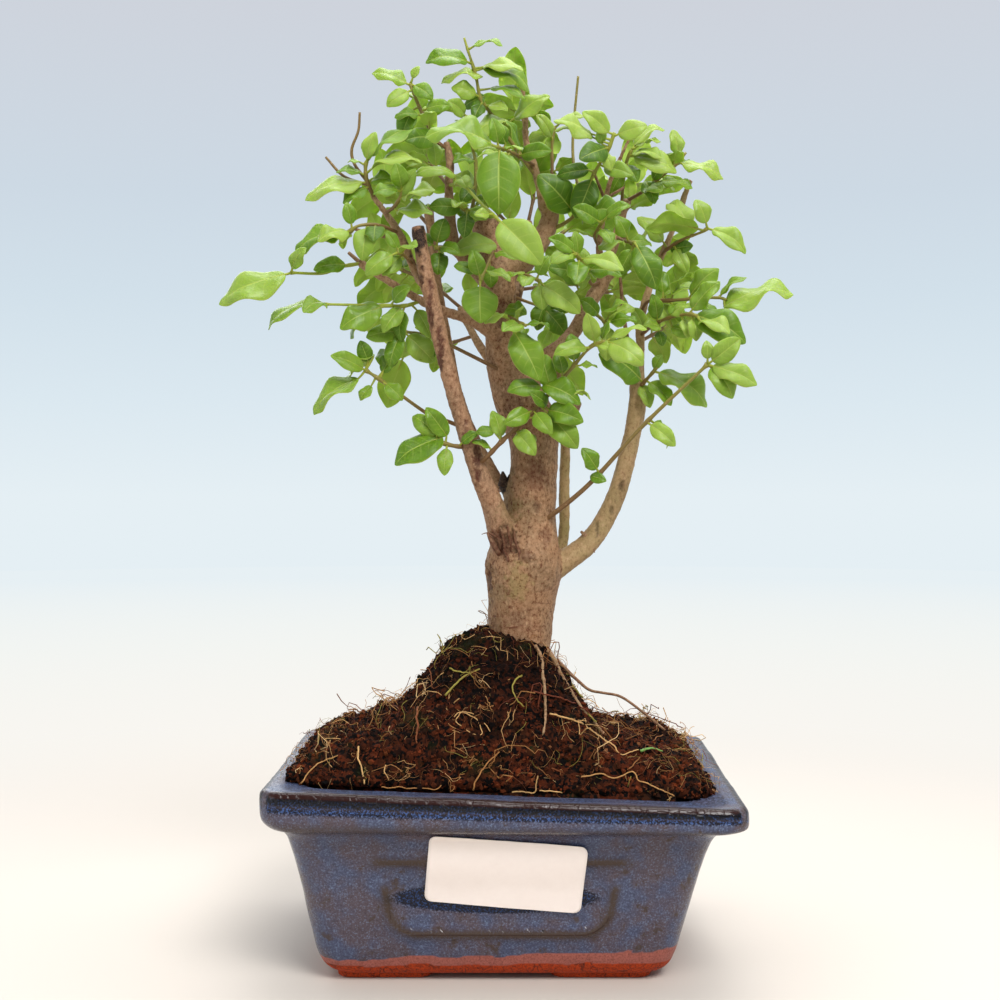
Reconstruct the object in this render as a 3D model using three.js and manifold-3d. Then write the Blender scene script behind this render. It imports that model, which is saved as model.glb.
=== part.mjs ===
// Chinese privet bonsai in a glazed rectangular pot, in millimetres, +Z up.
// The viewer stands at -Y. Routes are given as the viewer sees them: across and up in the plane of
// the trunk, and a depth away from the viewer, and seen() turns them into places. Heights are over the
// underside of the pot's wall, and the feet reach a little below it.
import * as THREE from 'three';
import Module from 'manifold-3d';
import { mergeVertices } from 'three/addons/utils/BufferGeometryUtils.js';

const wasm = await Module();
wasm.setup();

// driving dimensions
const viewer = { distance: 479, height: 154 };
const gap = 0.3;
const flatness = 0.05;
const pot = {
  lessDepth: 20, rimTop: 60.2, rimCorner: 7, bodyCorner: 9, floor: 7,
  footTop: 2.7, ground: -2.9, footWidth: 16, footRow: 25, footCorner: 4, drainRadius: 6, drainSpacing: 56,
};
// the wall's half length at each height and how far the ring has slipped to the right, as it did when
// the clay was pressed; the wall is as much less deep at every height
const potOutside = [
  [51.5, -0.9, -1], [54.2, -0.7, -1], [56.3, 1, -1], [57.9, 4, -1.1], [59.5, 9, -1.1], [61.8, 19.5, -0.9],
  [64, 30, -0.5], [65.7, 37, -0.2], [67.4, 43, 0.1], [69, 46.4, 0.6], [71.2, 48.3, 1], [74.2, 49.6, 1.4],
  [76.2, 52, 1.4], [76.6, 55.5, 1.4], [76.4, 59.6, 1.4], [75.2, 60.9, 1.4],
];
const potInside = [[63.5, 60.2], [62, 59], [60.5, 45], [57, 30], [53.5, 11], [50, 7]];
const label = {
  length: 50, height: 24, thickness: 0.35, corner: 2, across: 1.8, up: 34.7, roll: -0.088, offWall: 0.4,
};
const screen = { side: 18, thickness: 0.8, hole: 6.6 };
const soil = {
  halfLength: 69, front: 40.8, back: 44.3, leftTop: 78, rightTop: 72.5,
  humpTop: 108.5, humpAcross: -1.2, humpRadius: 27.5,
};
const blade = { thickness: 0.64, petiole: 0.9, clearance: 0.35, least: 9, long: 17 };
const stemSteps = 64;
const stemGap = 0.75;

// shared rules
function smooth(low, high, value) {
  const t = Math.min(1, Math.max(0, (value - low) / (high - low)));
  return t * t * (3 - 2 * t);
}

// a repeatable draw from 0 to 1 for one trait of one leaf
function draw(leaf, trait) {
  const value = Math.sin(leaf * 12.9898 + trait * 78.233) * 43758.5453;
  return value - Math.floor(value);
}

function seen(across, up, depth) {
  const scale = (viewer.distance + depth) / viewer.distance;
  return new THREE.Vector3(across * scale, depth, viewer.height + (up - viewer.height) * scale);
}

// closed skin over rows of corners: side walls between the rows, and a flat end on the first and last
function loft(rings) {
  const count = rings[0].length;
  const positions = rings.flat().flatMap((point) => [point.x, point.y, point.z]);
  const faces = [];
  for (let row = 0; row < rings.length - 1; row += 1) {
    for (let i = 0; i < count; i += 1) {
      const a = row * count + i;
      const b = row * count + (i + 1) % count;
      faces.push(a, b, b + count, a, b + count, a + count);
    }
  }
  const last = (rings.length - 1) * count;
  for (let i = 1; i < count - 1; i += 1) {
    faces.push(0, i + 1, i, last, last + i, last + i + 1);
  }
  const geometry = new THREE.BufferGeometry();
  geometry.setAttribute('position', new THREE.Float32BufferAttribute(positions, 3));
  geometry.setIndex(faces);
  return geometry;
}

// faces between two rows of a sheet, mirrored about its middle so that both sides of it split alike
function zip(a, b) {
  if (a.length === 2 && b.length === 3) {
    return [[a[0], b[1], b[0]], [a[0], a[1], b[1]], [a[1], b[2], b[1]]];
  }
  if (a.length === 1) {
    return b.slice(1).map((corner, i) => [a[0], corner, b[i]]);
  }
  if (b.length === 1) {
    return a.slice(1).map((corner, i) => [a[i], corner, b[0]]);
  }
  const faces = [];
  for (let i = 0; i < a.length - 1; i += 1) {
    if (i < (a.length - 1) / 2) {
      faces.push([a[i], a[i + 1], b[i + 1]], [a[i], b[i + 1], b[i]]);
    } else {
      faces.push([a[i], a[i + 1], b[i]], [a[i + 1], b[i + 1], b[i]]);
    }
  }
  return faces;
}

// closed thin sheet from matching rows of points on its upper and under side
function sheet(upper, under) {
  const points = [];
  const number = (rows) => rows.map((row) => row.map((point) => points.push(point) - 1));
  const top = number(upper);
  const low = number(under);
  const faces = [];
  for (let row = 0; row < top.length - 1; row += 1) {
    faces.push(...zip(top[row], top[row + 1]));
    faces.push(...zip(low[row], low[row + 1]).map(([a, b, c]) => [a, c, b]));
    const [right, nextRight] = [top[row].at(-1), top[row + 1].at(-1)];
    const [lowRight, nextLowRight] = [low[row].at(-1), low[row + 1].at(-1)];
    faces.push([right, lowRight, nextLowRight], [right, nextLowRight, nextRight]);
    faces.push([top[row][0], low[row + 1][0], low[row][0]], [top[row][0], top[row + 1][0], low[row + 1][0]]);
  }
  if (low[0].length === 1) {
    faces.push([top[0][0], low[0][0], top[0][1]]);
  }
  for (const [row, turned] of [[0, false], [top.length - 1, true]]) {
    for (let i = 0; i < Math.min(top[row].length, low[row].length) - 1; i += 1) {
      const quad = [top[row][i], low[row][i], low[row][i + 1], top[row][i + 1]];
      const corners = turned ? quad.reverse() : quad;
      faces.push([corners[0], corners[1], corners[2]], [corners[0], corners[2], corners[3]]);
    }
  }
  const geometry = new THREE.BufferGeometry();
  geometry.setAttribute('position', new THREE.Float32BufferAttribute(
    points.flatMap((point) => [point.x, point.y, point.z]), 3));
  geometry.setIndex(faces.flat());
  return geometry;
}

function solid(geometry) {
  geometry.deleteAttribute('normal');
  geometry.deleteAttribute('uv');
  const merged = mergeVertices(geometry, 1e-3);
  return new wasm.Manifold(new wasm.Mesh({
    numProp: 3,
    vertProperties: new Float32Array(merged.attributes.position.array),
    triVerts: new Uint32Array(merged.index.array),
  }));
}

function join(parts) {
  return parts.reduce((whole, part) => whole.add(part));
}

function largest(body) {
  return body.decompose().sort((a, b) => b.volume() - a.volume())[0];
}

function mesh(name, body, material) {
  const { vertProperties, triVerts } = body.asOriginal().simplify(flatness).getMesh();
  const geometry = new THREE.BufferGeometry();
  geometry.setAttribute('position', new THREE.Float32BufferAttribute(vertProperties, 3));
  geometry.setIndex([...triVerts]);
  geometry.computeVertexNormals();
  const made = new THREE.Mesh(geometry, material);
  made.name = name;
  return made;
}

// pot: the rim band is a little warped, as hand-pressed ware is
function rimLift(x, y) {
  return 1.3 * (y / 55) - 2 * (x / 75) + 0.9 * (x / 75) * (y / 55);
}

function roundedCorners(halfLength, halfDepth, corner, cornerSteps) {
  const corners = [[1, 1, 0], [-1, 1, 1], [-1, -1, 2], [1, -1, 3]];
  return corners.flatMap(([sideX, sideY, quarter]) => {
    const points = [];
    for (let i = 0; i <= cornerSteps; i += 1) {
      const angle = (quarter + i / cornerSteps) * Math.PI / 2;
      points.push([
        sideX * (halfLength - corner) + corner * Math.cos(angle),
        sideY * (halfDepth - corner) + corner * Math.sin(angle),
      ]);
    }
    return points;
  });
}

function potRing([halfLength, height, slip = 0]) {
  const toRim = smooth(46, 58, height);
  const corner = pot.bodyCorner + (pot.rimCorner - pot.bodyCorner) * toRim;
  return roundedCorners(halfLength, halfLength - pot.lessDepth, corner, 3)
    .map(([x, y]) => new THREE.Vector3(x + slip, y, height + rimLift(x, y) * toRim));
}

// place on the front wall, out along its slope by a given distance
function frontWall(across, height, out) {
  let step = 3;
  while (step < 10 && potOutside[step + 1][1] < height) {
    step += 1;
  }
  const [[lowLength, low], [highLength, high]] = [potOutside[step], potOutside[step + 1]];
  const slope = (highLength - lowLength) / (high - low);
  const halfLength = lowLength + slope * (height - low);
  const lean = Math.hypot(1, slope);
  return new THREE.Vector3(across, -(halfLength - pot.lessDepth) - out / lean, height - out * slope / lean);
}

function foot(centreX, halfLength, centreY) {
  const outline = roundedCorners(halfLength, pot.footWidth / 2, pot.footCorner, 3)
    .map(([x, y]) => new THREE.Vector2(x, y));
  const options = { depth: pot.footTop - pot.ground, bevelEnabled: false, steps: 1 };
  const geometry = new THREE.ExtrudeGeometry(new THREE.Shape(outline), options);
  geometry.translate(centreX, centreY, pot.ground);
  return solid(geometry);
}

function drainHole(side) {
  const geometry = new THREE.CylinderGeometry(pot.drainRadius, pot.drainRadius, 20, 12);
  geometry.rotateX(Math.PI / 2);
  geometry.translate(side * pot.drainSpacing / 2, 0, pot.floor);
  return solid(geometry);
}

// paper label bent to the front wall
function labelSheet() {
  const [halfLength, halfHeight] = [label.length / 2, label.height / 2];
  const chamfer = label.corner * 0.3;
  const columns = [-1, -0.93, 0, 0.93, 1];
  const rows = [-1, -0.82, 0, 0.5, 0.82, 1];
  const place = (u, v, off) => {
    const atCorner = Math.abs(u) === 1 && Math.abs(v) === 1;
    const x = u * halfLength - (atCorner ? Math.sign(u) * chamfer : 0);
    const y = v * halfHeight - (atCorner ? Math.sign(v) * chamfer : 0);
    const across = label.across + x * Math.cos(label.roll) - y * Math.sin(label.roll);
    const up = label.up + (x * Math.sin(label.roll) + y * Math.cos(label.roll)) * 0.96;
    return frontWall(across, up, off);
  };
  const side = (off) => rows.map((v) => columns.map((u) => place(u, v, off)));
  return solid(sheet(side(label.offWall + label.thickness), side(label.offWall)));
}

function potBody() {
  const feet = [];
  for (const side of [-1, 1]) {
    feet.push(foot(-37.6, 15.6, side * pot.footRow), foot(33, 16.5, side * pot.footRow));
  }
  const body = join([solid(loft([...potOutside, ...potInside].map(potRing))), ...feet]);
  return body.subtract(drainHole(-1)).subtract(drainHole(1));
}

// square mesh of crossing bars over a drain hole
function drainScreen() {
  const bars = [];
  const bar = (screen.side - 2 * screen.hole) / 3;
  for (let i = -1; i <= 1; i += 1) {
    const shift = i * (screen.hole + bar);
    const across = new THREE.BoxGeometry(screen.side, bar, screen.thickness);
    across.translate(0, shift, screen.thickness / 2);
    const along = new THREE.BoxGeometry(bar, screen.side, screen.thickness);
    along.translate(shift, 0, screen.thickness / 2);
    bars.push(solid(across), solid(along));
  }
  return join(bars);
}

// soil: fills the pot, lies over its side rims, and rises to the root ball round the trunk
function soilHeight(x, y) {
  const fromSides = Math.max(0, soil.halfLength - Math.abs(x));
  const fromFront = Math.max(0, Math.min(soil.front + y, soil.back - y));
  const inward = 1.25 * fromSides * fromFront / (fromSides + fromFront + 0.01);
  const edge = pot.rimTop + rimLift(x, y) + 1.6;
  const bed = soil.leftTop + (soil.rightTop - soil.leftTop) * smooth(-6, 34, x) - 4 * smooth(-32, -60, x);
  const lumps = 1.1 * Math.sin(x / 7.3 + 1) * Math.sin(y / 6.1 + 2) + 0.8 * Math.sin(x / 3.9 + y / 5.2);
  const hump = Math.exp(-((Math.hypot(x - soil.humpAcross, y) / soil.humpRadius) ** 3.15));
  const whole = bed + lumps + (soil.humpTop - bed) * hump;
  return edge + (whole - edge) * smooth(-3, 13, inward);
}

// outline with four points between the corners of its long sides and two on its short ones
function soilPlan(halfLength, halfDepth) {
  const corners = roundedCorners(halfLength, halfDepth, pot.bodyCorner, 3);
  return corners.flatMap((corner, i) => {
    const next = corners[(i + 1) % corners.length];
    const [across, along] = [Math.abs(next[0] - corner[0]), Math.abs(next[1] - corner[1])];
    const parts = across > 3 * pot.bodyCorner ? 5 : along > 3 * pot.bodyCorner ? 3 : 1;
    return Array.from({ length: parts }, (unused, k) => [
      corner[0] + (next[0] - corner[0]) * k / parts, corner[1] + (next[1] - corner[1]) * k / parts,
    ]);
  });
}

function soilBody() {
  const walls = [[49.5, 7.35], [53, 11.3], [56.5, 30.2], [60, 45], [61.4, 58.9]];
  const rings = walls.map(([halfLength, height]) => soilPlan(halfLength, halfLength - pot.lessDepth)
    .map(([x, y]) => new THREE.Vector3(x, y, height + rimLift(x, y) * smooth(46, 58, height))));
  const inner = soilPlan(61.8, 41.8);
  const outer = inner.map(([x, y]) => (
    [x * soil.halfLength / 61.8, y * (y < 0 ? soil.front : soil.back) / 41.8]));
  rings.push(inner.map(([x, y]) => new THREE.Vector3(x, y, pot.rimTop + 0.3 + rimLift(x, y))));
  rings.push(outer.map(([x, y]) => new THREE.Vector3(x, y, pot.rimTop + 0.85 + rimLift(x, y))));
  for (const share of [1, 0.95, 0.87, 0.75, 0.63, 0.53, 0.44, 0.34]) {
    const round = 1 - smooth(0.5, 0.78, share);
    rings.push(outer.map(([x, y]) => {
      const angle = Math.atan2(y, x);
      const reach = 48 * share;
      const px = x * share * (1 - round) + reach * Math.cos(angle) * round;
      const py = y * share * (1 - round) + reach * Math.sin(angle) * round;
      return new THREE.Vector3(px, py, soilHeight(px, py));
    }));
  }
  return solid(loft(rings));
}

// wood: [across, up, depth, radius] along each limb
const wood = {
  trunk: [
    [5.5, 60, 0, 9], [6.2, 92, 0, 10], [6.6, 101, 0, 10.2], [7.4, 117.5, 0, 11.4], [8, 125, 0, 12.7],
    [8.6, 131, 0, 13.2], [9.2, 138, 0, 11.7], [10, 145.5, 0, 9.9], [10.5, 153, 0, 9.4], [11.5, 163, 0, 8.6],
    [11.8, 173.5, 0, 8.7], [10, 181, 0, 9.2], [7, 188, 0, 8.5], [4.2, 196, 0, 7.8], [2, 205, 0, 6.7],
    [0.6, 214, 0, 5.9], [-0.4, 222.5, 0, 6], [-1.2, 231, 0, 6.4], [-3, 240, 0, 6], [-4.5, 249.8, 0, 5.4],
  ],
  leftLimb: [
    [1.8, 135.8, -6, 5], [0, 142.8, -9, 4.8], [-2.8, 151.5, -11, 4.2], [-6.6, 160.3, -13, 3.6],
    [-10.5, 171.8, -15, 3.2], [-13, 180, -16, 2.9], [-16.8, 192.8, -18, 2.8], [-20.3, 206.5, -20, 2.8],
    [-23.5, 220.8, -21, 2.8], [-26.3, 233.4, -22, 2.7], [-28.7, 248.2, -23, 2.3],
  ],
  backLeftLimb: [
    [0, 156, 3, 3], [-5, 166, 6, 2.4], [-10.5, 177, 8, 2.1], [-15.7, 193.2, 10, 2], [-19, 211, 11, 1.9],
    [-22, 227, 12, 1.9], [-25, 254.8, 12, 1.7],
  ],
  rightLimb: [
    [17, 127.5, 0, 4.4], [25, 132.8, 1, 4], [31.2, 137.9, 2, 3.7], [36.6, 145.8, 3, 3.5],
    [41.3, 156.4, 4, 3.3],
    [44.6, 168.4, 5, 3.2], [47.3, 180.6, 5, 3.1], [48.3, 188.3, 5, 3], [48, 195.3, 5, 2.5],
    [49, 205, 6, 1.7],
    [49, 215, 6, 1.5], [51.8, 225.4, 7, 1.3], [56.3, 237.6, 8, 1.25], [59.9, 246, 8, 1.2],
    [66.5, 264.6, 8, 1.1],
  ],
  thinRight: [[47, 194.6, 6, 1], [43.4, 215.6, 8, 0.7], [42, 230.3, 9, 0.55]],
  backStem: [
    [17, 128, 8, 2.2], [22, 138.6, 12, 2], [22.4, 156, 14, 1.9], [22.8, 173.6, 15, 1.8],
    [21.3, 187.6, 15, 1.5], [20.6, 204.4, 14, 1.4],
  ],
  stubRight: [[14, 176, 0, 4.5], [22, 182.4, -1, 4.2], [25.2, 188.3, -2, 3.9]],
  rightInner: [
    [10.5, 193, -2, 3.2], [16, 202.3, -4, 2.8], [21.7, 206.8, -3, 2.6], [26.3, 212, 0, 2.6],
    [29.8, 218.4, 2, 2.6], [33.3, 224.7, 3, 2.5], [36, 229, 3, 2.3], [35, 236, 2, 1.6],
    [34.7, 242.2, 0, 1.3],
    [36, 251.6, -2, 1.2], [37, 258, -3, 1.1], [38.9, 265, -4, 0.9], [45.5, 279.6, -5, 0.7],
  ],
  innerStub: [[36, 229, 3, 2], [39.2, 232.4, 3, 1.8]],
  innerTwigLeft: [[36.8, 257, -3, 0.6], [32.5, 267.8, -3, 0.45]],
  innerTwigRight: [[37, 258, -3, 0.6], [43.4, 261.8, -3, 0.45]],
  rightUpper: [
    [36, 229, 3, 2], [37.8, 236, 5, 1.9], [40.6, 244.3, 7, 1.7], [43, 254, 8, 1.6], [44.5, 257.6, 8, 1.3],
  ],
  centralStub: [[1.8, 233.8, 0, 5], [8.4, 237.3, -1, 4.4], [13.3, 240, -2, 4]],
  centralLimb: [[7, 233.8, 4, 4], [13.3, 241.8, 6, 3.6], [17.2, 250, 6, 3.3], [17.5, 257, 6, 3]],
  leader: [
    [15.4, 254, 5, 2.2], [14.4, 259.4, 4, 1.7], [12, 269, 3, 1.4], [9, 278.6, 2, 1.2], [9, 285.2, 2, 1],
    [7.7, 298.2, 1, 0.8],
  ],
  leftCross: [
    [-1, 209.5, -2, 2.6], [-9.8, 215.3, -6, 2], [-20.3, 218.8, -9, 1.7], [-27.7, 222.3, -11, 1.6],
    [-34.7, 226.5, -12, 1.4], [-45.2, 232.8, -13, 1.4], [-49, 235.6, -13, 1.6],
  ],
  crossTip: [[-48.5, 235.2, -13, 0.8], [-52.9, 239, -12, 0.6]],
  crossUpright: [[-48.3, 235, -13, 0.7], [-48.3, 243.6, -13, 0.5]],
  leftUp: [
    [-26.6, 227.9, -21, 1.8], [-29.6, 232.4, -17, 1.6], [-34.7, 244.7, -15, 1.5], [-40.6, 253.8, -14, 1.1],
    [-43.5, 257.5, -14, 1], [-45.2, 260, -14, 0.9],
  ],
  leftUpTwig: [[-34.7, 243.3, -15, 0.8], [-44, 245.5, -16, 0.6], [-52.2, 247.6, -16, 0.5]],
  knobStem: [
    [-5, 229.5, -2, 3], [-13.3, 238.4, -9, 2.6], [-16.8, 243.6, -12, 2.6], [-17.9, 260.4, -10, 1.6],
    [-17.5, 270.6, -9, 1.5], [-18.9, 277.9, -9, 1.3],
  ],
  darkStub: [[3.5, 156, 0, 2.8], [0, 160.3, -2, 2.6]],
  backLimb: [[2, 210, 3, 3], [5, 222, 16, 2.5], [8, 235, 27, 2], [10, 250, 34, 1.6]],
  backLow: [[8, 186, 5, 2.2], [0, 196, 18, 1.8], [-8, 208, 30, 1.5], [-14, 220, 38, 1.2]],
};

// roots that run over the root ball: [x, y, radius], half sunk in the soil
const surfaceRoots = [
  [[5, -1, 1.6], [15.5, -4, 1.5], [22, -6, 1.3], [28, -8, 1.1], [33, -12, 1], [35, -18, 0.9]],
  [[7, -2, 1.5], [13.5, -12, 1.1], [14.7, -19, 1], [15, -27, 0.9], [13.5, -34, 0.8]],
  [[2, 2, 1.8], [-8, 11, 1.8], [-15, 18, 1.6], [-21, 25, 1.3]],
  [[6, 2, 1.8], [14, 13, 1.8], [20, 20, 1.5], [27, 26, 1.2]],
];
// one long root springs from the root ball and arches over the soil: [x, y, z, radius]
const archingRoot = [
  [7, 1, 96, 1.3], [18, 3, 97, 1], [26, 1, 90.5, 0.8], [31, -1, 86.5, 0.7], [36, -2, 85.5, 0.65],
  [42, -3, 84.3, 0.65], [49, -4, 79.5, 0.6], [57, -5, 73, 0.6],
];

function sidesFor(radius) {
  const steps = [[8, 12], [3.9, 8], [1.9, 6], [1.3, 5]];
  const found = steps.find(([least]) => radius >= least);
  return found ? found[1] : 4;
}

// round rod along a route of places with a radius at each
function rod(places, radii, sides, ripple) {
  const count = places.length;
  const along = places.map((place, i) => {
    const before = places[Math.max(0, i - 1)];
    const after = places[Math.min(count - 1, i + 1)];
    return after.clone().sub(before).normalize();
  });
  const reference = Math.abs(along[0].y) > 0.9 ? new THREE.Vector3(1, 0, 0) : new THREE.Vector3(0, 1, 0);
  let side = reference.cross(along[0]).normalize();
  const rings = places.map((place, i) => {
    side = side.clone().addScaledVector(along[i], -side.dot(along[i])).normalize();
    const other = along[i].clone().cross(side);
    const ring = [];
    for (let k = 0; k < sides; k += 1) {
      const angle = k / sides * Math.PI * 2;
      const radius = radii[i] * (1 + ripple * (0.6 * Math.sin(2 * angle + place.z / 14)
        + 0.4 * Math.sin(3 * angle - place.z / 9 + 1)));
      ring.push(place.clone().addScaledVector(side, radius * Math.cos(angle))
        .addScaledVector(other, radius * Math.sin(angle)));
    }
    return ring;
  });
  return solid(loft(rings));
}

function lengthened(places, reach) {
  const ends = places.map((place) => place.clone());
  const last = ends.length - 1;
  ends[0].add(ends[0].clone().sub(ends[1]).setLength(reach));
  ends[last].add(ends[last].clone().sub(ends[last - 1]).setLength(reach));
  return ends;
}

function limb(points, grow) {
  const places = points.map(([across, up, depth]) => seen(across, up, depth));
  const radii = points.map(([, , depth, radius]) => (
    radius * (viewer.distance + depth) / viewer.distance + grow));
  const widest = Math.max(...points.map(([, , , radius]) => radius));
  return rod(grow > 0 ? lengthened(places, grow) : places, radii, sidesFor(widest), widest > 3.9 ? 0.07 : 0);
}

function root(points, grow) {
  const places = points.map(([x, y, radius], i) => (
    new THREE.Vector3(x, y, soilHeight(x, y) + (i === 0 ? -2 : 0.2) * radius)));
  const radii = points.map(([, , radius]) => radius + grow);
  return rod(grow > 0 ? lengthened(places, grow) : places, radii, 5, 0);
}

function archRoot(grow) {
  const places = archingRoot.map(([x, y, z]) => new THREE.Vector3(x, y, z));
  return rod(grow > 0 ? lengthened(places, grow) : places,
    archingRoot.map(([, , , radius]) => radius + grow), 5, 0);
}

function woodParts(grow) {
  return Object.values(wood).map((points) => limb(points, grow));
}

function rootParts(grow) {
  return [...surfaceRoots.map((points) => root(points, grow)), archRoot(grow)];
}

// how far a place is from the surface of the nearest wood
function fromWood(place) {
  let nearest = Infinity;
  const onLimb = new THREE.Vector3();
  for (const points of Object.values(wood)) {
    for (let i = 0; i < points.length - 1; i += 1) {
      const [a, b] = [seen(...points[i].slice(0, 3)), seen(...points[i + 1].slice(0, 3))];
      const line = new THREE.Line3(a, b);
      const share = line.closestPointToPointParameter(place, true);
      line.at(share, onLimb);
      const radius = points[i][3] + (points[i + 1][3] - points[i][3]) * share;
      nearest = Math.min(nearest, onLimb.distanceTo(place) - radius);
    }
  }
  return nearest;
}

// leafy shoots: route [across, up, depth] from the limb outwards, radius at both ends, and leaves
// [across, up, heading, towards the viewer, length, facing, tone, width share]; heading 0 is right and
// 90 up, facing 0 turns the upper side up and 90 to the viewer, tone 0 is dark green and 1 lime
const shoots = [
  {
    name: 'shoot_left_long',
    route: [[-48.5, 235.3, -13], [-56, 234, -15], [-62, 231.8, -17], [-73, 232, -26]],
    radius: [0.8, 0.6],
    leaves: [
      [-74, 232, 205, 10, 26, 50, 0.8], [-73, 232, 55, 30, 10, 70, 0.7], [-53, 237, 187, 20, 12, 75, 0.45],
    ],
  },
  {
    name: 'shoot_left_second',
    route: [[-28, 222, -11], [-33, 220.5, -14], [-40, 220.5, -16], [-61.5, 221, -19]],
    radius: [0.75, 0.55],
    leaves: [
      [-62, 221, 203, 5, 21, 20, 0.65], [-61, 221, 220, 45, 13, 60, 0.6], [-40, 221, 206, 20, 17, 70, 0.55],
      [-41, 220, 217, -25, 17, 40, 0.35], [-38, 221.5, 40, 20, 9, 60, 0.5],
      [-33, 219, 262, 0, 11, 15, 0.25],
      [-34, 219, 218, 15, 12, 70, 0.6], [-29, 219, 300, 20, 12, 80, 0.65],
    ],
  },
  {
    name: 'shoot_left_low',
    route: [[0, 198, -5], [-17, 206.5, -8], [-25, 210, -9], [-34, 211.5, -10]],
    radius: [0.9, 0.6],
    leaves: [
      [-36, 213, 250, 15, 13, 60, 0.35], [-33.5, 210, 275, 25, 14, 85, 0.75],
      [-34, 212, 215, 30, 12, 75, 0.6],
      [-29, 212, 280, 10, 8, 60, 0.3], [-25, 208, 285, 5, 7, 60, 0.25],
    ],
  },
  {
    name: 'shoot_low_outer',
    route: [[-11, 177, 8], [-18, 180, 1], [-25, 182.5, -5], [-41, 194, -11], [-47, 198, -13]],
    radius: [0.95, 0.6],
    leaves: [
      [-49.5, 195, 216, 10, 21, 30, 0.7], [-48.5, 194, 200, 30, 13, 70, 0.65],
      [-45, 192.5, 235, 10, 7, 60, 0.7],
      [-40.5, 195, 315, 15, 9, 70, 0.6], [-44, 203, 218, -15, 17, 20, 0.6],
      [-41, 197, 60, 10, 10, 60, 0.25],
      [-46, 201, 110, 20, 8, 80, 0.3], [-40, 199, 95, -10, 11, 70, 0.35],
    ],
  },
  {
    name: 'shoot_low_stub',
    route: [[-11, 171, -15], [-16, 171.5, -18], [-22, 173, -20]],
    radius: [0.95, 0.75],
    leaves: [
      [-20, 174.5, 204, 15, 20, 45, 0.35], [-18.5, 175, 128, 15, 13, 85, 0.45],
      [-18.5, 171.5, 262, 25, 10.5, 92, 0.75], [-22, 175.5, 150, -10, 12, 80, 0.6],
      [-14, 171, 30, 10, 7, 60, 0.3],
    ],
  },
  {
    name: 'shoot_front_long',
    route: [
      [-8, 164.5, -13.7], [-4.5, 167.7, -18], [1, 173.5, -20], [7, 179, -20], [17, 189.5, -19],
      [24.5, 198, -19], [31.5, 206, -22], [37, 208, -24],
    ],
    radius: [1, 0.65],
    leaves: [
      [14, 192.5, 190, 25, 13, 60, 0.4], [9.5, 186, 205, 30, 11, 85, 0.5],
      [11.4, 184, 290, 35, 11, 88, 0.6],
      [6, 176, 312, 25, 11.5, 90, 0.75], [16.5, 186, 150, 40, 9, 80, 0.3], [17, 184, 343, 30, 15, 82, 0.45],
      [16.5, 183, 312, 30, 17.5, 85, 0.6], [15, 193, 335, 15, 16, 65, 0.4],
      [32.5, 207.5, 105, 35, 11, 108, 0.95],
      [28.5, 209, 195, 25, 13, 60, 0.75], [38, 208, 325, 25, 16, 70, 0.9], [38.4, 209, 5, 15, 14, 25, 0.9],
      [33, 207, 340, 30, 6, 50, 0.95], [-3.5, 171, 160, 10, 7, 30, 0.5], [-2, 176.5, 180, 15, 7, 70, 0.4],
    ],
  },
  {
    name: 'shoot_right_middle_low',
    route: [[36, 229, 3], [32, 228, -3], [29.5, 234, -14], [26.5, 238.5, -26]],
    radius: [0.8, 0.6],
    leaves: [
      [27.5, 236.5, 345, 30, 16.5, 50, 0.85], [30, 233, 350, 25, 12, 55, 0.4],
      [26, 240, 155, 25, 11, 75, 0.45],
      [26, 238.5, 190, 35, 11, 55, 0.7], [30, 229.5, 170, 30, 16, 85, 0.35],
    ],
  },
  {
    name: 'shoot_front_middle',
    route: [[1, 218, -4], [4, 216, -13], [9, 213.5, -24]],
    radius: [0.75, 0.6],
    leaves: [[5.2, 211, 298, 20, 20.5, 75, 0.5], [2, 220, 295, 25, 12, 80, 0.45]],
  },
  {
    name: 'shoot_front_upper',
    route: [[2, 231, -4], [8, 231.5, -12], [14, 229, -19]],
    radius: [0.75, 0.6],
    leaves: [[15.3, 227.5, 321, 15, 17, 75, 0.9], [13, 230, 60, 20, 8, 60, 0.5]],
  },
  {
    name: 'shoot_heart_leaf',
    route: [[-3, 238, -4], [-2, 240.5, -10], [-3, 238, -15], [-6.9, 229, -24]],
    radius: [0.75, 0.6],
    leaves: [
      [-6.9, 227.8, 268, 12, 13.5, 92, 0.5, 0.98], [-1.5, 242, 196, 30, 18, 60, 0.85],
      [-7.2, 229.5, 105, 20, 9.5, 80, 0.45], [-9, 232, 160, 10, 8, 60, 0.4],
    ],
  },
  {
    name: 'shoot_pale_front',
    route: [[-18, 262.5, -10], [-13, 262.5, -18], [-7, 256.6, -29], [-1, 251, -38]],
    radius: [0.8, 0.6],
    leaves: [
      [-1, 250.5, 310, 10, 22, 80, 0.8], [-3, 251.5, 190, 30, 6, 80, 1],
      [-14, 264.5, 300, 30, 10, 80, 0.75],
      [-15.5, 266, 178, 20, 16, 35, 0.75],
    ],
  },
  {
    name: 'shoot_big_front',
    route: [[12, 269.5, 3], [8, 272, -9], [3, 274.5, -23], [-1, 276, -36]],
    radius: [0.8, 0.6],
    leaves: [
      [-0.5, 275, 268, 8, 23.5, 90, 0.45], [7, 274.5, 358, 35, 12.5, 85, 0.4],
      [2, 277, 125, 20, 10, 70, 0.35],
      [-3, 277, 170, 10, 25, 45, 0.65],
    ],
  },
  {
    name: 'shoot_crown',
    route: [
      [12, 266.5, 3], [4, 277.5, -1], [0.3, 283, -3], [-5, 290, -5], [-7, 293.3, -6], [-8.5, 301, -7],
      [-11, 309, -8], [-12.5, 314, -8],
    ],
    radius: [0.95, 0.5],
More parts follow.
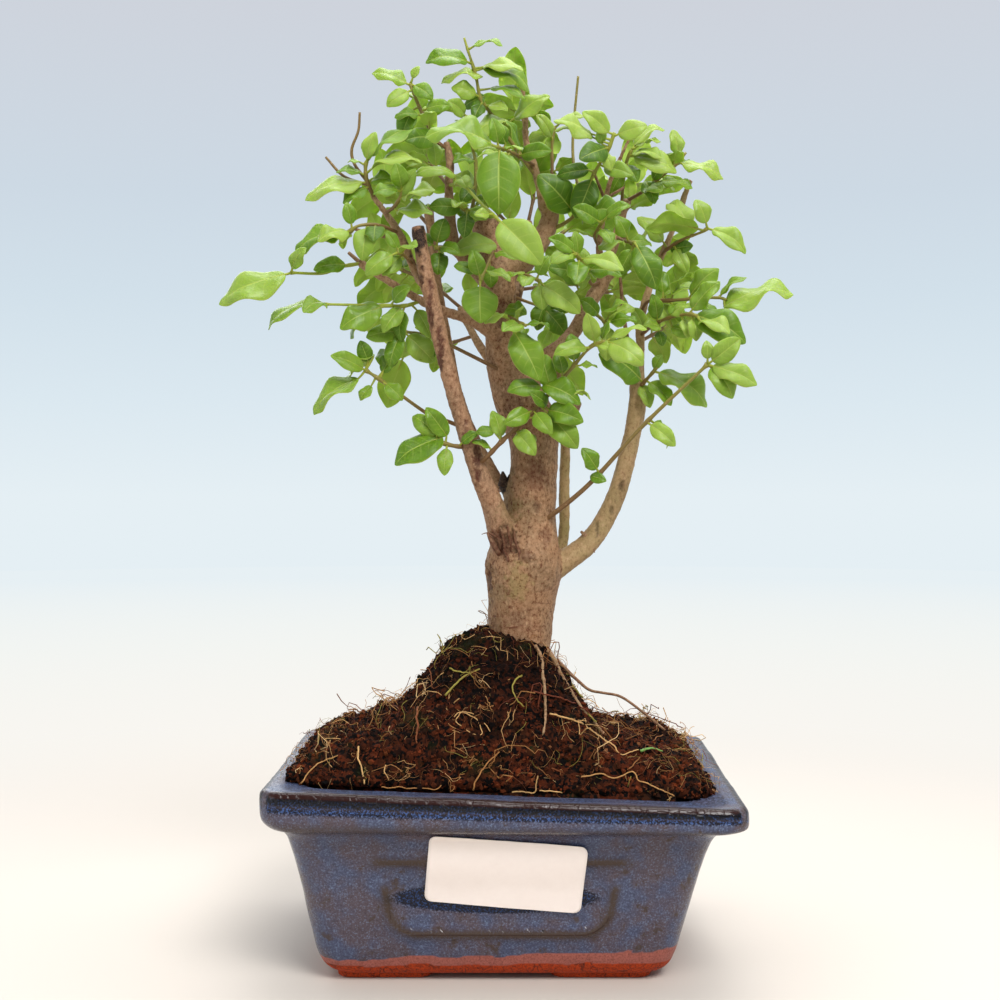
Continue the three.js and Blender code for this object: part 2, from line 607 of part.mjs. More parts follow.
    leaves: [
      [-9.2, 305.5, 183, 15, 16, 60, 0.4], [-6, 300.5, 187, 10, 16, 30, 0.95],
      [-10.5, 310.5, 2, 15, 11.5, 30, 0.6], [-6, 304, 355, 20, 15.5, 40, 0.95],
      [-6, 303.5, 342, -10, 20, 45, 0.5], [-3.5, 296.5, 358, 10, 14, 30, 0.5],
      [-2, 293, 340, 30, 8, 50, 0.9],
      [-8, 293, 165, 20, 9.5, 80, 0.85], [-5.3, 293.8, 205, 20, 9, 70, 0.2],
      [-6, 291.5, 250, 30, 7, 80, 0.15],
      [2, 285.5, 191, 25, 16.5, 35, 0.85], [5, 286, 30, 25, 15, 60, 0.8],
    ],
  },
  {
    name: 'shoot_green_stem',
    route: [
      [17, 247, 6], [22, 249, 4], [26.2, 252.4, 1], [28.7, 258, -2], [33.6, 268, -6], [37.8, 275, -10],
      [40, 281, -12],
    ],
    radius: [0.95, 0.55],
    twigs: [[[28.7, 258, -2], [26, 268, 3], [25.5, 280, 6], [27.3, 300.6, 6]]],
    leaves: [
      [38, 281, 140, 15, 12, 80, 0.95], [39, 280, 10, 20, 11, 80, 0.95],
      [32.5, 279.3, 160, 20, 16, 50, 0.95],
      [31, 281, 158, -10, 13, 30, 0.95], [32.5, 278, 190, 30, 14, 85, 0.15], [35, 275, 5, 25, 10, 30, 0.9],
      [36.5, 269, 333, 30, 12, 85, 0.65], [31, 268, 190, 10, 12, 85, 0.15],
      [35, 265, 250, -10, 15, 80, 0.2],
      [27, 252, 137, 30, 18.5, 85, 0.25], [29.4, 251.5, 320, 30, 20.5, 70, 0.35],
      [35.5, 277, 100, 30, 6, 60, 0.6],
    ],
  },
  {
    name: 'shoot_dark_twig',
    route: [[17.5, 254, 6], [18.2, 267.4, 8], [18.2, 276.9, 8], [19.2, 283.2, 8]],
    radius: [0.9, 0.55],
    leaves: [
      [18.5, 283, 15, 10, 10, 40, 0.9], [17, 278.5, 130, 30, 10, 70, 0.9],
      [18.5, 281, 200, -20, 11, 50, 0.8],
    ],
  },
  {
    name: 'shoot_reddish',
    route: [[35, 240, 1], [33, 245, -8], [36, 250, -15]],
    radius: [0.7, 0.55],
    leaves: [[35, 249.5, 158, 25, 11, 80, 0.4], [37, 251, 30, 20, 10, 60, 0.5]],
  },
  {
    name: 'shoot_right_upper',
    route: [[44.4, 257.2, 8], [49.4, 260, 6], [52.5, 262.5, 4], [61.6, 270, 1], [65, 274, 0]],
    radius: [0.85, 0.55],
    leaves: [
      [62.5, 271.5, 105, 10, 9, 50, 0.95], [63.7, 270, 341, 10, 16, 45, 0.95],
      [52.5, 263.5, 60, 25, 7, 60, 0.4],
      [54, 264, 348, 20, 12, 40, 0.6], [51, 264, 285, 20, 9.5, 60, 0.4], [51.5, 261.5, 325, 30, 9, 75, 0.6],
    ],
  },
  {
    name: 'shoot_right_top',
    route: [[42.6, 253, 8], [42.6, 257, 4], [43, 262, 1], [44, 270, -2], [46, 275, -4]],
    radius: [0.8, 0.55],
    leaves: [
      [46, 272.5, 335, 15, 17, 60, 0.95], [45, 273, 345, 35, 12, 40, 0.8], [46, 276, 350, 10, 9, 20, 0.9],
      [47, 276.5, 10, -10, 13, 30, 0.95], [44, 270.5, 290, 30, 8, 75, 0.3],
      [43.5, 268, 200, 20, 9, 60, 0.5],
    ],
  },
  {
    name: 'shoot_far_right',
    route: [[56.5, 238, 8], [58, 240, 3], [63.7, 243.6, -3], [70, 246, -8], [72.5, 247.5, -10]],
    radius: [0.75, 0.55],
    leaves: [
      [71, 247.3, 172, -5, 19, -35, 0.5], [73, 248.7, 117, 10, 9.5, 60, 0.8],
      [73, 248.2, 326, 15, 15.5, 60, 0.8],
      [57, 243, 140, 15, 13, 65, 0.85], [57, 241, 0, 35, 8.5, 90, 0.2], [61, 241, 290, 15, 10, 85, 0.85],
      [66, 248, 160, 0, 15, 45, 0.9],
    ],
  },
  {
    name: 'shoot_right_middle',
    route: [[40.6, 244.3, 7], [44, 243, -2], [47, 242.5, -10]],
    radius: [0.75, 0.6],
    leaves: [
      [47, 242, 295, 15, 18, 85, 0.3], [46, 240, 240, -15, 10, 80, 0.5], [45, 243.5, 120, 20, 9, 60, 0.5],
    ],
  },
  {
    name: 'shoot_right_level',
    route: [[49, 218, 6], [52, 222, 1], [59, 222.3, -6], [75, 223.3, -14], [79, 222.5, -16]],
    radius: [0.8, 0.55],
    leaves: [
      [57.5, 224, 5, 0, 18, 20, 0.75], [66, 221, 50, 30, 14, 60, 0.6], [78, 220, 14, 10, 26, 32, 0.85],
      [57, 225, 100, -10, 9, 40, 0.45],
    ],
  },
  {
    name: 'shoot_right_lower',
    route: [[49, 210, 6], [54, 214, -4], [60, 216.5, -12], [66, 217.5, -20], [69, 216.8, -24]],
    radius: [0.8, 0.6],
    leaves: [
      [66, 217.8, 50, 25, 14, 60, 0.6], [54.5, 215.5, 100, 35, 10, 65, 0.4],
      [66.5, 217.3, 333, 15, 21, 70, 0.4],
      [66, 216, 345, 0, 16, 50, 0.35], [70, 215, 333, 35, 15.5, 40, 0.85], [56, 213, 175, 35, 8, 60, 0.65],
      [59, 215.5, 10, 40, 9.5, 50, 0.75], [60, 213, 335, 35, 9, 75, 0.6],
      [55.5, 211.5, 280, 20, 6, 80, 0.2],
      [50, 213, 120, 20, 8.5, 80, 0.7],
    ],
  },
  {
    name: 'shoot_right_inner',
    route: [[30, 218.5, 2], [34, 217, -6], [37, 214.5, -12]],
    radius: [0.75, 0.6],
    leaves: [
      [37, 213.5, 0, 25, 10, 50, 0.45], [36.5, 215.5, 25, 20, 10, 50, 0.85], [35, 216, 140, 20, 9, 70, 0.5],
    ],
  },
  {
    name: 'shoot_trunk_right',
    route: [[4, 224, 2], [9, 222, 6], [15, 220, 8]],
    radius: [0.75, 0.6],
    leaves: [
      [16, 222, 250, 0, 11, 60, 0.35], [15, 221, 310, 10, 12, 70, 0.3], [17, 220.5, 350, 0, 11, 60, 0.25],
      [14, 221, 60, 10, 9, 60, 0.5],
    ],
  },
  {
    name: 'shoot_right_sweep',
    route: [[14, 145, -4], [19, 148, -9], [32, 159, -15], [50.4, 179, -24], [72.5, 200, -34]],
    radius: [1.15, 0.65],
    leaves: [
      [74, 200, 35, 15, 13, 85, 0.75], [74, 199.5, 335, 20, 17, 60, 0.8],
      [74, 199, 323, 30, 14.5, 55, 0.65],
      [72.8, 201, 95, 10, 7, 70, 0.75], [50.5, 181, 320, 25, 12, 80, 0.9],
      [51.5, 181, 305, -10, 12, 30, 0.5],
      [34, 162.7, 128, 20, 9.5, 70, 0.45], [31.5, 161, 345, 30, 6.5, 80, 0.35],
    ],
  },
  {
    name: 'shoot_right_side',
    route: [[48, 191.5, 5], [51, 194.5, 0], [55, 199, -4]],
    radius: [0.8, 0.6],
    leaves: [
      [49.5, 193, 146, 25, 19, 60, 0.35], [54.5, 197, 324, 10, 22, 40, 0.65],
      [52, 193.5, 316, 30, 12.5, 50, 0.6],
      [49.5, 192.5, 290, 35, 10, 60, 0.8], [53, 197, 60, 10, 6, 60, 0.6],
    ],
  },
  {
    name: 'shoot_left_tip',
    route: [[-44, 258.3, -14], [-46.5, 264, -15], [-47, 269, -16], [-46.5, 271, -16]],
    radius: [0.9, 0.55],
    twigs: [
      [[-46.5, 264, -15], [-50.8, 269.9, -14], [-51.8, 275.1, -14], [-49.5, 281.6, -14], [-49, 288, -14]],
      [[-45.8, 262.6, -15], [-54.5, 265.7, -14], [-60.9, 272.4, -14]],
    ],
    leaves: [
      [-46.5, 263.5, 196, 15, 21.5, 35, 0.85], [-46, 266.7, 8, 20, 21, 30, 0.9],
      [-46.8, 269.8, 72, 10, 10.5, 60, 0.85],
      [-46, 271, 32, 5, 20, 25, 0.5], [-45, 261.8, 222, 30, 11, 50, 0.35], [-47, 266, 175, -20, 9, 40, 0.4],
      [-48, 270, 178, 10, 5, 30, 0.6], [-44.5, 264.5, 350, 35, 9, 70, 0.4],
    ],
  },
  {
    name: 'shoot_left_middle',
    route: [[-40, 252.8, -14.5], [-37, 255, -19], [-35, 258, -22], [-34, 261, -23]],
    radius: [0.8, 0.55],
    leaves: [
      [-34.5, 260.5, 190, 25, 9.5, 60, 0.45], [-35.5, 256, 70, 25, 12, 75, 0.7],
      [-35, 257, 20, 35, 14, 45, 0.85],
      [-36, 253.5, 355, 30, 15, 50, 0.7], [-35, 260.5, 100, 10, 9, 60, 0.5],
    ],
  },
  {
    name: 'shoot_left_down',
    route: [[-35.5, 246, -15], [-42, 248.5, -21], [-49, 248.5, -24], [-53, 246, -24]],
    radius: [0.8, 0.6],
    leaves: [
      [-46, 250, 262, 20, 13, 90, 0.75], [-43.5, 249.5, 275, 35, 9.5, 70, 0.2],
      [-55.4, 246.3, 205, 10, 19, 40, 0.5],
      [-50, 242.3, 211, 30, 14, 60, 0.85], [-52, 247.5, 100, 10, 8, 50, 0.5],
    ],
  },
  {
    name: 'shoot_left_inner',
    route: [[-30.5, 235, -17], [-34, 238.5, -22], [-36, 239, -25]],
    radius: [0.75, 0.6],
    leaves: [
      [-36, 239, 204, 15, 12.5, 75, 0.7], [-34, 238, 228, 25, 10, 80, 0.7], [-35, 239, 120, 10, 7, 60, 0.5],
    ],
  },
  {
    name: 'shoot_knob',
    route: [[-16.8, 242, -12], [-20, 241, -15], [-23, 240.5, -16]],
    radius: [0.8, 0.6],
    leaves: [
      [-22.5, 241.5, 75, 10, 9.5, 85, 0.35], [-21, 239.5, 350, 40, 9, 70, 0.45],
      [-21, 239, 265, 20, 9, 70, 0.25],
      [-22, 241, 150, -20, 9, 60, 0.4],
    ],
  },
  {
    name: 'shoot_dark_centre',
    route: [[-17.9, 258, -10], [-14, 255, -15], [-11.5, 254, -17]],
    radius: [0.75, 0.6],
    leaves: [
      [-12, 255.5, 185, 20, 12, 85, 0.35], [-11.5, 254, 268, 25, 10, 85, 0.2],
      [-11, 254.5, 330, 30, 8, 70, 0.5],
    ],
  },
  {
    name: 'shoot_top_left',
    route: [[-18, 275, -9], [-22.8, 278.6, -11], [-25, 283, -12], [-29.4, 292.7, -13], [-31.3, 298, -13]],
    radius: [0.8, 0.55],
    leaves: [
      [-30.5, 289, 245, 10, 12, 60, 0.35], [-31.8, 295.4, 218, 20, 10, 80, 0.85],
      [-30, 299.6, 322, 15, 9, 70, 0.45],
      [-30.8, 298.5, 60, 10, 5, 60, 0.9], [-22, 278, 188, 30, 14, 85, 0.25],
      [-27.5, 288.5, 10, 25, 9, 80, 0.55],
      [-26.5, 287, 190, -10, 9, 50, 0.4],
    ],
  },
  {
    name: 'shoot_upright',
    route: [[-15, 241, -10], [-10, 253, -5], [-8.4, 268.5, -4], [-10.5, 279, -5], [-12, 287, -6]],
    radius: [0.9, 0.55],
    leaves: [
      [-12, 287, 180, 15, 15, 20, 0.95], [-11.5, 286.5, 150, 30, 9, 80, 0.85],
      [-10, 279.5, 20, 20, 9, 60, 0.35],
      [-9, 271, 200, 20, 10, 60, 0.3], [-8.5, 268, 330, 25, 9, 75, 0.25], [-9.5, 262, 240, 35, 8, 80, 0.2],
    ],
  },
];

// the far side of the crown, in opposite pairs as privet grows
const backRoutes = [
  [[10, 250, 34], [12, 262, 38], [10, 275, 36]], [[8, 237, 28], [22, 246, 40], [32, 252, 44]],
  [[9, 243, 31], [-4, 256, 40], [-12, 264, 42]], [[6, 226, 20], [24, 228, 34], [36, 226, 42]],
  [[-14, 220, 38], [-24, 228, 44], [-34, 232, 44]], [[-9, 210, 31], [-22, 206, 40], [-34, 203, 42]],
  [[-12, 216, 35], [-8, 228, 46], [-2, 238, 52]], [[-4, 202, 24], [8, 202, 38], [18, 204, 46]],
  [[-17.8, 262, -10], [-24, 270, 8], [-28, 276, 20]], [[9, 279, 2], [8, 286, 14], [4, 292, 24]],
  [[42, 250, 8], [46, 258, 22], [48, 264, 32]], [[49, 208, 6], [56, 212, 20], [60, 216, 30]],
  [[-22, 227, 12], [-32, 232, 22], [-42, 236, 28]], [[-24.5, 248, 12], [-32, 256, 20], [-40, 260, 24]],
  [[33, 225, 3], [40, 226, 18], [44, 232, 28]], [[41, 246, 7], [52, 238, 20], [60, 236, 26]],
];
const backPairs = [0.62, 0.98];
const backLeaf = { spread: 0.85, least: 12, more: 7, facing: -40 };

function alongRoute(places, share) {
  const lengths = places.slice(1).map((place, i) => place.distanceTo(places[i]));
  let left = share * lengths.reduce((sum, length) => sum + length, 0);
  let step = 0;
  while (step < lengths.length - 1 && left > lengths[step]) {
    left -= lengths[step];
    step += 1;
  }
  return places[step].clone().lerp(places[step + 1], Math.min(1, left / lengths[step]));
}

// leaf direction in the same terms as the table's leaves
function leafTowards(place, direction, length, facing, tone) {
  const scale = (viewer.distance + place.y) / viewer.distance;
  const towards = Math.asin(-direction.y) * 180 / Math.PI;
  const heading = Math.atan2(direction.z, direction.x) * 180 / Math.PI;
  const up = viewer.height + (place.z - viewer.height) / scale;
  return [place.x / scale, up, heading, towards, length, facing, tone];
}

function backShoot(route, index) {
  const places = route.map((point) => seen(...point));
  const leaves = [];
  backPairs.forEach((share, pair) => {
    const place = alongRoute(places, share);
    const along = place.clone().sub(alongRoute(places, share - 0.1)).normalize();
    const across = new THREE.Vector3(0, 0, 1).cross(along).normalize();
    const turned = pair % 2 === 0 ? across : along.clone().cross(across);
    for (const side of [-1, 1]) {
      const id = 1000 + index * 10 + pair * 2 + (side > 0 ? 1 : 0);
      const direction = along.clone().multiplyScalar(0.55).addScaledVector(turned, side * backLeaf.spread)
        .normalize();
      leaves.push(leafTowards(place, direction, backLeaf.least + backLeaf.more * draw(id, 8),
        backLeaf.facing, 0.2 + 0.7 * draw(id, 9)));
    }
  });
  return { name: `shoot_back_${index + 1}`, route, radius: [0.85, 0.6], leaves };
}

// half width of a privet blade, as a share of its length, from stalk to tip
function bladeWidth(share, widthShare) {
  return Math.max(0, Math.sin(Math.PI * share ** 0.82)) ** 0.85 * widthShare / 2;
}

function leafFrame(leaf, id, nudge, depth) {
  const heading = (leaf[2] + nudge[0]) * Math.PI / 180;
  const towards = (leaf[3] + nudge[1]) * Math.PI / 180;
  const facing = leaf[5] * Math.PI / 180;
  const axis = new THREE.Vector3(
    Math.cos(towards) * Math.cos(heading), -Math.sin(towards), Math.cos(towards) * Math.sin(heading));
  const upper = new THREE.Vector3(0, -Math.sin(facing), Math.cos(facing));
  if (Math.abs(upper.dot(axis)) > 0.97) {
    upper.set(0, -Math.cos(facing), Math.sin(facing));
  }
  upper.addScaledVector(axis, -upper.dot(axis)).normalize();
  const curl = 0.35 + 0.6 * draw(id, 1);
  return {
    axis: axis.clone().multiplyScalar(Math.cos(curl / 2)).addScaledVector(upper, Math.sin(curl / 2)),
    upper: upper.clone().multiplyScalar(Math.cos(curl / 2)).addScaledVector(axis, -Math.sin(curl / 2)),
    side: axis.clone().cross(upper),
    curl,
    fold: 0.12 + 0.3 * draw(id, 2),
    wave: 0.03 + 0.05 * draw(id, 3),
    phase: 6.28 * draw(id, 4),
    widthShare: leaf[7] ?? 0.54 + 0.14 * draw(id, 5) + (leaf[4] < 10 ? 0.1 : 0),
    length: leaf[4] * (viewer.distance + depth) / viewer.distance,
  };
}

// middle of the blade's thickness at a share of its length and of its half width
function bladePoint(base, frame, share, across, widen) {
  const bend = frame.curl * share;
  const normal = frame.upper.clone().multiplyScalar(Math.cos(bend))
    .addScaledVector(frame.axis, Math.sin(bend));
  const half = bladeWidth(share, frame.widthShare) * frame.length + widen;
  const lift = Math.abs(across) * (half * Math.sin(frame.fold) + frame.length * frame.wave
    * Math.sin(9.4 * share + frame.phase + (across > 0 ? 1.7 : 0)));
  const place = base.clone()
    .addScaledVector(frame.axis, frame.length * Math.sin(bend) / frame.curl)
    .addScaledVector(frame.upper, -frame.length * (1 - Math.cos(bend)) / frame.curl)
    .addScaledVector(frame.side, across * half * Math.cos(frame.fold))
    .addScaledVector(normal, lift);
  return { place, normal };
}

// blade and stalk as one closed thin body, its stalk end sunk in the stem
function bladeSolid(seat, frame, grow, from) {
  const shares = frame.length >= blade.long ? [0.2, 0.5, 0.8] : [0.3, 0.7];
  const half = blade.thickness / 2 + grow;
  const upper = [];
  const under = [];
  const addRow = (points) => {
    upper.push(points.map(({ place, normal }) => place.clone().addScaledVector(normal, half)));
    under.push(points.map(({ place, normal }) => place.clone().addScaledVector(normal, -half)));
  };
  if (from === 0) {
    const stalk = seat.stem.clone().addScaledVector(frame.upper, half);
    upper.push([-1, 1].map((across) => (
      stalk.clone().addScaledVector(frame.side, across * (blade.petiole / 2 + grow)))));
    under.push([seat.stem.clone().addScaledVector(frame.upper, -half - 0.1)]);
  }
  for (const share of shares.filter((value) => value > from)) {
    addRow([-1, 0, 1].map((across) => bladePoint(seat.base, frame, share, across, grow)));
  }
  addRow([bladePoint(seat.base, frame, 1 + grow / frame.length, 0, 0)]);
  return solid(sheet(upper, under));
}

// depth of the stem where it passes behind or before the blade's base
function leafDepth(leaf, route) {
  let nearest = { distance: Infinity, depth: 0 };
  const spot = new THREE.Vector3(leaf[0], leaf[1], 0);
  route.slice(1).forEach((point, i) => {
    const line = new THREE.Line3(
      new THREE.Vector3(route[i][0], route[i][1], 0), new THREE.Vector3(point[0], point[1], 0));
    const share = line.closestPointToPointParameter(spot, true);
    const distance = line.at(share, new THREE.Vector3()).distanceTo(spot);
    if (distance < nearest.distance) {
      nearest = { distance, depth: route[i][2] + (point[2] - route[i][2]) * share };
    }
  });
  return nearest.depth;
}

// the blade's base and the place on the stem that its stalk grows from
function leafSeat(leaf, frame, stem, depth) {
  const base = seen(leaf[0], leaf[1], depth);
  const foot = stem.free.reduce((best, place) => (
    place.distanceTo(base) < best.distanceTo(base) ? place : best));
  const reach = base.clone().sub(foot);
  const sideways = Math.abs(reach.dot(frame.side)) > 0.8 * reach.length();
  if (reach.length() < 1.5 || reach.length() > 9 || sideways) {
    base.copy(foot).addScaledVector(frame.axis, 2);
  }
  return { base, stem: foot };
}

// a shoot's stem starts just clear of the limb that bears it
function stemOf(shoot) {
  const places = shoot.route.map((point) => seen(...point));
  const free = [];
  for (let step = 0; step <= stemSteps; step += 1) {
    const place = alongRoute(places, step / stemSteps);
    if (fromWood(place) > stemGap) {
      free.push(place);
    }
  }
  const outer = places.filter((place) => fromWood(place) > 2 * stemGap);
  const run = [free[0], ...outer];
  const radii = run.map((place, i) => (
    shoot.radius[0] + (shoot.radius[1] - shoot.radius[0]) * i / (run.length - 1)));
  const twigs = (shoot.twigs ?? []).map((twig) => {
    const along = twig.map((point) => seen(...point));
    return rod(along, along.map((place, i) => 0.6 - 0.15 * i / along.length), 3, 0);
  });
  return { route: shoot.route, free: free.slice(2), body: join([rod(run, radii, 3, 0), ...twigs]) };
}

// turns of heading and towards that a blade may take, in the order they are tried
const nudges = [
  [0, 0], [12, 0], [-12, 0], [0, 15], [0, -15], [22, 10], [-22, 10], [22, -12], [-22, -12], [0, 32],
  [0, -32], [42, 0], [-42, 0], [38, 28], [-38, 28], [38, -28], [-38, -28], [70, 0], [-70, 0],
];

function crosses(body, others) {
  const { min, max } = body.boundingBox();
  return others.some((other) => {
    const box = other.box;
    const apart = [0, 1, 2].some((axis) => box.max[axis] < min[axis] || box.min[axis] > max[axis]);
    return !apart && !body.intersect(other.body).isEmpty();
  });
}

function boxed(body) {
  return { body, box: body.boundingBox() };
}

// every leaf keeps its table place unless it would cross another piece: then it bends clear
function leafyShoots() {
  const all = [...shoots, ...backRoutes.map(backShoot)];
  const stems = all.map(stemOf);
  const stemBodies = stems.map((stem) => boxed(stem.body));
  const woodBodies = woodParts(0).map(boxed);
  const placed = all.map(() => []);
  all.forEach((shoot, index) => {
    const otherStems = stemBodies.filter((stem, i) => i !== index);
    const otherLeaves = placed.filter((list, i) => i !== index).flat();
    const neighbours = [...woodBodies, ...otherStems, ...otherLeaves];
    shoot.leaves.forEach((leaf, order) => {
      if (leaf[4] < blade.least) {
        return;
      }
      const id = index * 20 + order;
      const depth = leafDepth(leaf, shoot.route);
      const grownLeaf = (nudge) => {
        const frame = leafFrame(leaf, id, nudge, depth);
        const seat = leafSeat(leaf, frame, stems[index], depth);
        return (grow, from) => bladeSolid(seat, frame, grow, from);
      };
      const fitting = (mindOwn) => nudges.find((nudge) => {
        const body = grownLeaf(nudge);
        if (crosses(body(blade.clearance, 0), neighbours)) {
          return false;
        }
        return !mindOwn || !crosses(body(0.1, 0.25), [...placed[index], stemBodies[index]]);
      });
      const nudge = fitting(true) ?? fitting(false);
      if (nudge) {
        placed[index].push(boxed(grownLeaf(nudge)(0, 0)));
      }
    });
  });
  return all.map((shoot, index) => {
    const grown = join([stems[index].body, ...placed[index].map(({ body }) => body)]);
    const tone = shoot.leaves.reduce((sum, leaf) => sum + leaf[6], 0) / shoot.leaves.length;
    const color = new THREE.Color(0x35802f).lerp(new THREE.Color(0x9ccb2c), tone);
    const material = new THREE.MeshStandardMaterial({ color, roughness: 0.45, metalness: 0 });
    return mesh(shoot.name, largest(grown), material);
  });
}

const materials = {
  glaze: new THREE.MeshStandardMaterial({ color: 0x33415f, roughness: 0.25, metalness: 0 }),
  paper: new THREE.MeshStandardMaterial({ color: 0xf1ebe4, roughness: 0.6, metalness: 0 }),
  plastic: new THREE.MeshStandardMaterial({ color: 0x2b2b2b, roughness: 0.5, metalness: 0 }),
  soil: new THREE.MeshStandardMaterial({ color: 0x3a2014, roughness: 0.95, metalness: 0 }),
  bark: new THREE.MeshStandardMaterial({ color: 0xa58a6a, roughness: 0.85, metalness: 0 }),
};

const tree = join([...woodParts(0), ...rootParts(0)]);

const planted = new THREE.Group();
planted.add(mesh('pot', potBody(), materials.glaze));
planted.add(mesh('label', labelSheet(), materials.paper));
for (const [name, side] of [['drain_mesh_left', -1], ['drain_mesh_right', 1]]) {
  const drain = mesh(name, drainScreen(), materials.plastic);
  drain.position.set(side * pot.drainSpacing / 2, 0, pot.floor + gap);
  planted.add(drain);
}

function screenSpace(side) {
  const reach = screen.side + 2 * gap;
  const geometry = new THREE.BoxGeometry(reach, reach, 4);
  geometry.translate(side * pot.drainSpacing / 2, 0, pot.floor + screen.thickness + 2 * gap - 2);
  return solid(geometry);
}

const treeClear = join([...woodParts(gap), ...rootParts(gap)]);
const soilSolid = largest(soilBody().subtract(treeClear).subtract(screenSpace(-1)).subtract(screenSpace(1)));
planted.add(mesh('soil', soilSolid, materials.soil));

const plant = new THREE.Group();
plant.add(mesh('tree', largest(tree), materials.bark));
plant.add(...leafyShoots());

// the origin is the middle of the footprint, on the surface that the feet stand on
const bonsai = new THREE.Group();
bonsai.add(planted, plant);
const box = new THREE.Box3().setFromObject(bonsai, true);
const middle = box.getCenter(new THREE.Vector3());
bonsai.position.set(-middle.x, -middle.y, -box.min.z);

const part = new THREE.Group();
part.add(bonsai);
export default part;
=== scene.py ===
import math
from functools import partial
import bpy
import numpy as np
from mathutils.bvhtree import BVHTree
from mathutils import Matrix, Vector, noise


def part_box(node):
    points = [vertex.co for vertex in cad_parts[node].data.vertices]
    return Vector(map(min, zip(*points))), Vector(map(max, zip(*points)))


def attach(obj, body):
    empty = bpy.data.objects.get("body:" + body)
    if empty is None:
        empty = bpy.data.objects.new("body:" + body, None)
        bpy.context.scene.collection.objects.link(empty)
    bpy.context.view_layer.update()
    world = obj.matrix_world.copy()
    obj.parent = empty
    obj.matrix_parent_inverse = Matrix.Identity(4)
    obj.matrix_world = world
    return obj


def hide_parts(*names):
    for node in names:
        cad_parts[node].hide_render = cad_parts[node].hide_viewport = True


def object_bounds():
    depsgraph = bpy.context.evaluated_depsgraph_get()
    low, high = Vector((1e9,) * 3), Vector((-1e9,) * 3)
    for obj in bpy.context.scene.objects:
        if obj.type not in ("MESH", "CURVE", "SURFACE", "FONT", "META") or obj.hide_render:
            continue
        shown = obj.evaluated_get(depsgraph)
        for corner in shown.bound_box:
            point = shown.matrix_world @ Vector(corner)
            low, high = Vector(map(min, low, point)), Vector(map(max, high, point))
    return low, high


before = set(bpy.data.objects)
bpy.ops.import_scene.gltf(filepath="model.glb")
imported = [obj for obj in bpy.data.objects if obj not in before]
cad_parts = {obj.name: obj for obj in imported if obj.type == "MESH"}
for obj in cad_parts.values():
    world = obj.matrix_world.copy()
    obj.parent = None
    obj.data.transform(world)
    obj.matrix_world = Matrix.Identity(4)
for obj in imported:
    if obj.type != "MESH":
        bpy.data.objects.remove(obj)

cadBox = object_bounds()
mm = 0.001
noise.seed_set(7)    # the noise vectors of the single roots repeat from run to run

# Sizes below are in millimetres in the tree's own frame: x to the right and z up as the tree is seen
# from the front, y away from the viewer, with the middle of the pot at x = y = 0. The feet reach a
# little below z = 0, the underside of the pot's wall.
footReach = 2.9
screenBoxes = [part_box("drain_mesh_" + side) for side in ("left", "right")]
potMiddle = np.mean(screenBoxes, axis=(0, 1))
potMiddle[2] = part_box("pot")[0][2] + footReach * mm
viewer = {"distance": 479, "height": 154, "focal": 49.36, "shift": -0.004}


# Shared rules

def smooth(low, high, value):
    t = np.clip((value - low) / (high - low), 0, 1)
    return t * t * (3 - 2 * t)


def fract(value):
    return value - math.floor(value)


def draw(leaf, trait):    # a repeatable draw from 0 to 1 for one trait of one leaf
    return fract(math.sin(leaf * 12.9898 + trait * 78.233) * 43758.5453)


def seen(across, up, depth):    # the place of a point given as the viewer sees it
    scale = (viewer["distance"] + depth) / viewer["distance"]
    return np.array([across * scale, depth, viewer["height"] + (up - viewer["height"]) * scale])


def unit(vector):
    return vector / np.linalg.norm(vector)


def curveThrough(points, step):    # an even Catmull-Rom curve through rows of numbers
    points = np.array(points, float)
    ends = np.vstack([2 * points[0] - points[1], points, 2 * points[-1] - points[-2]])
    rows = []
    for i in range(len(points) - 1):
        a, b, c, d = ends[i:i + 4]
        count = max(1, round(np.linalg.norm((c - b)[:3]) / step))
        for t in np.arange(count) / count:
            rows.append(0.5 * (2 * b + (c - a) * t + (2 * a - 5 * b + 4 * c - d) * t ** 2
                               + (3 * b - a - 3 * c + d) * t ** 3))
    rows.append(points[-1])
    return np.array(rows)


def gridFaces(rows, columns, start=0, closed=False, flip=False):
    faces = []
    for i in range(rows - 1):
        for k in range(columns if closed else columns - 1):
            a, b = start + i * columns + k, start + i * columns + (k + 1) % columns
            face = (a, b, b + columns, a + columns)
            faces.append(face[::-1] if flip else face)
    return faces


def ringFaces(count, columns, start=0):    # rings joined into a skin whose two ends are capped
    last = start + (count - 1) * columns
    caps = [tuple(range(start + columns - 1, start - 1, -1)), tuple(range(last, last + columns))]
    return gridFaces(count, columns, start, closed=True) + caps


def sheetBorder(rows, columns):    # a grid's outermost points, in order round it
    last = (rows - 1) * columns
    return [*range(columns), *range(2 * columns - 1, last + columns, columns),
            *range(last + columns - 2, last - 1, -1), *range(last - columns, 0, -columns)]


def closedSheet(upper, under, rows, columns, start=0):    # two grids joined round their border
    below = start + rows * columns
    faces = gridFaces(rows, columns, start) + gridFaces(rows, columns, below, flip=True)
    rim = sheetBorder(rows, columns)
    for a, b in zip(rim, rim[1:] + rim[:1]):
        faces.append((start + b, start + a, below + a, below + b))
    return np.vstack([upper, under]), faces


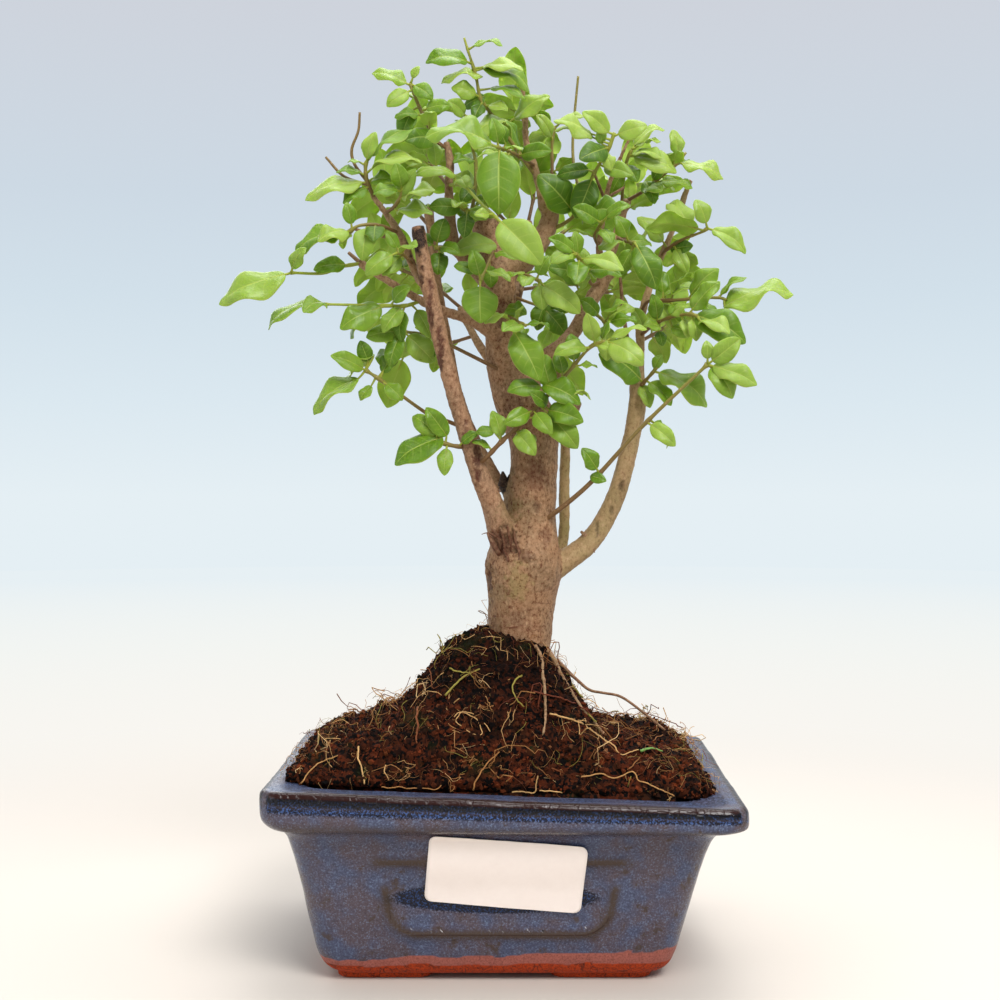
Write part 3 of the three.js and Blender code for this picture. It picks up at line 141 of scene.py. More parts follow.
def tube(path, radii, sides, start=0, ripple=0.0):    # closed round rod: points and faces
    path = np.asarray(path, float)
    along = np.gradient(path, axis=0)
    along /= np.linalg.norm(along, axis=1)[:, None]
    reference = np.array([1.0, 0, 0]) if abs(along[0][1]) > 0.9 else np.array([0, 1.0, 0])
    side = unit(np.cross(reference, along[0]))
    angle = np.arange(sides) / sides * 2 * math.pi
    points = []
    for place, direction, radius in zip(path, along, radii):
        side = unit(side - direction * side.dot(direction))
        other = np.cross(direction, side)
        wave = 0.6 * np.sin(2 * angle + place[2] / 14) + 0.4 * np.sin(3 * angle - place[2] / 9 + 1)
        reach = radius * (1 + ripple * wave)[:, None]
        points.extend(place + reach * (np.cos(angle)[:, None] * side + np.sin(angle)[:, None] * other))
    return points, ringFaces(len(path), sides, start)


def makePiece(name, points, faces, materials, slots=None, look=None, uv=None):
    points = np.asarray(points, float) * mm + potMiddle
    mesh = bpy.data.meshes.new(name)
    mesh.from_pydata(points.tolist(), [], faces)
    for material in materials:
        mesh.materials.append(material)
    if slots is not None:
        mesh.polygons.foreach_set("material_index", slots)
    if uv is not None:
        corner = np.empty(len(mesh.loops), int)
        mesh.loops.foreach_get("vertex_index", corner)
        layer = mesh.uv_layers.new(name="blade")
        layer.data.foreach_set("uv", np.asarray(uv, float)[corner].ravel())
    if look is not None:
        setLook(mesh, look)
    mesh.shade_smooth()
    mesh.update()
    piece = bpy.data.objects.new(name, mesh)
    bpy.context.scene.collection.objects.link(piece)
    return piece


def setLook(mesh, look):    # four numbers a vertex that a material reads
    values = np.ones((len(mesh.vertices), 4))
    look = np.asarray(look, float)
    values[:, :look.shape[1]] = look
    attribute = mesh.attributes.new("look", "FLOAT_COLOR", "POINT")
    attribute.data.foreach_set("color", values.ravel())


def pointsOf(mesh):    # a mesh's vertices back in the tree's frame, in millimetres
    flat = np.empty(len(mesh.vertices) * 3)
    mesh.vertices.foreach_get("co", flat)
    return (flat.reshape(-1, 3) - potMiddle) / mm


def settled(piece):    # the piece's modifiers become its plain mesh
    bpy.context.view_layer.update()
    evaluated = piece.evaluated_get(bpy.context.evaluated_depsgraph_get())
    mesh = bpy.data.meshes.new_from_object(evaluated)
    piece.modifiers.clear()
    old = piece.data
    piece.data = mesh
    bpy.data.meshes.remove(old)
    return mesh


def wear(piece, slot, *nodes):    # every piece rides on the one body
    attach(piece, "root")
    if nodes:
        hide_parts(*nodes)
    return piece


# Colours and shader nodes

def linear(code, alpha=1.0):    # sRGB hex to the linear values that sockets hold
    channels = [int(code[i:i + 2], 16) / 255 for i in (1, 3, 5)]
    return tuple(c / 12.92 if c <= 0.04045 else ((c + 0.055) / 1.055) ** 2.4 for c in channels) + (alpha,)


def addNode(tree, kind, inputs=(), **settings):    # one node with its settings, values and links
    made = tree.nodes.new(kind if "Node" in kind else "ShaderNode" + kind)
    for key, value in settings.items():
        setattr(made, key, value)
    for key, value in dict(inputs).items():
        if isinstance(value, bpy.types.Node):
            value = next(output for output in value.outputs if output.enabled)
        if isinstance(value, bpy.types.NodeSocket):
            tree.links.new(value, made.inputs[key])
        else:
            colour = isinstance(value, str) and value.startswith("#")
            made.inputs[key].default_value = linear(value) if colour else value
    return made


def newMaterial(name, **values):    # the material, its shader and a call that adds nodes to it
    material = bpy.data.materials.new(name)
    material.use_nodes = True
    shader = material.node_tree.nodes["Principled BSDF"]
    for key, value in values.items():
        shader.inputs[key.replace("_", " ")].default_value = value
    return material, shader, partial(addNode, material.node_tree)


def setStops(ramp, stops, span=1.0):    # a ramp's colours at given values from 0 to the span
    elements = ramp.color_ramp.elements
    for value, code in stops[2:]:
        elements.new(value / span)
    for element, (value, code) in zip(elements, sorted(stops)):
        element.position = value / span
        element.color = linear(code)


def finishMaterial(material, shader, **sources):    # nodes into the shader's sockets
    for key, node in sources.items():
        output = next(output for output in node.outputs if output.enabled)
        material.node_tree.links.new(output, shader.inputs[key.replace("_", " ")])
    return material


# Camera, lights and the pale surface that the pot stands on
print("stage")
studio = {
    "floorColour": "#cdc4b9", "floorRadius": 2.6, "fadeFrom": 0.16, "fadeTo": 0.5,
    "roomLight": 0.5,    # the unlit room on the viewer's side, as a share of the backdrop's light
    # backdrop colours by the sine of the angle above level, then along the floor by metres from the pot
    "sky": [(0.0, "#e5eff4"), (0.07, "#dbe8f0"), (0.142, "#d2e0ea"), (0.211, "#cdd9e4"), (0.334, "#ced3dc")],
    "surface": [(0.1, "#fcf6ee"), (0.55, "#f8f6f1"), (1.0, "#f3f5f2"), (2.2, "#e7f0f4")],
}

camera = bpy.data.objects.new("camera", bpy.data.cameras.new("camera"))
camera.location = np.array([0, -viewer["distance"], viewer["height"]]) * mm + potMiddle
camera.rotation_euler = (math.pi / 2, 0, 0)
camera.data.lens = viewer["focal"]
camera.data.shift_y = viewer["shift"]
camera.data.clip_start = 0.01
bpy.context.scene.collection.objects.link(camera)
bpy.context.scene.camera = camera
bpy.context.scene.view_settings.view_transform = "Standard"

softboxes = [    # name, place and target in metres, side in metres, power in watts
    ("key", (0.35, -0.75, 0.95), (0, 0, 0.17), 0.5, 12.5),
    ("fill", (-0.85, -0.55, 0.45), (0, 0, 0.15), 0.7, 2.6),
    ("overhead", (0.1, 0.1, 1.1), (0, 0, 0.2), 0.7, 9),
    ("behind", (-0.35, 0.95, 0.7), (0, 0, 0.2), 0.7, 3.5),
]
for name, place, target, side, power in softboxes:
    lamp = bpy.data.objects.new(name, bpy.data.lights.new(name, "AREA"))
    lamp.data.size = side
    lamp.data.energy = power
    lamp.location = place
    lamp.rotation_euler = (Vector(target) - Vector(place)).to_track_quat("-Z", "Y").to_euler()
    bpy.context.scene.collection.objects.link(lamp)


world = bpy.data.worlds.new("studio")
bpy.context.scene.world = world
world.use_nodes = True
add = partial(addNode, world.node_tree)
direction = add("SeparateXYZ", {0: add("TexCoord").outputs["Generated"]})
sky = add("ValToRGB", {0: add("MapRange", {"Value": direction.outputs[2], "From Max": 0.4})})
setStops(sky, studio["sky"], 0.4)
room = add("MapRange", {"Value": direction.outputs[1], "From Min": 0.15, "From Max": -0.45, "To Min": 1.0,
                        "To Max": studio["roomLight"]})
world.node_tree.links.new(sky.outputs[0], world.node_tree.nodes["Background"].inputs["Color"])
world.node_tree.links.new(room.outputs[0], world.node_tree.nodes["Background"].inputs["Strength"])

floorMesh = bpy.data.meshes.new("floor")
ring = [(studio["floorRadius"] * math.cos(a), studio["floorRadius"] * math.sin(a), 0)
        for a in np.arange(96) / 96 * 2 * math.pi]
floorMesh.from_pydata(ring, [], [tuple(range(96))])
floor = bpy.data.objects.new("floor", floorMesh)
bpy.context.scene.collection.objects.link(floor)
# seamless paper sweep: matt and warm under the pot, fading into the sky's own colour far away
paperSweep, shader, add = newMaterial("seamless paper sweep", Roughness=0.9)
shader.inputs["Base Color"].default_value = linear(studio["floorColour"])
reach = add("VectorMath", {0: add("TexCoord").outputs["Object"]}, operation="LENGTH")
fade = add("MapRange", {
    "Value": reach.outputs["Value"], "From Min": studio["fadeFrom"], "From Max": studio["fadeTo"],
}, interpolation_type="SMOOTHSTEP")
far = add("ValToRGB", {0: add("MapRange", {
    "Value": reach.outputs["Value"], "From Max": studio["floorRadius"]})})
setStops(far, studio["surface"], studio["floorRadius"])
glow = add("Emission", {"Color": far.outputs[0]})
mix = add("MixShader", {0: fade, 1: shader.outputs[0], 2: glow})
surface = paperSweep.node_tree.nodes["Material Output"].inputs["Surface"]
paperSweep.node_tree.links.new(mix.outputs[0], surface)
floorMesh.materials.append(paperSweep)


# Pot: hand-pressed stoneware, glazed over terracotta
print("pot")
pot = {
    "lessDepth": 20, "rimCorner": 7, "bodyCorner": 9, "cornerSteps": 9, "longSteps": 84, "shortSteps": 54,
    "rowStep": 0.9, "footTop": 3.4, "footWidth": 16, "footRow": 25, "footCorner": 4,
    "drainRadius": 6, "drainSpacing": 56, "drainFloor": 7,
    "feet": [(-37.6, 15.6), (33, 16.5)],
    "panel": {"across": 0, "up": 26.2, "halfLength": 36, "halfHeight": 12.2, "corner": 8, "lean": 0.16,
              "width": 1.9, "proud": 1.25, "sunk": 0.5, "fadeLow": 29, "fadeTop": 33,
              "barHalf": 38, "barUp": 38.4},
    "pool": {"across": -1.5, "up": 26, "halfLength": 34.5, "halfHeight": 5.4},
    "glazeEdge": 6.6, "glazeTilt": 0.035, "slipEdge": 3.2, "slipTilt": 0.012,
}
# the wall's half length, its height and how far the ring has slipped to the right
potOutside = [
    [51.5, -0.9, -1], [54.2, -0.7, -1], [56.3, 1, -1], [57.9, 4, -1.1], [59.5, 9, -1.1], [61.8, 19.5, -0.9],
    [64, 30, -0.5], [65.7, 37, -0.2], [67.4, 43, 0.1], [69, 46.4, 0.6], [71.2, 48.3, 1], [74.2, 49.6, 1.4],
    [76.2, 52, 1.4], [76.6, 55.5, 1.4], [76.4, 59.6, 1.4], [75.2, 60.9, 1.4],
]
potRim = [
    [75.2, 60.9, 1.4], [74.2, 60.9, 1.4], [69, 60.2, 0.9], [64.6, 60.1, 0.2], [62.6, 59.3, 0],
    [61.8, 56, 0], [60.5, 45, 0],
]
potInside = [[57, 30, 0], [53.5, 11, 0], [50, 7, 0]]


def rimLift(x, y):    # the rim is a little warped, as hand-pressed ware is
    return 1.3 * (y / 55) - 2 * (x / 75) + 0.9 * (x / 75) * (y / 55)


def roundedOutline(halfLength, halfDepth, corner, cornerSteps, longSteps, shortSteps):
    points = []
    for quarter, (sideX, sideY) in enumerate([(1, 1), (-1, 1), (-1, -1), (1, -1)]):
        for angle in (quarter + np.arange(cornerSteps + 1) / cornerSteps) * math.pi / 2:
            points.append((sideX * (halfLength - corner) + corner * math.cos(angle),
                           sideY * (halfDepth - corner) + corner * math.sin(angle)))
        count = longSteps if quarter % 2 == 0 else shortSteps
        x, y = points[-1]
        ahead = -2 * sideX * (halfLength - corner) if quarter % 2 == 0 else 0
        along = 0 if quarter % 2 == 0 else -2 * sideY * (halfDepth - corner)
        points.extend((x + ahead * t, y + along * t) for t in np.arange(1, count) / count)
    return np.array(points)


def panelDistance(across, up):    # from the panel's moulded line, on the long walls; inside is below 0
    panel = pot["panel"]
    halfLength = panel["halfLength"] + panel["lean"] * (up - panel["up"])
    dx = np.abs(across - panel["across"]) - halfLength + panel["corner"]
    dz = np.abs(up - panel["up"]) - panel["halfHeight"] + panel["corner"]
    outside = np.hypot(np.maximum(dx, 0), np.maximum(dz, 0))
    return outside + np.minimum(np.maximum(dx, dz), 0) - panel["corner"]


def panelLine(across, up):    # 1 on the moulded line: the panel's foot and sides, and a bar above them
    panel = pot["panel"]
    sides = np.exp(-(panelDistance(across, up) / panel["width"]) ** 2)
    sides = sides * smooth(panel["fadeTop"], panel["fadeLow"], up)
    beyond = np.maximum(0, np.abs(across) - panel["barHalf"])
    return np.maximum(sides, np.exp(-(np.hypot(beyond / 2, up - panel["barUp"]) / panel["width"]) ** 2))


def panelRelief(across, up):    # a raised bead round a slightly sunken field
    panel = pot["panel"]
    return panel["proud"] * panelLine(across, up) - panel["sunk"] * smooth(0, -4, panelDistance(across, up))


def potRing(halfLength, height, slip, relief):
    toRim = smooth(46, 58, height)
    corner = pot["bodyCorner"] + (pot["rimCorner"] - pot["bodyCorner"]) * toRim
    outline = roundedOutline(halfLength, halfLength - pot["lessDepth"], corner,
                             pot["cornerSteps"], pot["longSteps"], pot["shortSteps"])
    x, y = outline.T
    z = height + rimLift(x, y) * toRim
    if relief:
        onLong = smooth(halfLength - corner + 1, halfLength - corner - 3, np.abs(x))
        y = y + np.sign(y) * onLong * panelRelief(x, z)
    return np.column_stack([x + slip, y, z])


def pressed(point):    # unevenness left by the maker's hands, in mm
    place = Vector(point)
    wave = 0.4 * noise.noise(place / 17) + 0.13 * noise.noise(place / 5)
    return wave * float(smooth(2, 9, point[2]))


def potShell():
    outer = curveThrough(potOutside, pot["rowStep"])
    rim = curveThrough(potRim, pot["rowStep"] * 1.6)[1:]
    rings = [potRing(*row, True) for row in outer] + [potRing(*row, False) for row in rim]
    rings += [potRing(*row, False) for row in potInside]
    columns = len(rings[0])
    points = np.vstack(rings)
    outward = points[:, :2] / np.linalg.norm(points[:, :2], axis=1)[:, None]
    outerRows = len(outer) * columns
    for i in range(outerRows + len(rim) * columns):
        wave = pressed(points[i])
        points[i, :2] += outward[i] * wave
        points[i, 2] += wave * float(smooth(56, 60, points[i, 2]))
    return points, ringFaces(len(rings), columns)


def footBlock(centreX, halfLength, centreY):    # its underside is flat and its lower edge worn round
    rings = []
    rounding = [(1.1, 0), (0.5, 0.15), (0.15, 0.5), (0, 1.1), (0, 2.6), (0, footReach + pot["footTop"])]
    for inset, height in rounding:
        halfWidth = pot["footWidth"] / 2 - inset
        outline = roundedOutline(halfLength - inset, halfWidth, pot["footCorner"], 5, 22, 10)
        ring = np.column_stack([outline + [centreX, centreY], np.full(len(outline), height - footReach)])
        for point in ring:
            point[:2] += 0.3 * noise.noise(Vector(point) / 3.5) * min(1, height)
        rings.append(ring)
    return np.vstack(rings), ringFaces(len(rings), len(rings[0]))


def cutInto(piece, tool, operation):
    modifier = piece.modifiers.new("join", "BOOLEAN")
    modifier.operation = operation
    modifier.solver = "EXACT"
    modifier.object = tool
    settled(piece)
    bpy.data.objects.remove(tool)


def potLook(points):    # thin brown glaze, pooled dark glaze and bare clay, from 0 to 1
    x, y, z = points.T
    level = z - rimLift(x, y) * smooth(46, 58, z)
    reach = np.maximum(np.abs(x - 1.2), np.abs(y) + pot["lessDepth"])
    outside = smooth(60.5, 62.5, reach) + smooth(52, 48, level)
    face = smooth(74.6, 75.6, reach)    # the rim's upright face, darkest under its crest
    crest = 1.15 * np.exp(-((level - 60.7) / 0.9) ** 2) * smooth(73.6, 74.8, reach)
    shade = 0.8 * smooth(55.6, 58.2, level) * face
    roll = 0.55 * np.exp(-((level - 49.6) / 1.7) ** 2) * smooth(66, 69.5, reach)
    line = 0.95 * panelLine(x, level) ** 1.5 * smooth(30, 33, np.abs(y)) * smooth(45, 41, level)
    thin = np.clip(crest + shade + roll + line, 0, 1)
    band = smooth(53.2, 56.2, level) * face
    rimTop = smooth(60.65, 60.25, level) * smooth(58, 59.6, level) * 0.55 * smooth(74.5, 73, reach)
    pool = pot["pool"]
    spread = np.hypot((x - pool["across"]) / pool["halfLength"], (level - pool["up"]) / pool["halfHeight"])
    pooled = smooth(1.1, 0.8, spread) * smooth(30, 33, -y)
    edge = np.array([noise.noise(Vector(p) / 9) + 0.35 * noise.noise(Vector(p) / 2.5) for p in points])
    over = z + 1.1 * edge - pot["glazeTilt"] * x
    bare = 0.5 * smooth(pot["glazeEdge"] + 0.25, pot["glazeEdge"] - 0.25, over)
    low = z + 0.9 * edge - pot["slipTilt"] * x
    bare += 0.5 * smooth(pot["slipEdge"] + 0.35, pot["slipEdge"] - 0.35, low)
    bare = np.maximum(bare, smooth(1, 0, outside) * smooth(57, 55, level))
    dulled = smooth(60.7, 60.3, level) * smooth(58, 59.6, level) * smooth(75, 73.5, reach)
    return np.column_stack([thin, np.clip(band + rimTop + pooled, 0, 1), bare, dulled])


points, faces = potShell()
potPiece = makePiece("glazed_pot", points, faces, [])
for centreX, halfLength in pot["feet"]:
    for row in (-1, 1):
        points, faces = footBlock(centreX, halfLength, row * pot["footRow"])
        cutInto(potPiece, makePiece("foot", points, faces, []), "UNION")
for side in (-1, 1):
    path = [[side * pot["drainSpacing"] / 2, 0, pot["drainFloor"] + z] for z in (-12, 6)]
    points, faces = tube(path, [pot["drainRadius"]] * 2, 40)
    cutInto(potPiece, makePiece("drain", points, faces, []), "DIFFERENCE")
setLook(potPiece.data, potLook(pointsOf(potPiece.data)))
potPiece.data.shade_smooth()

# glazed stoneware: slate-blue glaze broken to brown where it runs thin, near navy with blue specks where
# it pools, over orange terracotta; glossy, with a faint orange-peel skin and a few pinholes
glaze = {
    "slate": "#464b63", "mauve": "#51454c", "fleck": "#788ba9", "pit": "#2b2a3a", "brown": "#43352d",
    "thin": "#0c090c", "crest": "#28100b", "pool": "#080a1c", "poolFleck": "#41629f",
    "clay": "#b23c0a", "clayDark": "#3c1003", "slip": "#a55f53", "slipDark": "#7e4339", "hole": "#140c0a",
    "speckleSize": 0.62, "patchSize": 10, "blotchSize": 5, "skinSize": 1.6, "holeSpacing": 11,
    "holeSize": 0.045,
}
glazed, shader, add = newMaterial("slate-blue glaze over terracotta", Roughness=0.2, IOR=1.36)
place = add("TexCoord").outputs["Object"]
looks = add("Attribute", attribute_name="look")
thin, pooled, bare = add("SeparateColor", {0: looks.outputs["Color"]}).outputs
patch = add("TexNoise", {"Vector": place, "Scale": 1000 / glaze["patchSize"], "Detail": 4})
speck = add("TexNoise", {"Vector": place, "Scale": 1000 / glaze["speckleSize"], "Detail": 3,
                         "Roughness": 0.7})
blotch = add("TexNoise", {"Vector": place, "Scale": 1000 / glaze["blotchSize"], "Detail": 5,
                          "Roughness": 0.6})
ground = add("Mix", {0: add("MapRange", {"Value": patch, "From Min": 0.4, "From Max": 0.6}),
                     6: glaze["slate"], 7: glaze["mauve"]}, data_type="RGBA")
light = add("MapRange", {"Value": speck, "From Min": 0.52, "From Max": 0.72, "To Max": 0.62})
dark = add("MapRange", {"Value": speck, "From Min": 0.48, "From Max": 0.32, "To Max": 0.6})
blotched = add("MapRange", {"Value": blotch, "From Min": 0.6, "From Max": 0.67, "To Max": 0.8},
               interpolation_type="SMOOTHSTEP")
for share, colour in ((light, "fleck"), (dark, "pit"), (blotched, "brown")):
    ground = add("Mix", {0: share, 6: ground, 7: glaze[colour]}, data_type="RGBA")
onRim = add("MapRange", {"Value": add("SeparateXYZ", {0: place}).outputs[2], "From Min": 0.05,
                         "From Max": 0.053, "To Min": 0.4, "To Max": 0.9})
deepFleck = add("MapRange", {"Value": speck, "From Min": 0.49, "From Max": 0.62})
deepFleck = add("Math", {0: deepFleck, 1: onRim}, operation="MULTIPLY")
deep = add("Mix", {0: deepFleck, 6: glaze["pool"], 7: glaze["poolFleck"]}, data_type="RGBA")
seep = add("MapRange", {"Value": speck, "From Min": 0.35, "From Max": 0.65, "To Min": 0.22,
                        "To Max": -0.22})
pooling = add("Math", {0: pooled, 1: seep}, operation="ADD")
pooling = add("MapRange", {"Value": pooling, "From Min": 0.3, "From Max": 0.7})
coloured = add("Mix", {0: pooling, 6: ground, 7: deep}, data_type="RGBA")
crested = add("MapRange", {"Value": thin, "From Min": 0.85, "From Max": 0.97})
brown = add("Mix", {0: add("MapRange", {"Value": thin, "From Min": 0.3, "From Max": 0.6}),
                    6: glaze["brown"], 7: glaze["thin"]}, data_type="RGBA")
shallow = add("Math", {0: pooled, 1: 1.6}, operation="MULTIPLY", use_clamp=True)
brown = add("Mix", {0: shallow, 6: glaze["brown"], 7: brown}, data_type="RGBA")
brown = add("Mix", {0: crested, 6: brown, 7: glaze["crest"]}, data_type="RGBA")
breaking = add("MapRange", {"Value": speck, "From Min": 0.3, "From Max": 0.65, "To Min": 1.5,
                            "To Max": 1.0})
breaking = add("Math", {0: thin, 1: breaking}, operation="MULTIPLY", use_clamp=True)
coloured = add("Mix", {0: breaking, 6: coloured, 7: brown}, data_type="RGBA")
holes = add("TexVoronoi", {"Vector": place, "Scale": 1000 / glaze["holeSpacing"]})
rare = add("Math", {0: add("SeparateColor", {0: holes.outputs["Color"]}).outputs[0], 1: 0.6},
           operation="GREATER_THAN")
pinhole = add("MapRange", {"Value": holes.outputs["Distance"], "From Min": glaze["holeSize"] * 1.4,
                           "From Max": glaze["holeSize"]})
pinhole = add("Math", {0: pinhole, 1: rare}, operation="MULTIPLY")
coloured = add("Mix", {0: pinhole, 6: coloured, 7: glaze["hole"]}, data_type="RGBA")
cracks = add("TexVoronoi", {"Vector": add("Mapping", {"Vector": place, "Scale": (1.0, 1.0, 0.4)}),
                            "Scale": 1000 / 2.6}, feature="DISTANCE_TO_EDGE")
crackMask = add("MapRange", {"Value": cracks, "From Min": 0.07, "From Max": 0.0, "To Max": 0.9})
crackMask = add("Math", {0: crackMask, 1: add("MapRange", {
    "Value": blotch, "From Min": 0.4, "From Max": 0.6})}, operation="MULTIPLY")
clay = add("Mix", {0: add("MapRange", {"Value": speck, "From Min": 0.55, "From Max": 0.3}),
                   6: glaze["clay"], 7: glaze["clayDark"]}, data_type="RGBA")
clay = add("Mix", {0: crackMask, 6: clay, 7: glaze["clayDark"]}, data_type="RGBA")
slip = add("Mix", {0: add("MapRange", {"Value": speck, "From Min": 0.4, "From Max": 0.65}),
                   6: glaze["slip"], 7: glaze["slipDark"]}, data_type="RGBA")
slipMask = add("MapRange", {"Value": bare, "From Min": 0.15, "From Max": 0.35})
clayMask = add("MapRange", {"Value": bare, "From Min": 0.65, "From Max": 0.85})
whole = add("Mix", {0: slipMask, 6: coloured, 7: slip}, data_type="RGBA")
whole = add("Mix", {0: clayMask, 6: whole, 7: clay}, data_type="RGBA")
gloss = add("MapRange", {"Value": bare, "From Min": 0.1, "From Max": 0.8, "To Min": 0.2, "To Max": 0.75})
worn = add("MapRange", {"Value": looks.outputs["Alpha"], "To Max": 0.35})
gloss = add("Math", {0: gloss, 1: worn}, operation="ADD")
skin = add("TexNoise", {"Vector": place, "Scale": 1000 / glaze["skinSize"], "Detail": 2})
pitted = add("Math", {0: skin, 1: add("Math", {0: crackMask, 1: pinhole}, operation="MAXIMUM")},
             operation="SUBTRACT")
skinBump = add("Bump", {"Height": pitted, "Distance": 0.14 * mm})
finishMaterial(glazed, shader, Base_Color=whole, Roughness=gloss, Normal=skinBump)
potPiece.data.materials.append(glazed)
wear(potPiece, "glaze", "pot")


# Paper label on the front wall, bare: it follows the wall's hand-pressed surface
print("label")
label = {
    "length": 50, "height": 24, "thickness": 0.16, "corner": 2.4, "across": 1.8, "up": 34.7, "roll": -0.088,
    "offWall": 0.22, "bulge": 7,    # the paper bridges the moulded bar in a gentle swell
}


def frontWall(across, height, out):    # a place out from the front wall's slope
    wall = np.array(potOutside)
    halfLength = np.interp(height, wall[2:, 1], wall[2:, 0])
    slope = np.interp(height + 1, wall[2:, 1], wall[2:, 0]) - halfLength
    lean = math.hypot(1, slope)
    return [across, -(halfLength - pot["lessDepth"]) - out / lean, height - out * slope / lean]


def labelSheet():
    inset = [0, 0.06, 0.25, 0.6, 1.1, 2]
    rows = inset + list(np.linspace(3, label["height"] - 3, 14)) + [label["height"] - d for d in inset[::-1]]
    sides = []
    for off in (label["offWall"] + label["thickness"], label["offWall"]):
        side = []
        for down in rows:
            near = min(down, label["height"] - down, label["corner"])
            cut = label["corner"] - math.sqrt(max(0, label["corner"] ** 2 - (label["corner"] - near) ** 2))
            half = label["length"] / 2 - cut
            for x in np.linspace(-half, half, 41):
                y = down - label["height"] / 2
                across = label["across"] + x * math.cos(label["roll"]) - y * math.sin(label["roll"])
                up = label["up"] + (x * math.sin(label["roll"]) + y * math.cos(label["roll"])) * 0.96
                wall = np.array(frontWall(across, up, 0))
                overBar = math.exp(-((up - pot["panel"]["barUp"]) / label["bulge"]) ** 2)
                press = pressed(wall) * abs(wall[1]) / math.hypot(*wall[:2])
                side.append(frontWall(across, up, off + pot["panel"]["proud"] * overBar + press))
        sides.append(side)
    return closedSheet(sides[0], sides[1], len(rows), 41)


# uncoated label paper: smooth warm white, faintly fibrous
paper, shader, add = newMaterial("label paper", Roughness=0.55)
place = add("TexCoord").outputs["Object"]
fibre = add("TexNoise", {"Vector": place, "Scale": 1000 / 2.5, "Detail": 6, "Roughness": 0.7})
sheetColour = add("Mix", {0: fibre, 6: "#f7ebe3", 7: "#efe2da"}, data_type="RGBA")
paperBump = add("Bump", {"Height": fibre, "Distance": 0.03 * mm})
finishMaterial(paper, shader, Base_Color=sheetColour, Normal=paperBump)
points, faces = labelSheet()
wear(makePiece("paper_label", points, faces, [paper]), "paper", "label")

# moulded black polypropylene mesh over each drain hole: matt, with a fine grain
moulded, shader, add = newMaterial("moulded black polypropylene", Roughness=0.55)
grain = add("TexNoise", {"Vector": add("TexCoord").outputs["Object"], "Scale": 1000 / 0.6})
dusty = add("Mix", {0: grain, 6: "#1d1c1b", 7: "#3a3431"}, data_type="RGBA")
finishMaterial(moulded, shader, Base_Color=dusty, Normal=add("Bump", {"Height": grain,
                                                                      "Distance": 0.05 * mm}))
for side in ("left", "right"):
    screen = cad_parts["drain_mesh_" + side]
    screen.data.materials.clear()
    screen.data.materials.append(moulded)


# Soil: fills the pot, lies over its side rims, and rises to the root ball round the trunk
print("soil")
soil = {
    "halfLength": 69, "front": 40.8, "back": 44.3, "leftTop": 78, "rightTop": 72.5, "humpTop": 108.5,
    "humpAcross": -1.2, "humpRadius": 27.5, "rimTop": 60.2, "step": 0.62, "crumbSize": 3.1,
    "crumbHeight": 2.3, "grainSize": 1.3, "grainHeight": 1.0, "ragged": 1.3, "corner": 9,
    "strandGap": 11, "strandShare": 0.62,    # the jump in depth that parts a single root, and its girth
    "walls": [[61.4, 58.9], [60, 45], [56.5, 30.2], [53, 11.3], [49.5, 7.35]],
}


def soilHeight(x, y):
    fromSides = np.maximum(0, soil["halfLength"] - np.abs(x))
    fromFront = np.maximum(0, np.minimum(soil["front"] + y, soil["back"] - y))
    inward = 1.25 * fromSides * fromFront / (fromSides + fromFront + 0.01)
    edge = soil["rimTop"] + rimLift(x, y) + 1.6
    bed = soil["leftTop"] + (soil["rightTop"] - soil["leftTop"]) * smooth(-6, 34, x)
    bed -= 4 * smooth(-32, -60, x)
    lumps = 1.1 * np.sin(x / 7.3 + 1) * np.sin(y / 6.1 + 2) + 0.8 * np.sin(x / 3.9 + y / 5.2)
    hump = np.exp(-(np.hypot(x - soil["humpAcross"], y) / soil["humpRadius"]) ** 3.15)
    whole = bed + lumps + (soil["humpTop"] - bed) * hump
    return edge + (whole - edge) * smooth(-3, 13, inward)


def soilNormal(x, y):
    slopeX = (soilHeight(x + 0.4, y) - soilHeight(x - 0.4, y)) / 0.8
    slopeY = (soilHeight(x, y + 0.4) - soilHeight(x, y - 0.4)) / 0.8
    normal = np.stack([-slopeX, -slopeY, np.ones_like(slopeX)], axis=-1)
    return normal / np.linalg.norm(normal, axis=-1, keepdims=True)


def crumbled(place):    # rounded crumbs of two sizes, in mm above the bed
    spot = Vector(place)
    large = noise.voronoi(spot / soil["crumbSize"])[0][0]
    small = noise.voronoi(spot / soil["grainSize"])[0][0]
    rough = noise.fractal(spot / 7, 0.8, 2.1, 3)
    return (soil["crumbHeight"] * (0.45 - large) + soil["grainHeight"] * (0.4 - small)
            + soil["ragged"] * rough)


def soilTop():
    columns = round(2 * soil["halfLength"] / soil["step"]) + 1
    rows = round((soil["front"] + soil["back"]) / soil["step"]) + 1
    x, y = np.meshgrid(np.linspace(-soil["halfLength"], soil["halfLength"], columns),
                       np.linspace(-soil["front"], soil["back"], rows))
    corner = soil["corner"]
    dx = np.maximum(0, np.abs(x) - soil["halfLength"] + corner)
    middle = (soil["back"] - soil["front"]) / 2
    halfDepth = (soil["back"] + soil["front"]) / 2
    dy = np.maximum(0, np.abs(y - middle) - halfDepth + corner)
    over = np.maximum(1, np.hypot(dx, dy) / corner)
    x = x - np.sign(x) * (dx - dx / over)
    y = y - np.sign(y - middle) * (dy - dy / over)
    flat = np.column_stack([x.ravel(), y.ravel(), soilHeight(x, y).ravel()])
    normals = soilNormal(x, y).reshape(-1, 3)
    lift = np.array([crumbled(point) for point in flat])
    return flat + normals * lift[:, None], rows, columns


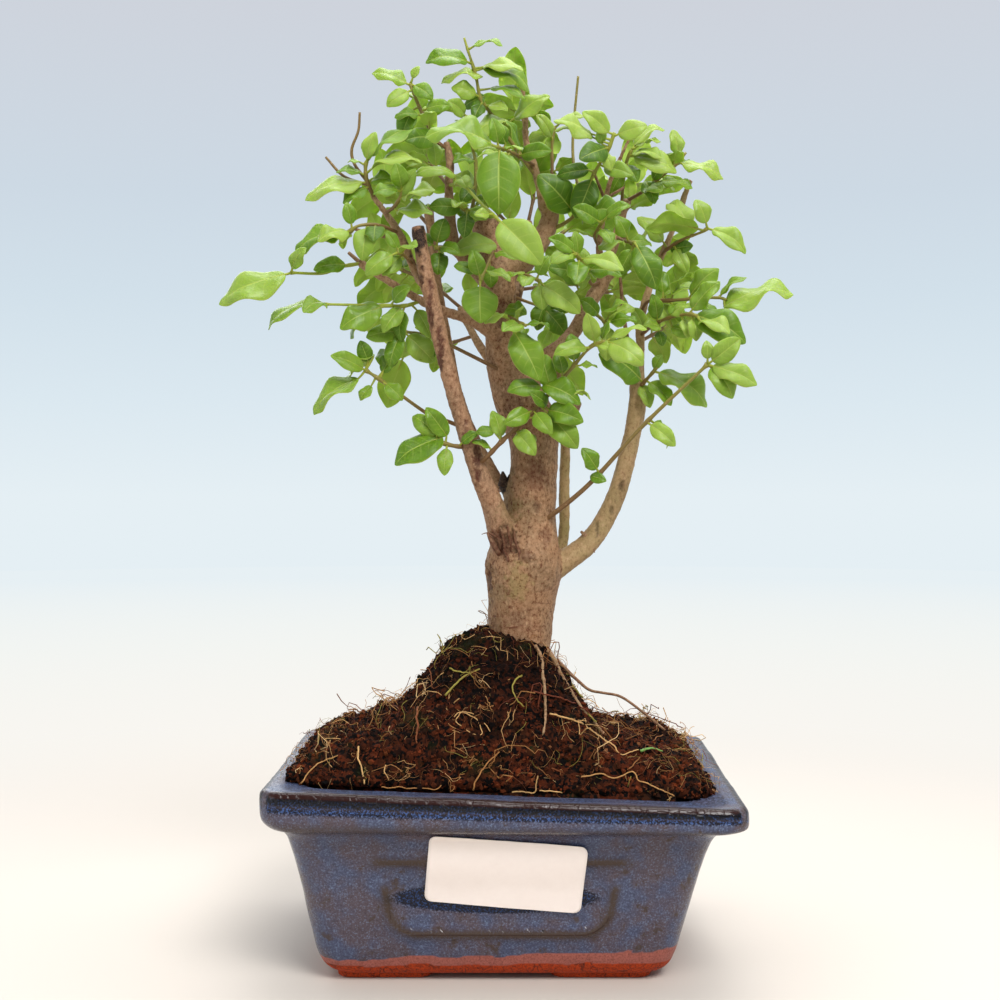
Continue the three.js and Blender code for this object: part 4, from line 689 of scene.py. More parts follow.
topPoints, topRows, topColumns = soilTop()
border = sheetBorder(topRows, topColumns)
edgePoints = topPoints[border]
raggedness = np.array([[noise.noise(Vector(p) / 5), noise.noise(Vector(p) / 1.7 + Vector((9, 0, 0)))]
                       for p in edgePoints]).sum(axis=1)
belowRings = []
for inset, above in [(1.006, 0.35), (0.905, -0.2)]:    # the spilled edge, then back inside the rim
    ring = edgePoints.copy()
    ring[:, :2] *= inset
    if above > 0:
        ring[:, :2] *= 1 + 0.012 * raggedness[:, None]
    ring[:, 2] = soil["rimTop"] + rimLift(ring[:, 0], ring[:, 1]) + above
    belowRings.append(ring)
for halfLength, height in soil["walls"]:
    ring = edgePoints.copy()
    ring[:, 0] *= (halfLength - 0.3) / soil["halfLength"]
    ring[:, 1] = ring[:, 1] * (halfLength - 20.3) / np.where(ring[:, 1] < 0, soil["front"], soil["back"])
    ring[:, 2] = height
    belowRings.append(ring)
points = np.vstack([topPoints] + belowRings)
faces = gridFaces(topRows, topColumns)
count = len(border)
first = len(topPoints)
for i, vertex in enumerate(border):
    ahead = (i + 1) % count
    faces.append((border[ahead], vertex, first + i, first + ahead))
bedFaces = list(faces)
faces += gridFaces(len(belowRings), count, first, closed=True, flip=True)
last = first + (len(belowRings) - 1) * count
faces.append(tuple(last + i for i in range(count - 1, -1, -1)))

# damp peat and pine-bark crumbs: near black to red-brown, quite matt, a little green where moss starts; the
# bed between the crumbs is painted in shade
earth = {"black": "#080403", "brown": "#4a2611", "red": "#6d2f15", "tan": "#8c5f3c", "moss": "#393c17",
         "crumb": 1.2, "patch": 8, "between": 0.5}


def earthMaterial(name, tinted):
    material, shader, add = newMaterial(name, Roughness=0.92, Specular_IOR_Level=0.12)
    place = add("TexCoord").outputs["Object"]
    patch = add("TexNoise", {"Vector": place, "Scale": 1000 / earth["patch"], "Detail": 5})
    crumb = add("TexVoronoi", {"Vector": place, "Scale": 1000 / earth["crumb"]})
    fine = add("TexNoise", {"Vector": place, "Scale": 1000 / 0.9, "Detail": 4, "Roughness": 0.7})
    tint = add("SeparateColor", {0: crumb.outputs["Color"]}).outputs[0]
    if tinted:
        tint = add("Attribute", attribute_name="tint").outputs["Fac"]
    share = add("MapRange", {"Value": tint, "From Min": 0.25, "From Max": 0.95})
    body = add("Mix", {0: share, 6: earth["black"], 7: earth["brown"]}, data_type="RGBA")
    reddish = add("Math", {0: add("MapRange", {
        "Value": patch, "From Min": 0.4, "From Max": 0.6}), 1: share}, operation="MULTIPLY")
    chips = add("MapRange", {"Value": tint, "From Min": 0.98, "From Max": 0.995, "To Max": 0.5})
    high = add("SeparateXYZ", {0: place}).outputs[2]
    mossy = add("MapRange", {"Value": add("TexNoise", {"Vector": place, "Scale": 1000 / 11, "Detail": 4}),
                             "From Min": 0.56, "From Max": 0.68, "To Max": 0.7})
    nearTrunk = add("MapRange", {"Value": high, "From Min": 0.07, "From Max": 0.105, "To Min": 0.45})
    mossShare = add("Math", {0: mossy, 1: nearTrunk}, operation="MULTIPLY")
    for mask, colour in ((reddish, "red"), (chips, "tan"), (mossShare, "moss")):
        body = add("Mix", {0: mask, 6: body, 7: earth[colour]}, data_type="RGBA")
    # painted shade: the bed between the crumbs is drawn at half brightness, the crumbs at full; all of it is
    # drawn darker towards the top of the root ball
    lit = 1.0 if tinted else earth["between"]
    darker = add("MapRange", {"Value": high, "From Min": 0.079, "From Max": 0.095, "To Min": lit,
                              "To Max": 0.42 * lit})
    body = add("Mix", {0: 1.0, 6: body, 7: darker}, data_type="RGBA", blend_type="MULTIPLY")
    rough = add("Bump", {"Height": fine, "Distance": 0.5 * mm})
    return finishMaterial(material, shader, Base_Color=body, Normal=rough)


peat = earthMaterial("damp peat soil", False)
crumbs = earthMaterial("loose peat and bark crumbs", True)
soilPiece = makePiece("potting_soil", points, faces, [peat])
wear(soilPiece, "soil", "soil")

scatterBed = makePiece("scatter_bed", points[:first + count], bedFaces, [])


def geometryTree(name, inputs):    # a tree with named inputs, its call for nodes, and points over the bed
    tree = bpy.data.node_groups.new(name, "GeometryNodeTree")
    for way in ("INPUT", "OUTPUT"):
        tree.interface.new_socket("Geometry", in_out=way, socket_type="NodeSocketGeometry")
    sockets = {label: tree.interface.new_socket(label, in_out="INPUT", socket_type="NodeSocket" + kind)
               for label, kind in inputs.items()}
    add = partial(addNode, tree)
    given = add("NodeGroupInput").outputs
    spread = add("GeometryNodeDistributePointsOnFaces", {
        "Mesh": given["Geometry"], "Density": given["Density"], "Seed": given["Seed"]})
    return tree, sockets, add, given, spread


def onPoints(add, spread, shape, turn, scale):    # a real copy of the shape on each point, with its own tint
    placed = add("GeometryNodeInstanceOnPoints", {
        "Points": spread.outputs["Points"], "Instance": shape, "Rotation": turn, "Scale": scale})
    shade = add("FunctionNodeRandomValue", {2: 0.0, 3: 1.0, "Seed": 3}, data_type="FLOAT")
    tinted = add("GeometryNodeStoreNamedAttribute", {
        "Geometry": placed.outputs[0], "Name": "tint", "Value": shade.outputs[1]},
        data_type="FLOAT", domain="INSTANCE")
    return add("GeometryNodeRealizeInstances", {"Geometry": tinted.outputs[0]})


def grown(name, bed, tree, sockets, values):    # a plain mesh that the tree grows on a copy of the bed
    piece = bpy.data.objects.new(name, bed.data.copy())
    bpy.context.scene.collection.objects.link(piece)
    modifier = piece.modifiers.new("grow", "NODES")
    modifier.node_group = tree
    for label, value in values.items():
        modifier[sockets[label].identifier] = value
    settled(piece)
    wear(piece, "soil")
    print(name, len(piece.data.polygons))


def crumbTree():
    tree, sockets, add, given, spread = geometryTree("crumbs", {
        "Density": "Float", "Smallest": "Float", "Largest": "Float", "Corners": "Int", "Rings": "Int",
        "Seed": "Int", "Material": "Material"})
    ball = add("GeometryNodeMeshUVSphere", {
        "Radius": 1.0, "Segments": given["Corners"], "Rings": given["Rings"]})
    size = add("FunctionNodeRandomValue", {2: given["Smallest"], 3: given["Largest"],
                                           "Seed": given["Seed"]}, data_type="FLOAT")
    squash = add("FunctionNodeRandomValue", {0: (0.6, 0.6, 0.5), 1: (1.3, 1.2, 0.95), "Seed": 5},
                 data_type="FLOAT_VECTOR")
    scale = add("VectorMath", {0: squash.outputs[0], "Scale": size.outputs[1]}, operation="SCALE")
    turn = add("FunctionNodeRandomValue", {0: (0, 0, 0), 1: (6.28, 6.28, 6.28), "Seed": 9},
               data_type="FLOAT_VECTOR")
    real = onPoints(add, spread, ball.outputs["Mesh"], turn.outputs[0], scale.outputs[0])
    ragged = add("TexNoise", {"Vector": add("GeometryNodeInputPosition").outputs[0], "Scale": 900.0,
                              "Detail": 2.0})
    centred = add("VectorMath", {0: ragged.outputs["Color"], 1: (0.5, 0.5, 0.5)}, operation="SUBTRACT")
    offset = add("VectorMath", {0: centred.outputs[0], "Scale": 0.0022}, operation="SCALE")
    shaken = add("GeometryNodeSetPosition", {"Geometry": real.outputs[0], "Offset": offset.outputs[0]})
    dressed = add("GeometryNodeSetMaterial", {"Geometry": shaken.outputs[0], "Material": given["Material"]})
    add("NodeGroupOutput", {0: dressed.outputs[0]})
    return tree, sockets


# loose crumbs: density is a square metre's count, sizes are radii in metres
crumbSizes = [
    ("soil_crumbs_large", {"Density": 95000.0, "Smallest": 0.0003, "Largest": 0.0011,
                           "Corners": 6, "Rings": 5, "Seed": 4}),
    ("soil_crumbs_small", {"Density": 440000.0, "Smallest": 0.0002, "Largest": 0.00065,
                           "Corners": 4, "Rings": 3, "Seed": 8}),
]
tree, sockets = crumbTree()
for name, values in crumbSizes:
    grown(name, scatterBed, tree, sockets, dict(values, Material=crumbs))


def fibreTree():
    tree, sockets, add, given, spread = geometryTree("root fibres", {
        "Density": "Float", "Length": "Float", "Radius": "Float", "Curl": "Float", "Sides": "Int",
        "Knots": "Int", "Seed": "Int", "Material": "Material"})
    line = add("GeometryNodeCurvePrimitiveLine", {"Start": (-0.5, 0, 0.02), "End": (0.5, 0, 0.02)})
    dense = add("GeometryNodeResampleCurve", {"Curve": line.outputs[0], "Count": given["Knots"]})
    upright = add("FunctionNodeAlignRotationToVector", {"Vector": spread.outputs["Normal"]}, axis="Z")
    spin = add("FunctionNodeRandomValue", {0: (-0.25, -0.25, 0), 1: (0.25, 0.25, 6.28), "Seed": 2},
               data_type="FLOAT_VECTOR")
    turned = add("FunctionNodeRotateRotation", {0: upright.outputs[0], 1: spin.outputs[0]},
                 rotation_space="LOCAL")
    share = add("FunctionNodeRandomValue", {2: 0.35, 3: 1.0, "Seed": 7}, data_type="FLOAT")
    length = add("Math", {0: share.outputs[1], 1: given["Length"]}, operation="MULTIPLY")
    real = onPoints(add, spread, dense.outputs[0], turned.outputs[0], length.outputs[0])
    place = add("GeometryNodeInputPosition").outputs[0]
    bends = []
    for size, share in ((110.0, 1.0), (330.0, 0.45)):    # a long bend with a short kink on it
        bend = add("TexNoise", {"Vector": place, "Scale": size, "Detail": 0.0})
        centred = add("VectorMath", {0: bend.outputs["Color"], 1: (0.5, 0.5, 0.49)}, operation="SUBTRACT")
        reach = add("Math", {0: given["Curl"], 1: share}, operation="MULTIPLY")
        bends.append(add("VectorMath", {0: centred.outputs[0], "Scale": reach.outputs[0]},
                         operation="SCALE"))
    offset = add("VectorMath", {0: bends[0].outputs[0], 1: bends[1].outputs[0]})
    bent = add("GeometryNodeSetPosition", {"Geometry": real.outputs[0], "Offset": offset.outputs[0]})
    along = add("GeometryNodeSplineParameter").outputs["Factor"]
    thinning = add("MapRange", {"Value": along, "To Min": 1.0, "To Max": 0.35})
    radius = add("Math", {0: thinning, 1: given["Radius"]}, operation="MULTIPLY")
    circle = add("GeometryNodeCurvePrimitiveCircle", {"Resolution": given["Sides"], "Radius": 1.0})
    skin = add("GeometryNodeCurveToMesh", {
        "Curve": bent.outputs[0], "Profile Curve": circle.outputs[0], "Scale": radius.outputs[0],
        "Fill Caps": True})
    soft = add("GeometryNodeSetShadeSmooth", {"Geometry": skin.outputs[0]})
    dressed = add("GeometryNodeSetMaterial", {"Geometry": soft.outputs[0], "Material": given["Material"]})
    add("NodeGroupOutput", {0: dressed.outputs[0]})
    return tree, sockets


# dry root fibres: straw to pale tan, some olive or red-brown, with a slight silky sheen
fibreColours = [
    "#6b321b", "#ab7641", "#cda066", "#8d5a2c", "#8f8238", "#b98850", "#7a4220", "#dcb57e", "#9a6a3a",
]
scrapColour = "#6f9a48"    # a bit of fallen green leaf among them


def fibreMaterial(name):
    material, shader, add = newMaterial(name, Roughness=0.6, Specular_IOR_Level=0.25)
    tint = add("Attribute", attribute_name="tint").outputs["Fac"]
    ramp = add("ValToRGB", {0: tint})
    ramp.color_ramp.interpolation = "CONSTANT"
    shades = [(i / len(fibreColours), code) for i, code in enumerate(fibreColours)]
    setStops(ramp, shades + [(0.999, scrapColour)])
    mottle = add("TexNoise", {"Vector": add("TexCoord").outputs["Object"], "Scale": 1000 / 1.5,
                              "Detail": 3})
    shade = add("MapRange", {"Value": mottle, "To Min": 0.55, "To Max": 1.3})
    body = add("Mix", {0: 1.0, 6: ramp.outputs[0], 7: shade}, data_type="RGBA", blend_type="MULTIPLY")
    return finishMaterial(material, shader, Base_Color=body,
                          Normal=add("Bump", {"Height": mottle, "Distance": 0.1 * mm}))


fibre = fibreMaterial("dry root fibre")
fibreSizes = [
    ("hair_roots", {"Density": 48000.0, "Length": 0.0075, "Radius": 0.00007, "Curl": 0.009, "Sides": 3,
                    "Knots": 9, "Seed": 21}),
    ("fine_roots", {"Density": 15000.0, "Length": 0.013, "Radius": 0.00012, "Curl": 0.015, "Sides": 4,
                    "Knots": 12, "Seed": 33}),
    ("stout_roots", {"Density": 3200.0, "Length": 0.024, "Radius": 0.00019, "Curl": 0.02, "Sides": 5,
                     "Knots": 16, "Seed": 41}),
]
tree, sockets = fibreTree()
for name, values in fibreSizes:
    grown(name, scatterBed, tree, sockets, dict(values, Material=fibre))
bpy.data.objects.remove(scatterBed)

# Single roots that stand out from the front: [radius at its start and end, colour, its way as the viewer
# sees it]; each lies on the soil
strands = [
    [0.85, 0.5, 4, [[15.4, 100.8], [21.3, 95.9], [26.9, 88.9], [29, 85.1], [30.1, 78.4], [33.6, 74.9]]],
    [0.3, 0.22, 2, [[-16.1, 76.3], [-14.7, 78.1], [-11.2, 77.7], [-7.7, 74.9], [-5.9, 71.4], [-8.4, 70.4],
     [-12.6, 72.5], [-15.4, 75.3], [-13.6, 78.1], [-9.4, 77.7], [-5.6, 74.9], [-3.5, 71.8]]],
    [0.4, 0.25, 3, [[-52.8, 85.4], [-51.1, 83], [-48.3, 81.6], [-46.2, 79.1], [-44.8, 80.5],
     [-46.9, 82.3]]],
    [0.62, 0.5, 6, [[-28.7, 80.2], [-29, 73.9], [-29.4, 67.6]]],
    [0.5, 0.2, 4, [[-38.1, 82.3], [-36.8, 85.1], [-35.7, 87.5]]],
    [0.6, 0.4, 4, [[-18.9, 84], [-15.7, 87.9], [-11.9, 91], [-7, 93.5]]],
    [0.45, 0.3, 4, [[-17.8, 93.8], [-14.3, 92.4], [-10.5, 92.1]]],
    [0.45, 0.3, 4, [[7.7, 91], [4.9, 88.9], [4.5, 85.4], [6.3, 81.9], [8.4, 80.5]]],
    [0.5, 0.35, 0, [[11.5, 85.8], [15.4, 84.7], [19.2, 84], [23.1, 82.6], [26.9, 80.9], [30.1, 78.8],
     [32.9, 76.3]]],
    [0.55, 0.3, 2, [[17.5, 77.7], [24.5, 76], [31.5, 72.5], [37.1, 68.6], [42.3, 64.1], [45.5, 64.4],
     [48.6, 65.5]]],
    [0.45, 0.3, 1, [[-9.1, 49.7], [-8.4, 55.3], [-4.2, 60.2], [-0.3, 64.4]]],
    [0.5, 0.4, 2, [[-49, 66.5], [-49.7, 63], [-48.3, 58.8], [-47.2, 53.6]]],
    [0.35, 0.25, 2, [[-39.9, 59.9], [-40.2, 58.1], [-38.8, 55.3]]],
    [0.35, 0.25, 1, [[-41.3, 52.2], [-33.6, 51.8], [-28, 50.8], [-22.4, 51.1], [-21, 52.9]]],
    [0.35, 0.3, 2, [[4.2, 46.6], [8.4, 48.7], [12.6, 49.7], [12.9, 56]]],
    [0.4, 0.3, 2, [[14, 51.5], [19.6, 50.8], [21.3, 48.3]]],
    [0.4, 0.3, 5, [[28, 55.3], [33.6, 56.7], [40.6, 55.3], [46.2, 57.4], [49, 53.9], [56, 51.8],
     [60.9, 48]]],
    [0.35, 0.25, 3, [[44.8, 58.1], [49, 62.3], [53.2, 68.6], [56.7, 70.7]]],
    [0.4, 0.3, 5, [[-69.3, 53.9], [-66.5, 58.1], [-62.3, 60.9], [-56.7, 63]]],
    [2.2, 0.9, 9, [[49.2, 64.7], [52.6, 65.6], [56.4, 65]]],
]


def ontoSoil(across, up, above):    # where the viewer's line meets the soil, or passes nearest over it
    places = np.array([seen(across, up, depth) for depth in np.arange(-soil["front"], soil["back"], 0.25)])
    lying = soilHeight(places[:, 0], places[:, 1]) + above
    gap = places[:, 2] - lying
    nearest = int(np.argmax(gap <= 0)) if gap.min() <= 0 else int(gap.argmin())
    x, y, z = places[nearest]
    if nearest == 0:    # over the soil's front edge: it hangs there, down to the rim
        return np.array([x, y - 0.6 * above, max(z, soil["rimTop"] + float(rimLift(x, y)) + 0.6)])
    return np.array([x, y, lying[nearest]])


def inSight(first, last, way):    # a strand that passes behind a rise is parted there
    places = [ontoSoil(*spot, 1.1 + 0.6 * math.sin(2.6 * i)) for i, spot in enumerate(way)]
    places = np.column_stack([places, np.linspace(first, last, len(places))])
    cuts = np.nonzero(np.abs(np.diff(places[:, 1])) > soil["strandGap"])[0] + 1
    return [part for part in np.split(places, cuts) if len(part) > 1]


points, faces, tints = [], [], []
parts = [(colour, part) for first, last, colour, way in strands for part in inSight(first, last, way)]
for colour, part in parts:
    path = curveThrough(part[:, :3], 0.6)
    for place in path:
        bend, kink = noise.noise_vector(Vector(place) / 3.6), noise.noise_vector(Vector(place) / 1.2)
        place += 0.6 * np.array(bend) + 0.25 * np.array(kink)
    radii = soil["strandShare"] * np.linspace(part[0, 3], part[-1, 3], len(path))
    more, closed = tube(path, radii, 7, len(points), 0.12)
    if colour == len(fibreColours):    # the bit of leaf lies flat
        more = np.array(more)
        ridge = np.interp(more[:, 0], path[:, 0], path[:, 2])
        more[:, 2] = ridge + 0.3 * (more[:, 2] - ridge)
    points.extend(more)
    faces.extend(closed)
    tints.extend([(colour + 0.5) / len(fibreColours)] * len(more))
strandPiece = makePiece("single_roots", points, faces, [fibre])
tintLayer = strandPiece.data.attributes.new("tint", "FLOAT", "POINT")
tintLayer.data.foreach_set("value", tints)
wear(strandPiece, "soil")


# Wood: trunk, limbs and surface roots grown into one skin, thin twigs set into it.
# Limb rows are [across, up, depth, radius] as the viewer sees them.
print("wood")
wood = {
    "trunk": [[5.5, 60, 0, 9], [6.2, 92, 0, 10], [6.6, 101, 0, 10.2], [7.4, 117.5, 0, 11.4],
        [8, 125, 0, 12.7], [8.6, 131, 0, 13.2], [9.2, 138, 0, 11.7], [10, 145.5, 0, 9.9],
        [10.5, 153, 0, 9.4], [11.5, 163, 0, 8.6], [11.8, 173.5, 0, 8.7], [10, 181, 0, 9.2],
        [7, 188, 0, 8.5], [4.2, 196, 0, 7.8], [2, 205, 0, 6.7], [0.6, 214, 0, 5.9], [-0.4, 222.5, 0, 6],
        [-1.2, 231, 0, 6.4], [-3, 240, 0, 6], [-4.5, 249.8, 0, 5.4]],
    "leftLimb": [[1.8, 135.8, -6, 5], [0, 142.8, -9, 4.8], [-2.8, 151.5, -11, 4.2],
        [-6.6, 160.3, -13, 3.6], [-10.5, 171.8, -15, 3.2], [-13, 180, -16, 2.9], [-16.8, 192.8, -18, 2.8],
        [-20.3, 206.5, -20, 2.8], [-23.5, 220.8, -21, 2.8], [-26.3, 233.4, -22, 2.7],
        [-28.7, 248.2, -23, 2.3]],
    "backLeftLimb": [[0, 156, 3, 3], [-5, 166, 6, 2.4], [-10.5, 177, 8, 2.1], [-15.7, 193.2, 10, 2],
        [-19, 211, 11, 1.9], [-22, 227, 12, 1.9], [-25, 254.8, 12, 1.7]],
    "rightLimb": [[17, 127.5, 0, 4.4], [25, 132.8, 1, 4], [31.2, 137.9, 2, 3.7], [36.6, 145.8, 3, 3.5],
        [41.3, 156.4, 4, 3.3], [44.6, 168.4, 5, 3.2], [47.3, 180.6, 5, 3.1], [48.3, 188.3, 5, 3],
        [48, 195.3, 5, 2.5], [49, 205, 6, 1.7], [49, 215, 6, 1.5], [51.8, 225.4, 7, 1.3],
        [56.3, 237.6, 8, 1.25], [59.9, 246, 8, 1.2], [66.5, 264.6, 8, 1.1]],
    "thinRight": [[47, 194.6, 6, 1], [43.4, 215.6, 8, 0.7], [42, 230.3, 9, 0.55]],
    "backStem": [[17, 128, 8, 2.2], [22, 138.6, 12, 2], [22.4, 156, 14, 1.9], [22.8, 173.6, 15, 1.8],
        [21.3, 187.6, 15, 1.5], [20.6, 204.4, 14, 1.4]],
    "stubRight": [[14, 176, 0, 4.5], [22, 182.4, -1, 4.2], [25.2, 188.3, -2, 3.9]],
    "rightInner": [[10.5, 193, -2, 3.2], [16, 202.3, -4, 2.8], [21.7, 206.8, -3, 2.6], [26.3, 212, 0, 2.6],
        [29.8, 218.4, 2, 2.6], [33.3, 224.7, 3, 2.5], [36, 229, 3, 2.3], [35, 236, 2, 1.6],
        [34.7, 242.2, 0, 1.3], [36, 251.6, -2, 1.2], [37, 258, -3, 1.1], [38.9, 265, -4, 0.9],
        [45.5, 279.6, -5, 0.7]],
    "innerStub": [[36, 229, 3, 2], [39.2, 232.4, 3, 1.8]],
    "innerTwigLeft": [[36.8, 257, -3, 0.6], [32.5, 267.8, -3, 0.45]],
    "innerTwigRight": [[37, 258, -3, 0.6], [43.4, 261.8, -3, 0.45]],
    "rightUpper": [[36, 229, 3, 2], [37.8, 236, 5, 1.9], [40.6, 244.3, 7, 1.7], [43, 254, 8, 1.6],
        [44.5, 257.6, 8, 1.3]],
    "centralStub": [[1.8, 233.8, 0, 5], [8.4, 237.3, -1, 4.4], [13.3, 240, -2, 4]],
    "centralLimb": [[7, 233.8, 4, 4], [13.3, 241.8, 6, 3.6], [17.2, 250, 6, 3.3], [17.5, 257, 6, 3]],
    "leader": [[15.4, 254, 5, 2.2], [14.4, 259.4, 4, 1.7], [12, 269, 3, 1.4], [9, 278.6, 2, 1.2],
        [9, 285.2, 2, 1], [7.7, 298.2, 1, 0.8]],
    "leftCross": [[-1, 209.5, -2, 2.6], [-9.8, 215.3, -6, 2], [-20.3, 218.8, -9, 1.7],
        [-27.7, 222.3, -11, 1.6], [-34.7, 226.5, -12, 1.4], [-45.2, 232.8, -13, 1.4],
        [-49, 235.6, -13, 1.6]],
    "crossTip": [[-48.5, 235.2, -13, 0.8], [-52.9, 239, -12, 0.6]],
    "crossUpright": [[-48.3, 235, -13, 0.7], [-48.3, 243.6, -13, 0.5]],
    "leftUp": [[-26.6, 227.9, -21, 1.8], [-29.6, 232.4, -17, 1.6], [-34.7, 244.7, -15, 1.5],
        [-40.6, 253.8, -14, 1.1], [-43.5, 257.5, -14, 1], [-45.2, 260, -14, 0.9]],
    "leftUpTwig": [[-34.7, 243.3, -15, 0.8], [-44, 245.5, -16, 0.6], [-52.2, 247.6, -16, 0.5]],
    "knobStem": [[-5, 229.5, -2, 3], [-13.3, 238.4, -9, 2.6], [-16.8, 243.6, -12, 2.6],
        [-17.9, 260.4, -10, 1.6], [-17.5, 270.6, -9, 1.5], [-18.9, 277.9, -9, 1.3]],
    "darkStub": [[4, 154.5, 0, 2.8], [2.2, 157.6, -1.5, 2.5], [1.9, 159.4, -2, 1.9]],
    "backLimb": [[2, 210, 3, 3], [5, 222, 16, 2.5], [8, 235, 27, 2], [10, 250, 34, 1.6]],
    "backLow": [[8, 186, 5, 2.2], [0, 196, 18, 1.8], [-8, 208, 30, 1.5], [-14, 220, 38, 1.2]],
}

surfaceRoots = [
    [[5, -1, 1.6], [15.5, -4, 1.5], [22, -6, 1.3], [28, -8, 1.1], [33, -12, 1], [35, -18, 0.9]],
    [[7, -2, 1.5], [13.5, -12, 1.1], [14.7, -19, 1], [15, -27, 0.9], [13.5, -34, 0.8]],
    [[2, 2, 1.8], [-8, 11, 1.8], [-15, 18, 1.6], [-21, 25, 1.3]],
    [[6, 2, 1.8], [14, 13, 1.8], [20, 20, 1.5], [27, 26, 1.2]],
]

archingRoot = [
    [7, 1, 96, 1.3], [18, 3, 97, 1], [26, 1, 90.5, 0.8], [31, -1, 86.5, 0.7], [36, -2, 85.5, 0.65],
    [42, -3, 84.3, 0.65], [49, -4, 79.5, 0.6], [57, -5, 73, 0.6],
]

bark = {
    "step": 1.2, "sides": 28, "rootShare": 0.72, "joinFrom": 1.45, "voxel": 0.68, "smoothing": 4,
    "lump": 0.5, "lumpSize": 9, "grain": 0.16, "grainSize": 1.3, "wart": 0.14, "wartSize": 2.3,
}

# marks on the bark: across, up, half width, half height, red, olive, dark, depth sunk into the wood
barkMarks = [
    [9.6, 133.1, 2.2, 2, 0.35, 0, 0.3, -0.9], [2.2, 138, 4.2, 5.2, 0.85, 0, 0.35, 0.35],
    [-1.8, 139, 1.3, 4, 0.2, 0, -0.6, -0.3], [-4.5, 124, 1.8, 4.5, 0.7, 0, 0.45, 0.8],
    [-8, 166, 1.3, 7, 0.7, 0, 0.3, 0.5], [-21, 204.5, 1.3, 10, 0.7, 0, 0.45, 0.5],
    [-24.4, 220, 1.1, 8, 0.7, 0, 0.45, 0.4], [-12, 177, 1, 5, 0.5, 0, 0.3, 0.3],
    [42.7, 157.5, 1.0, 2.6, 0.5, 0, 0.5, 0.5], [38.9, 149.4, 0.8, 2, 0.4, 0, 0.4, 0.4],
    [34, 142.5, 0.6, 4.2, 0.3, 0, 0.5, 0.4], [12.5, 161.5, 4.4, 6.5, 0.5, 0, 0.05, 0],
    [6.4, 123.5, 4, 6, 0, 0.6, 0, 0], [7.4, 239.3, 3, 2.2, 0.7, 0, 1, 1.2],
    [9, 222.5, 4, 4.5, 0.9, 0, 0.6, 0.6], [-28.5, 244, 3.5, 6.5, 0.2, 0, 0.9, 0],
    [5, 110, 9, 6, 0.35, 0, 0, 0], [4, 186, 3, 5, 0.2, 0, 0.25, 0.3], [0, 216, 2, 7, 0.4, 0, 0.25, 0.2],
    [19, 183, 3, 3, 0.3, 0, 0.3, 0.4], [-27.5, 230, 1.2, 3.5, 0.4, 0, 0.5, 0.4],
    [3, 150, 4, 12, 0, 0.3, 0.16, 0], [8, 172, 8, 12, 0.15, 0.1, 0.1, 0],
    [10, 147, 5, 7, 0.1, 0.1, 0.12, 0], [-1, 116, 4, 9, 0.1, 0.15, 0.14, 0],
    [16, 140, 2, 3, 0.3, 0, 0.15, 0.3], [13, 150, 1.2, 2.4, 0.4, 0, 0.2, 0.3],
    [8, 176, 4, 6, 0.35, 0, 0.05, 0],
]
# each limb's own bark: red, olive, dark, smooth
limbTints = {
    "trunk": (0.08, 0, 0, 0), "leftLimb": (0.38, 0, 0.03, 0.65), "backLeftLimb": (0.25, 0.1, 0.05, 0.5),
    "rightLimb": (0.02, 0.45, 0, 0.8), "backStem": (0, 0.75, 0, 0.7), "darkStub": (0.2, 0, 0.9, 0),
    "stubRight": (0.2, 0, 0.1, 0.3), "rightInner": (0.15, 0.15, 0, 0.4), "leader": (0.2, 0.3, 0, 0.5),
    "leftCross": (0.3, 0.1, 0, 0.6), "leftUp": (0.3, 0.25, 0, 0.6), "knobStem": (0.3, 0.1, 0.15, 0.6),
    "crossTip": (0, 0.6, 0, 0.7), "crossUpright": (0, 0.6, 0, 0.7),
}


def limbCurve(rows):    # the viewer's rows as an even curve of [x, y, z, radius]
    placed = [[*seen(*row[:3]), row[3] * (viewer["distance"] + row[2]) / viewer["distance"]] for row in rows]
    return curveThrough(placed, bark["step"])


def rootCurve(rows):
    rows = [(x, y, radius * bark["rootShare"]) for x, y, radius in rows]
    heights = [float(soilHeight(np.float64(x), np.float64(y))) for x, y, radius in rows]
    placed = [[x, y, height + (-2 if i == 0 else 0.2) * radius, radius]
              for i, ((x, y, radius), height) in enumerate(zip(rows, heights))]
    return curveThrough(placed, bark["step"])


def tubesOf(curves, sides, ripple=0.0):
    points, faces = [], []
    for curve in curves:
        widest = curve[:, 3].max()
        more, closed = tube(curve[:, :3], curve[:, 3], sides, len(points), ripple if widest > 3.9 else 0)
        points.extend(more)
        faces.extend(closed)
    return points, faces


def nearestCurve(points, curves):    # for each point: the curve whose skin is nearest
    best = np.full(len(points), np.inf)
    owner = np.zeros(len(points), int)
    for i, curve in enumerate(curves):
        for place in curve:
            gap = np.linalg.norm(points - place[:3], axis=1) - place[3]
            closer = gap < best
            best[closer] = gap[closer]
            owner[closer] = i
    return owner


def normalsOf(mesh):
    flat = np.empty(len(mesh.vertices) * 3)
    mesh.vertices.foreach_get("normal", flat)
    return flat.reshape(-1, 3)


def asViewed(points):    # across and up of each point as the viewer sees it
    scale = (viewer["distance"] + points[:, 1]) / viewer["distance"]
    return points[:, 0] / scale, viewer["height"] + (points[:, 2] - viewer["height"]) / scale


def barkLook(points, normals, owner, names):
    across, up = asViewed(points)
    facing = smooth(0.1, -0.4, normals[:, 1])
    look = np.array([limbTints.get(name, (0.2, 0.15, 0, 0.5)) for name in names], float)[owner]
    sunk = np.zeros(len(points))
    ragged = np.array([noise.fractal(Vector(p) / 2.2, 0.8, 2.0, 4) for p in points])
    for x, z, halfWidth, halfHeight, red, olive, dark, depth in barkMarks:
        distance = np.hypot((across - x) / halfWidth, (up - z) / halfHeight) + 0.8 * ragged
        inside = smooth(1.15, 0.6, distance) * facing
        look += inside[:, None] * np.array([red, olive, dark, 0])
        lip = np.exp(-((distance - 1.12) / 0.16) ** 2) * facing
        sunk += depth * (inside - 0.5 * lip)
    return np.clip(look, 0, 1), sunk


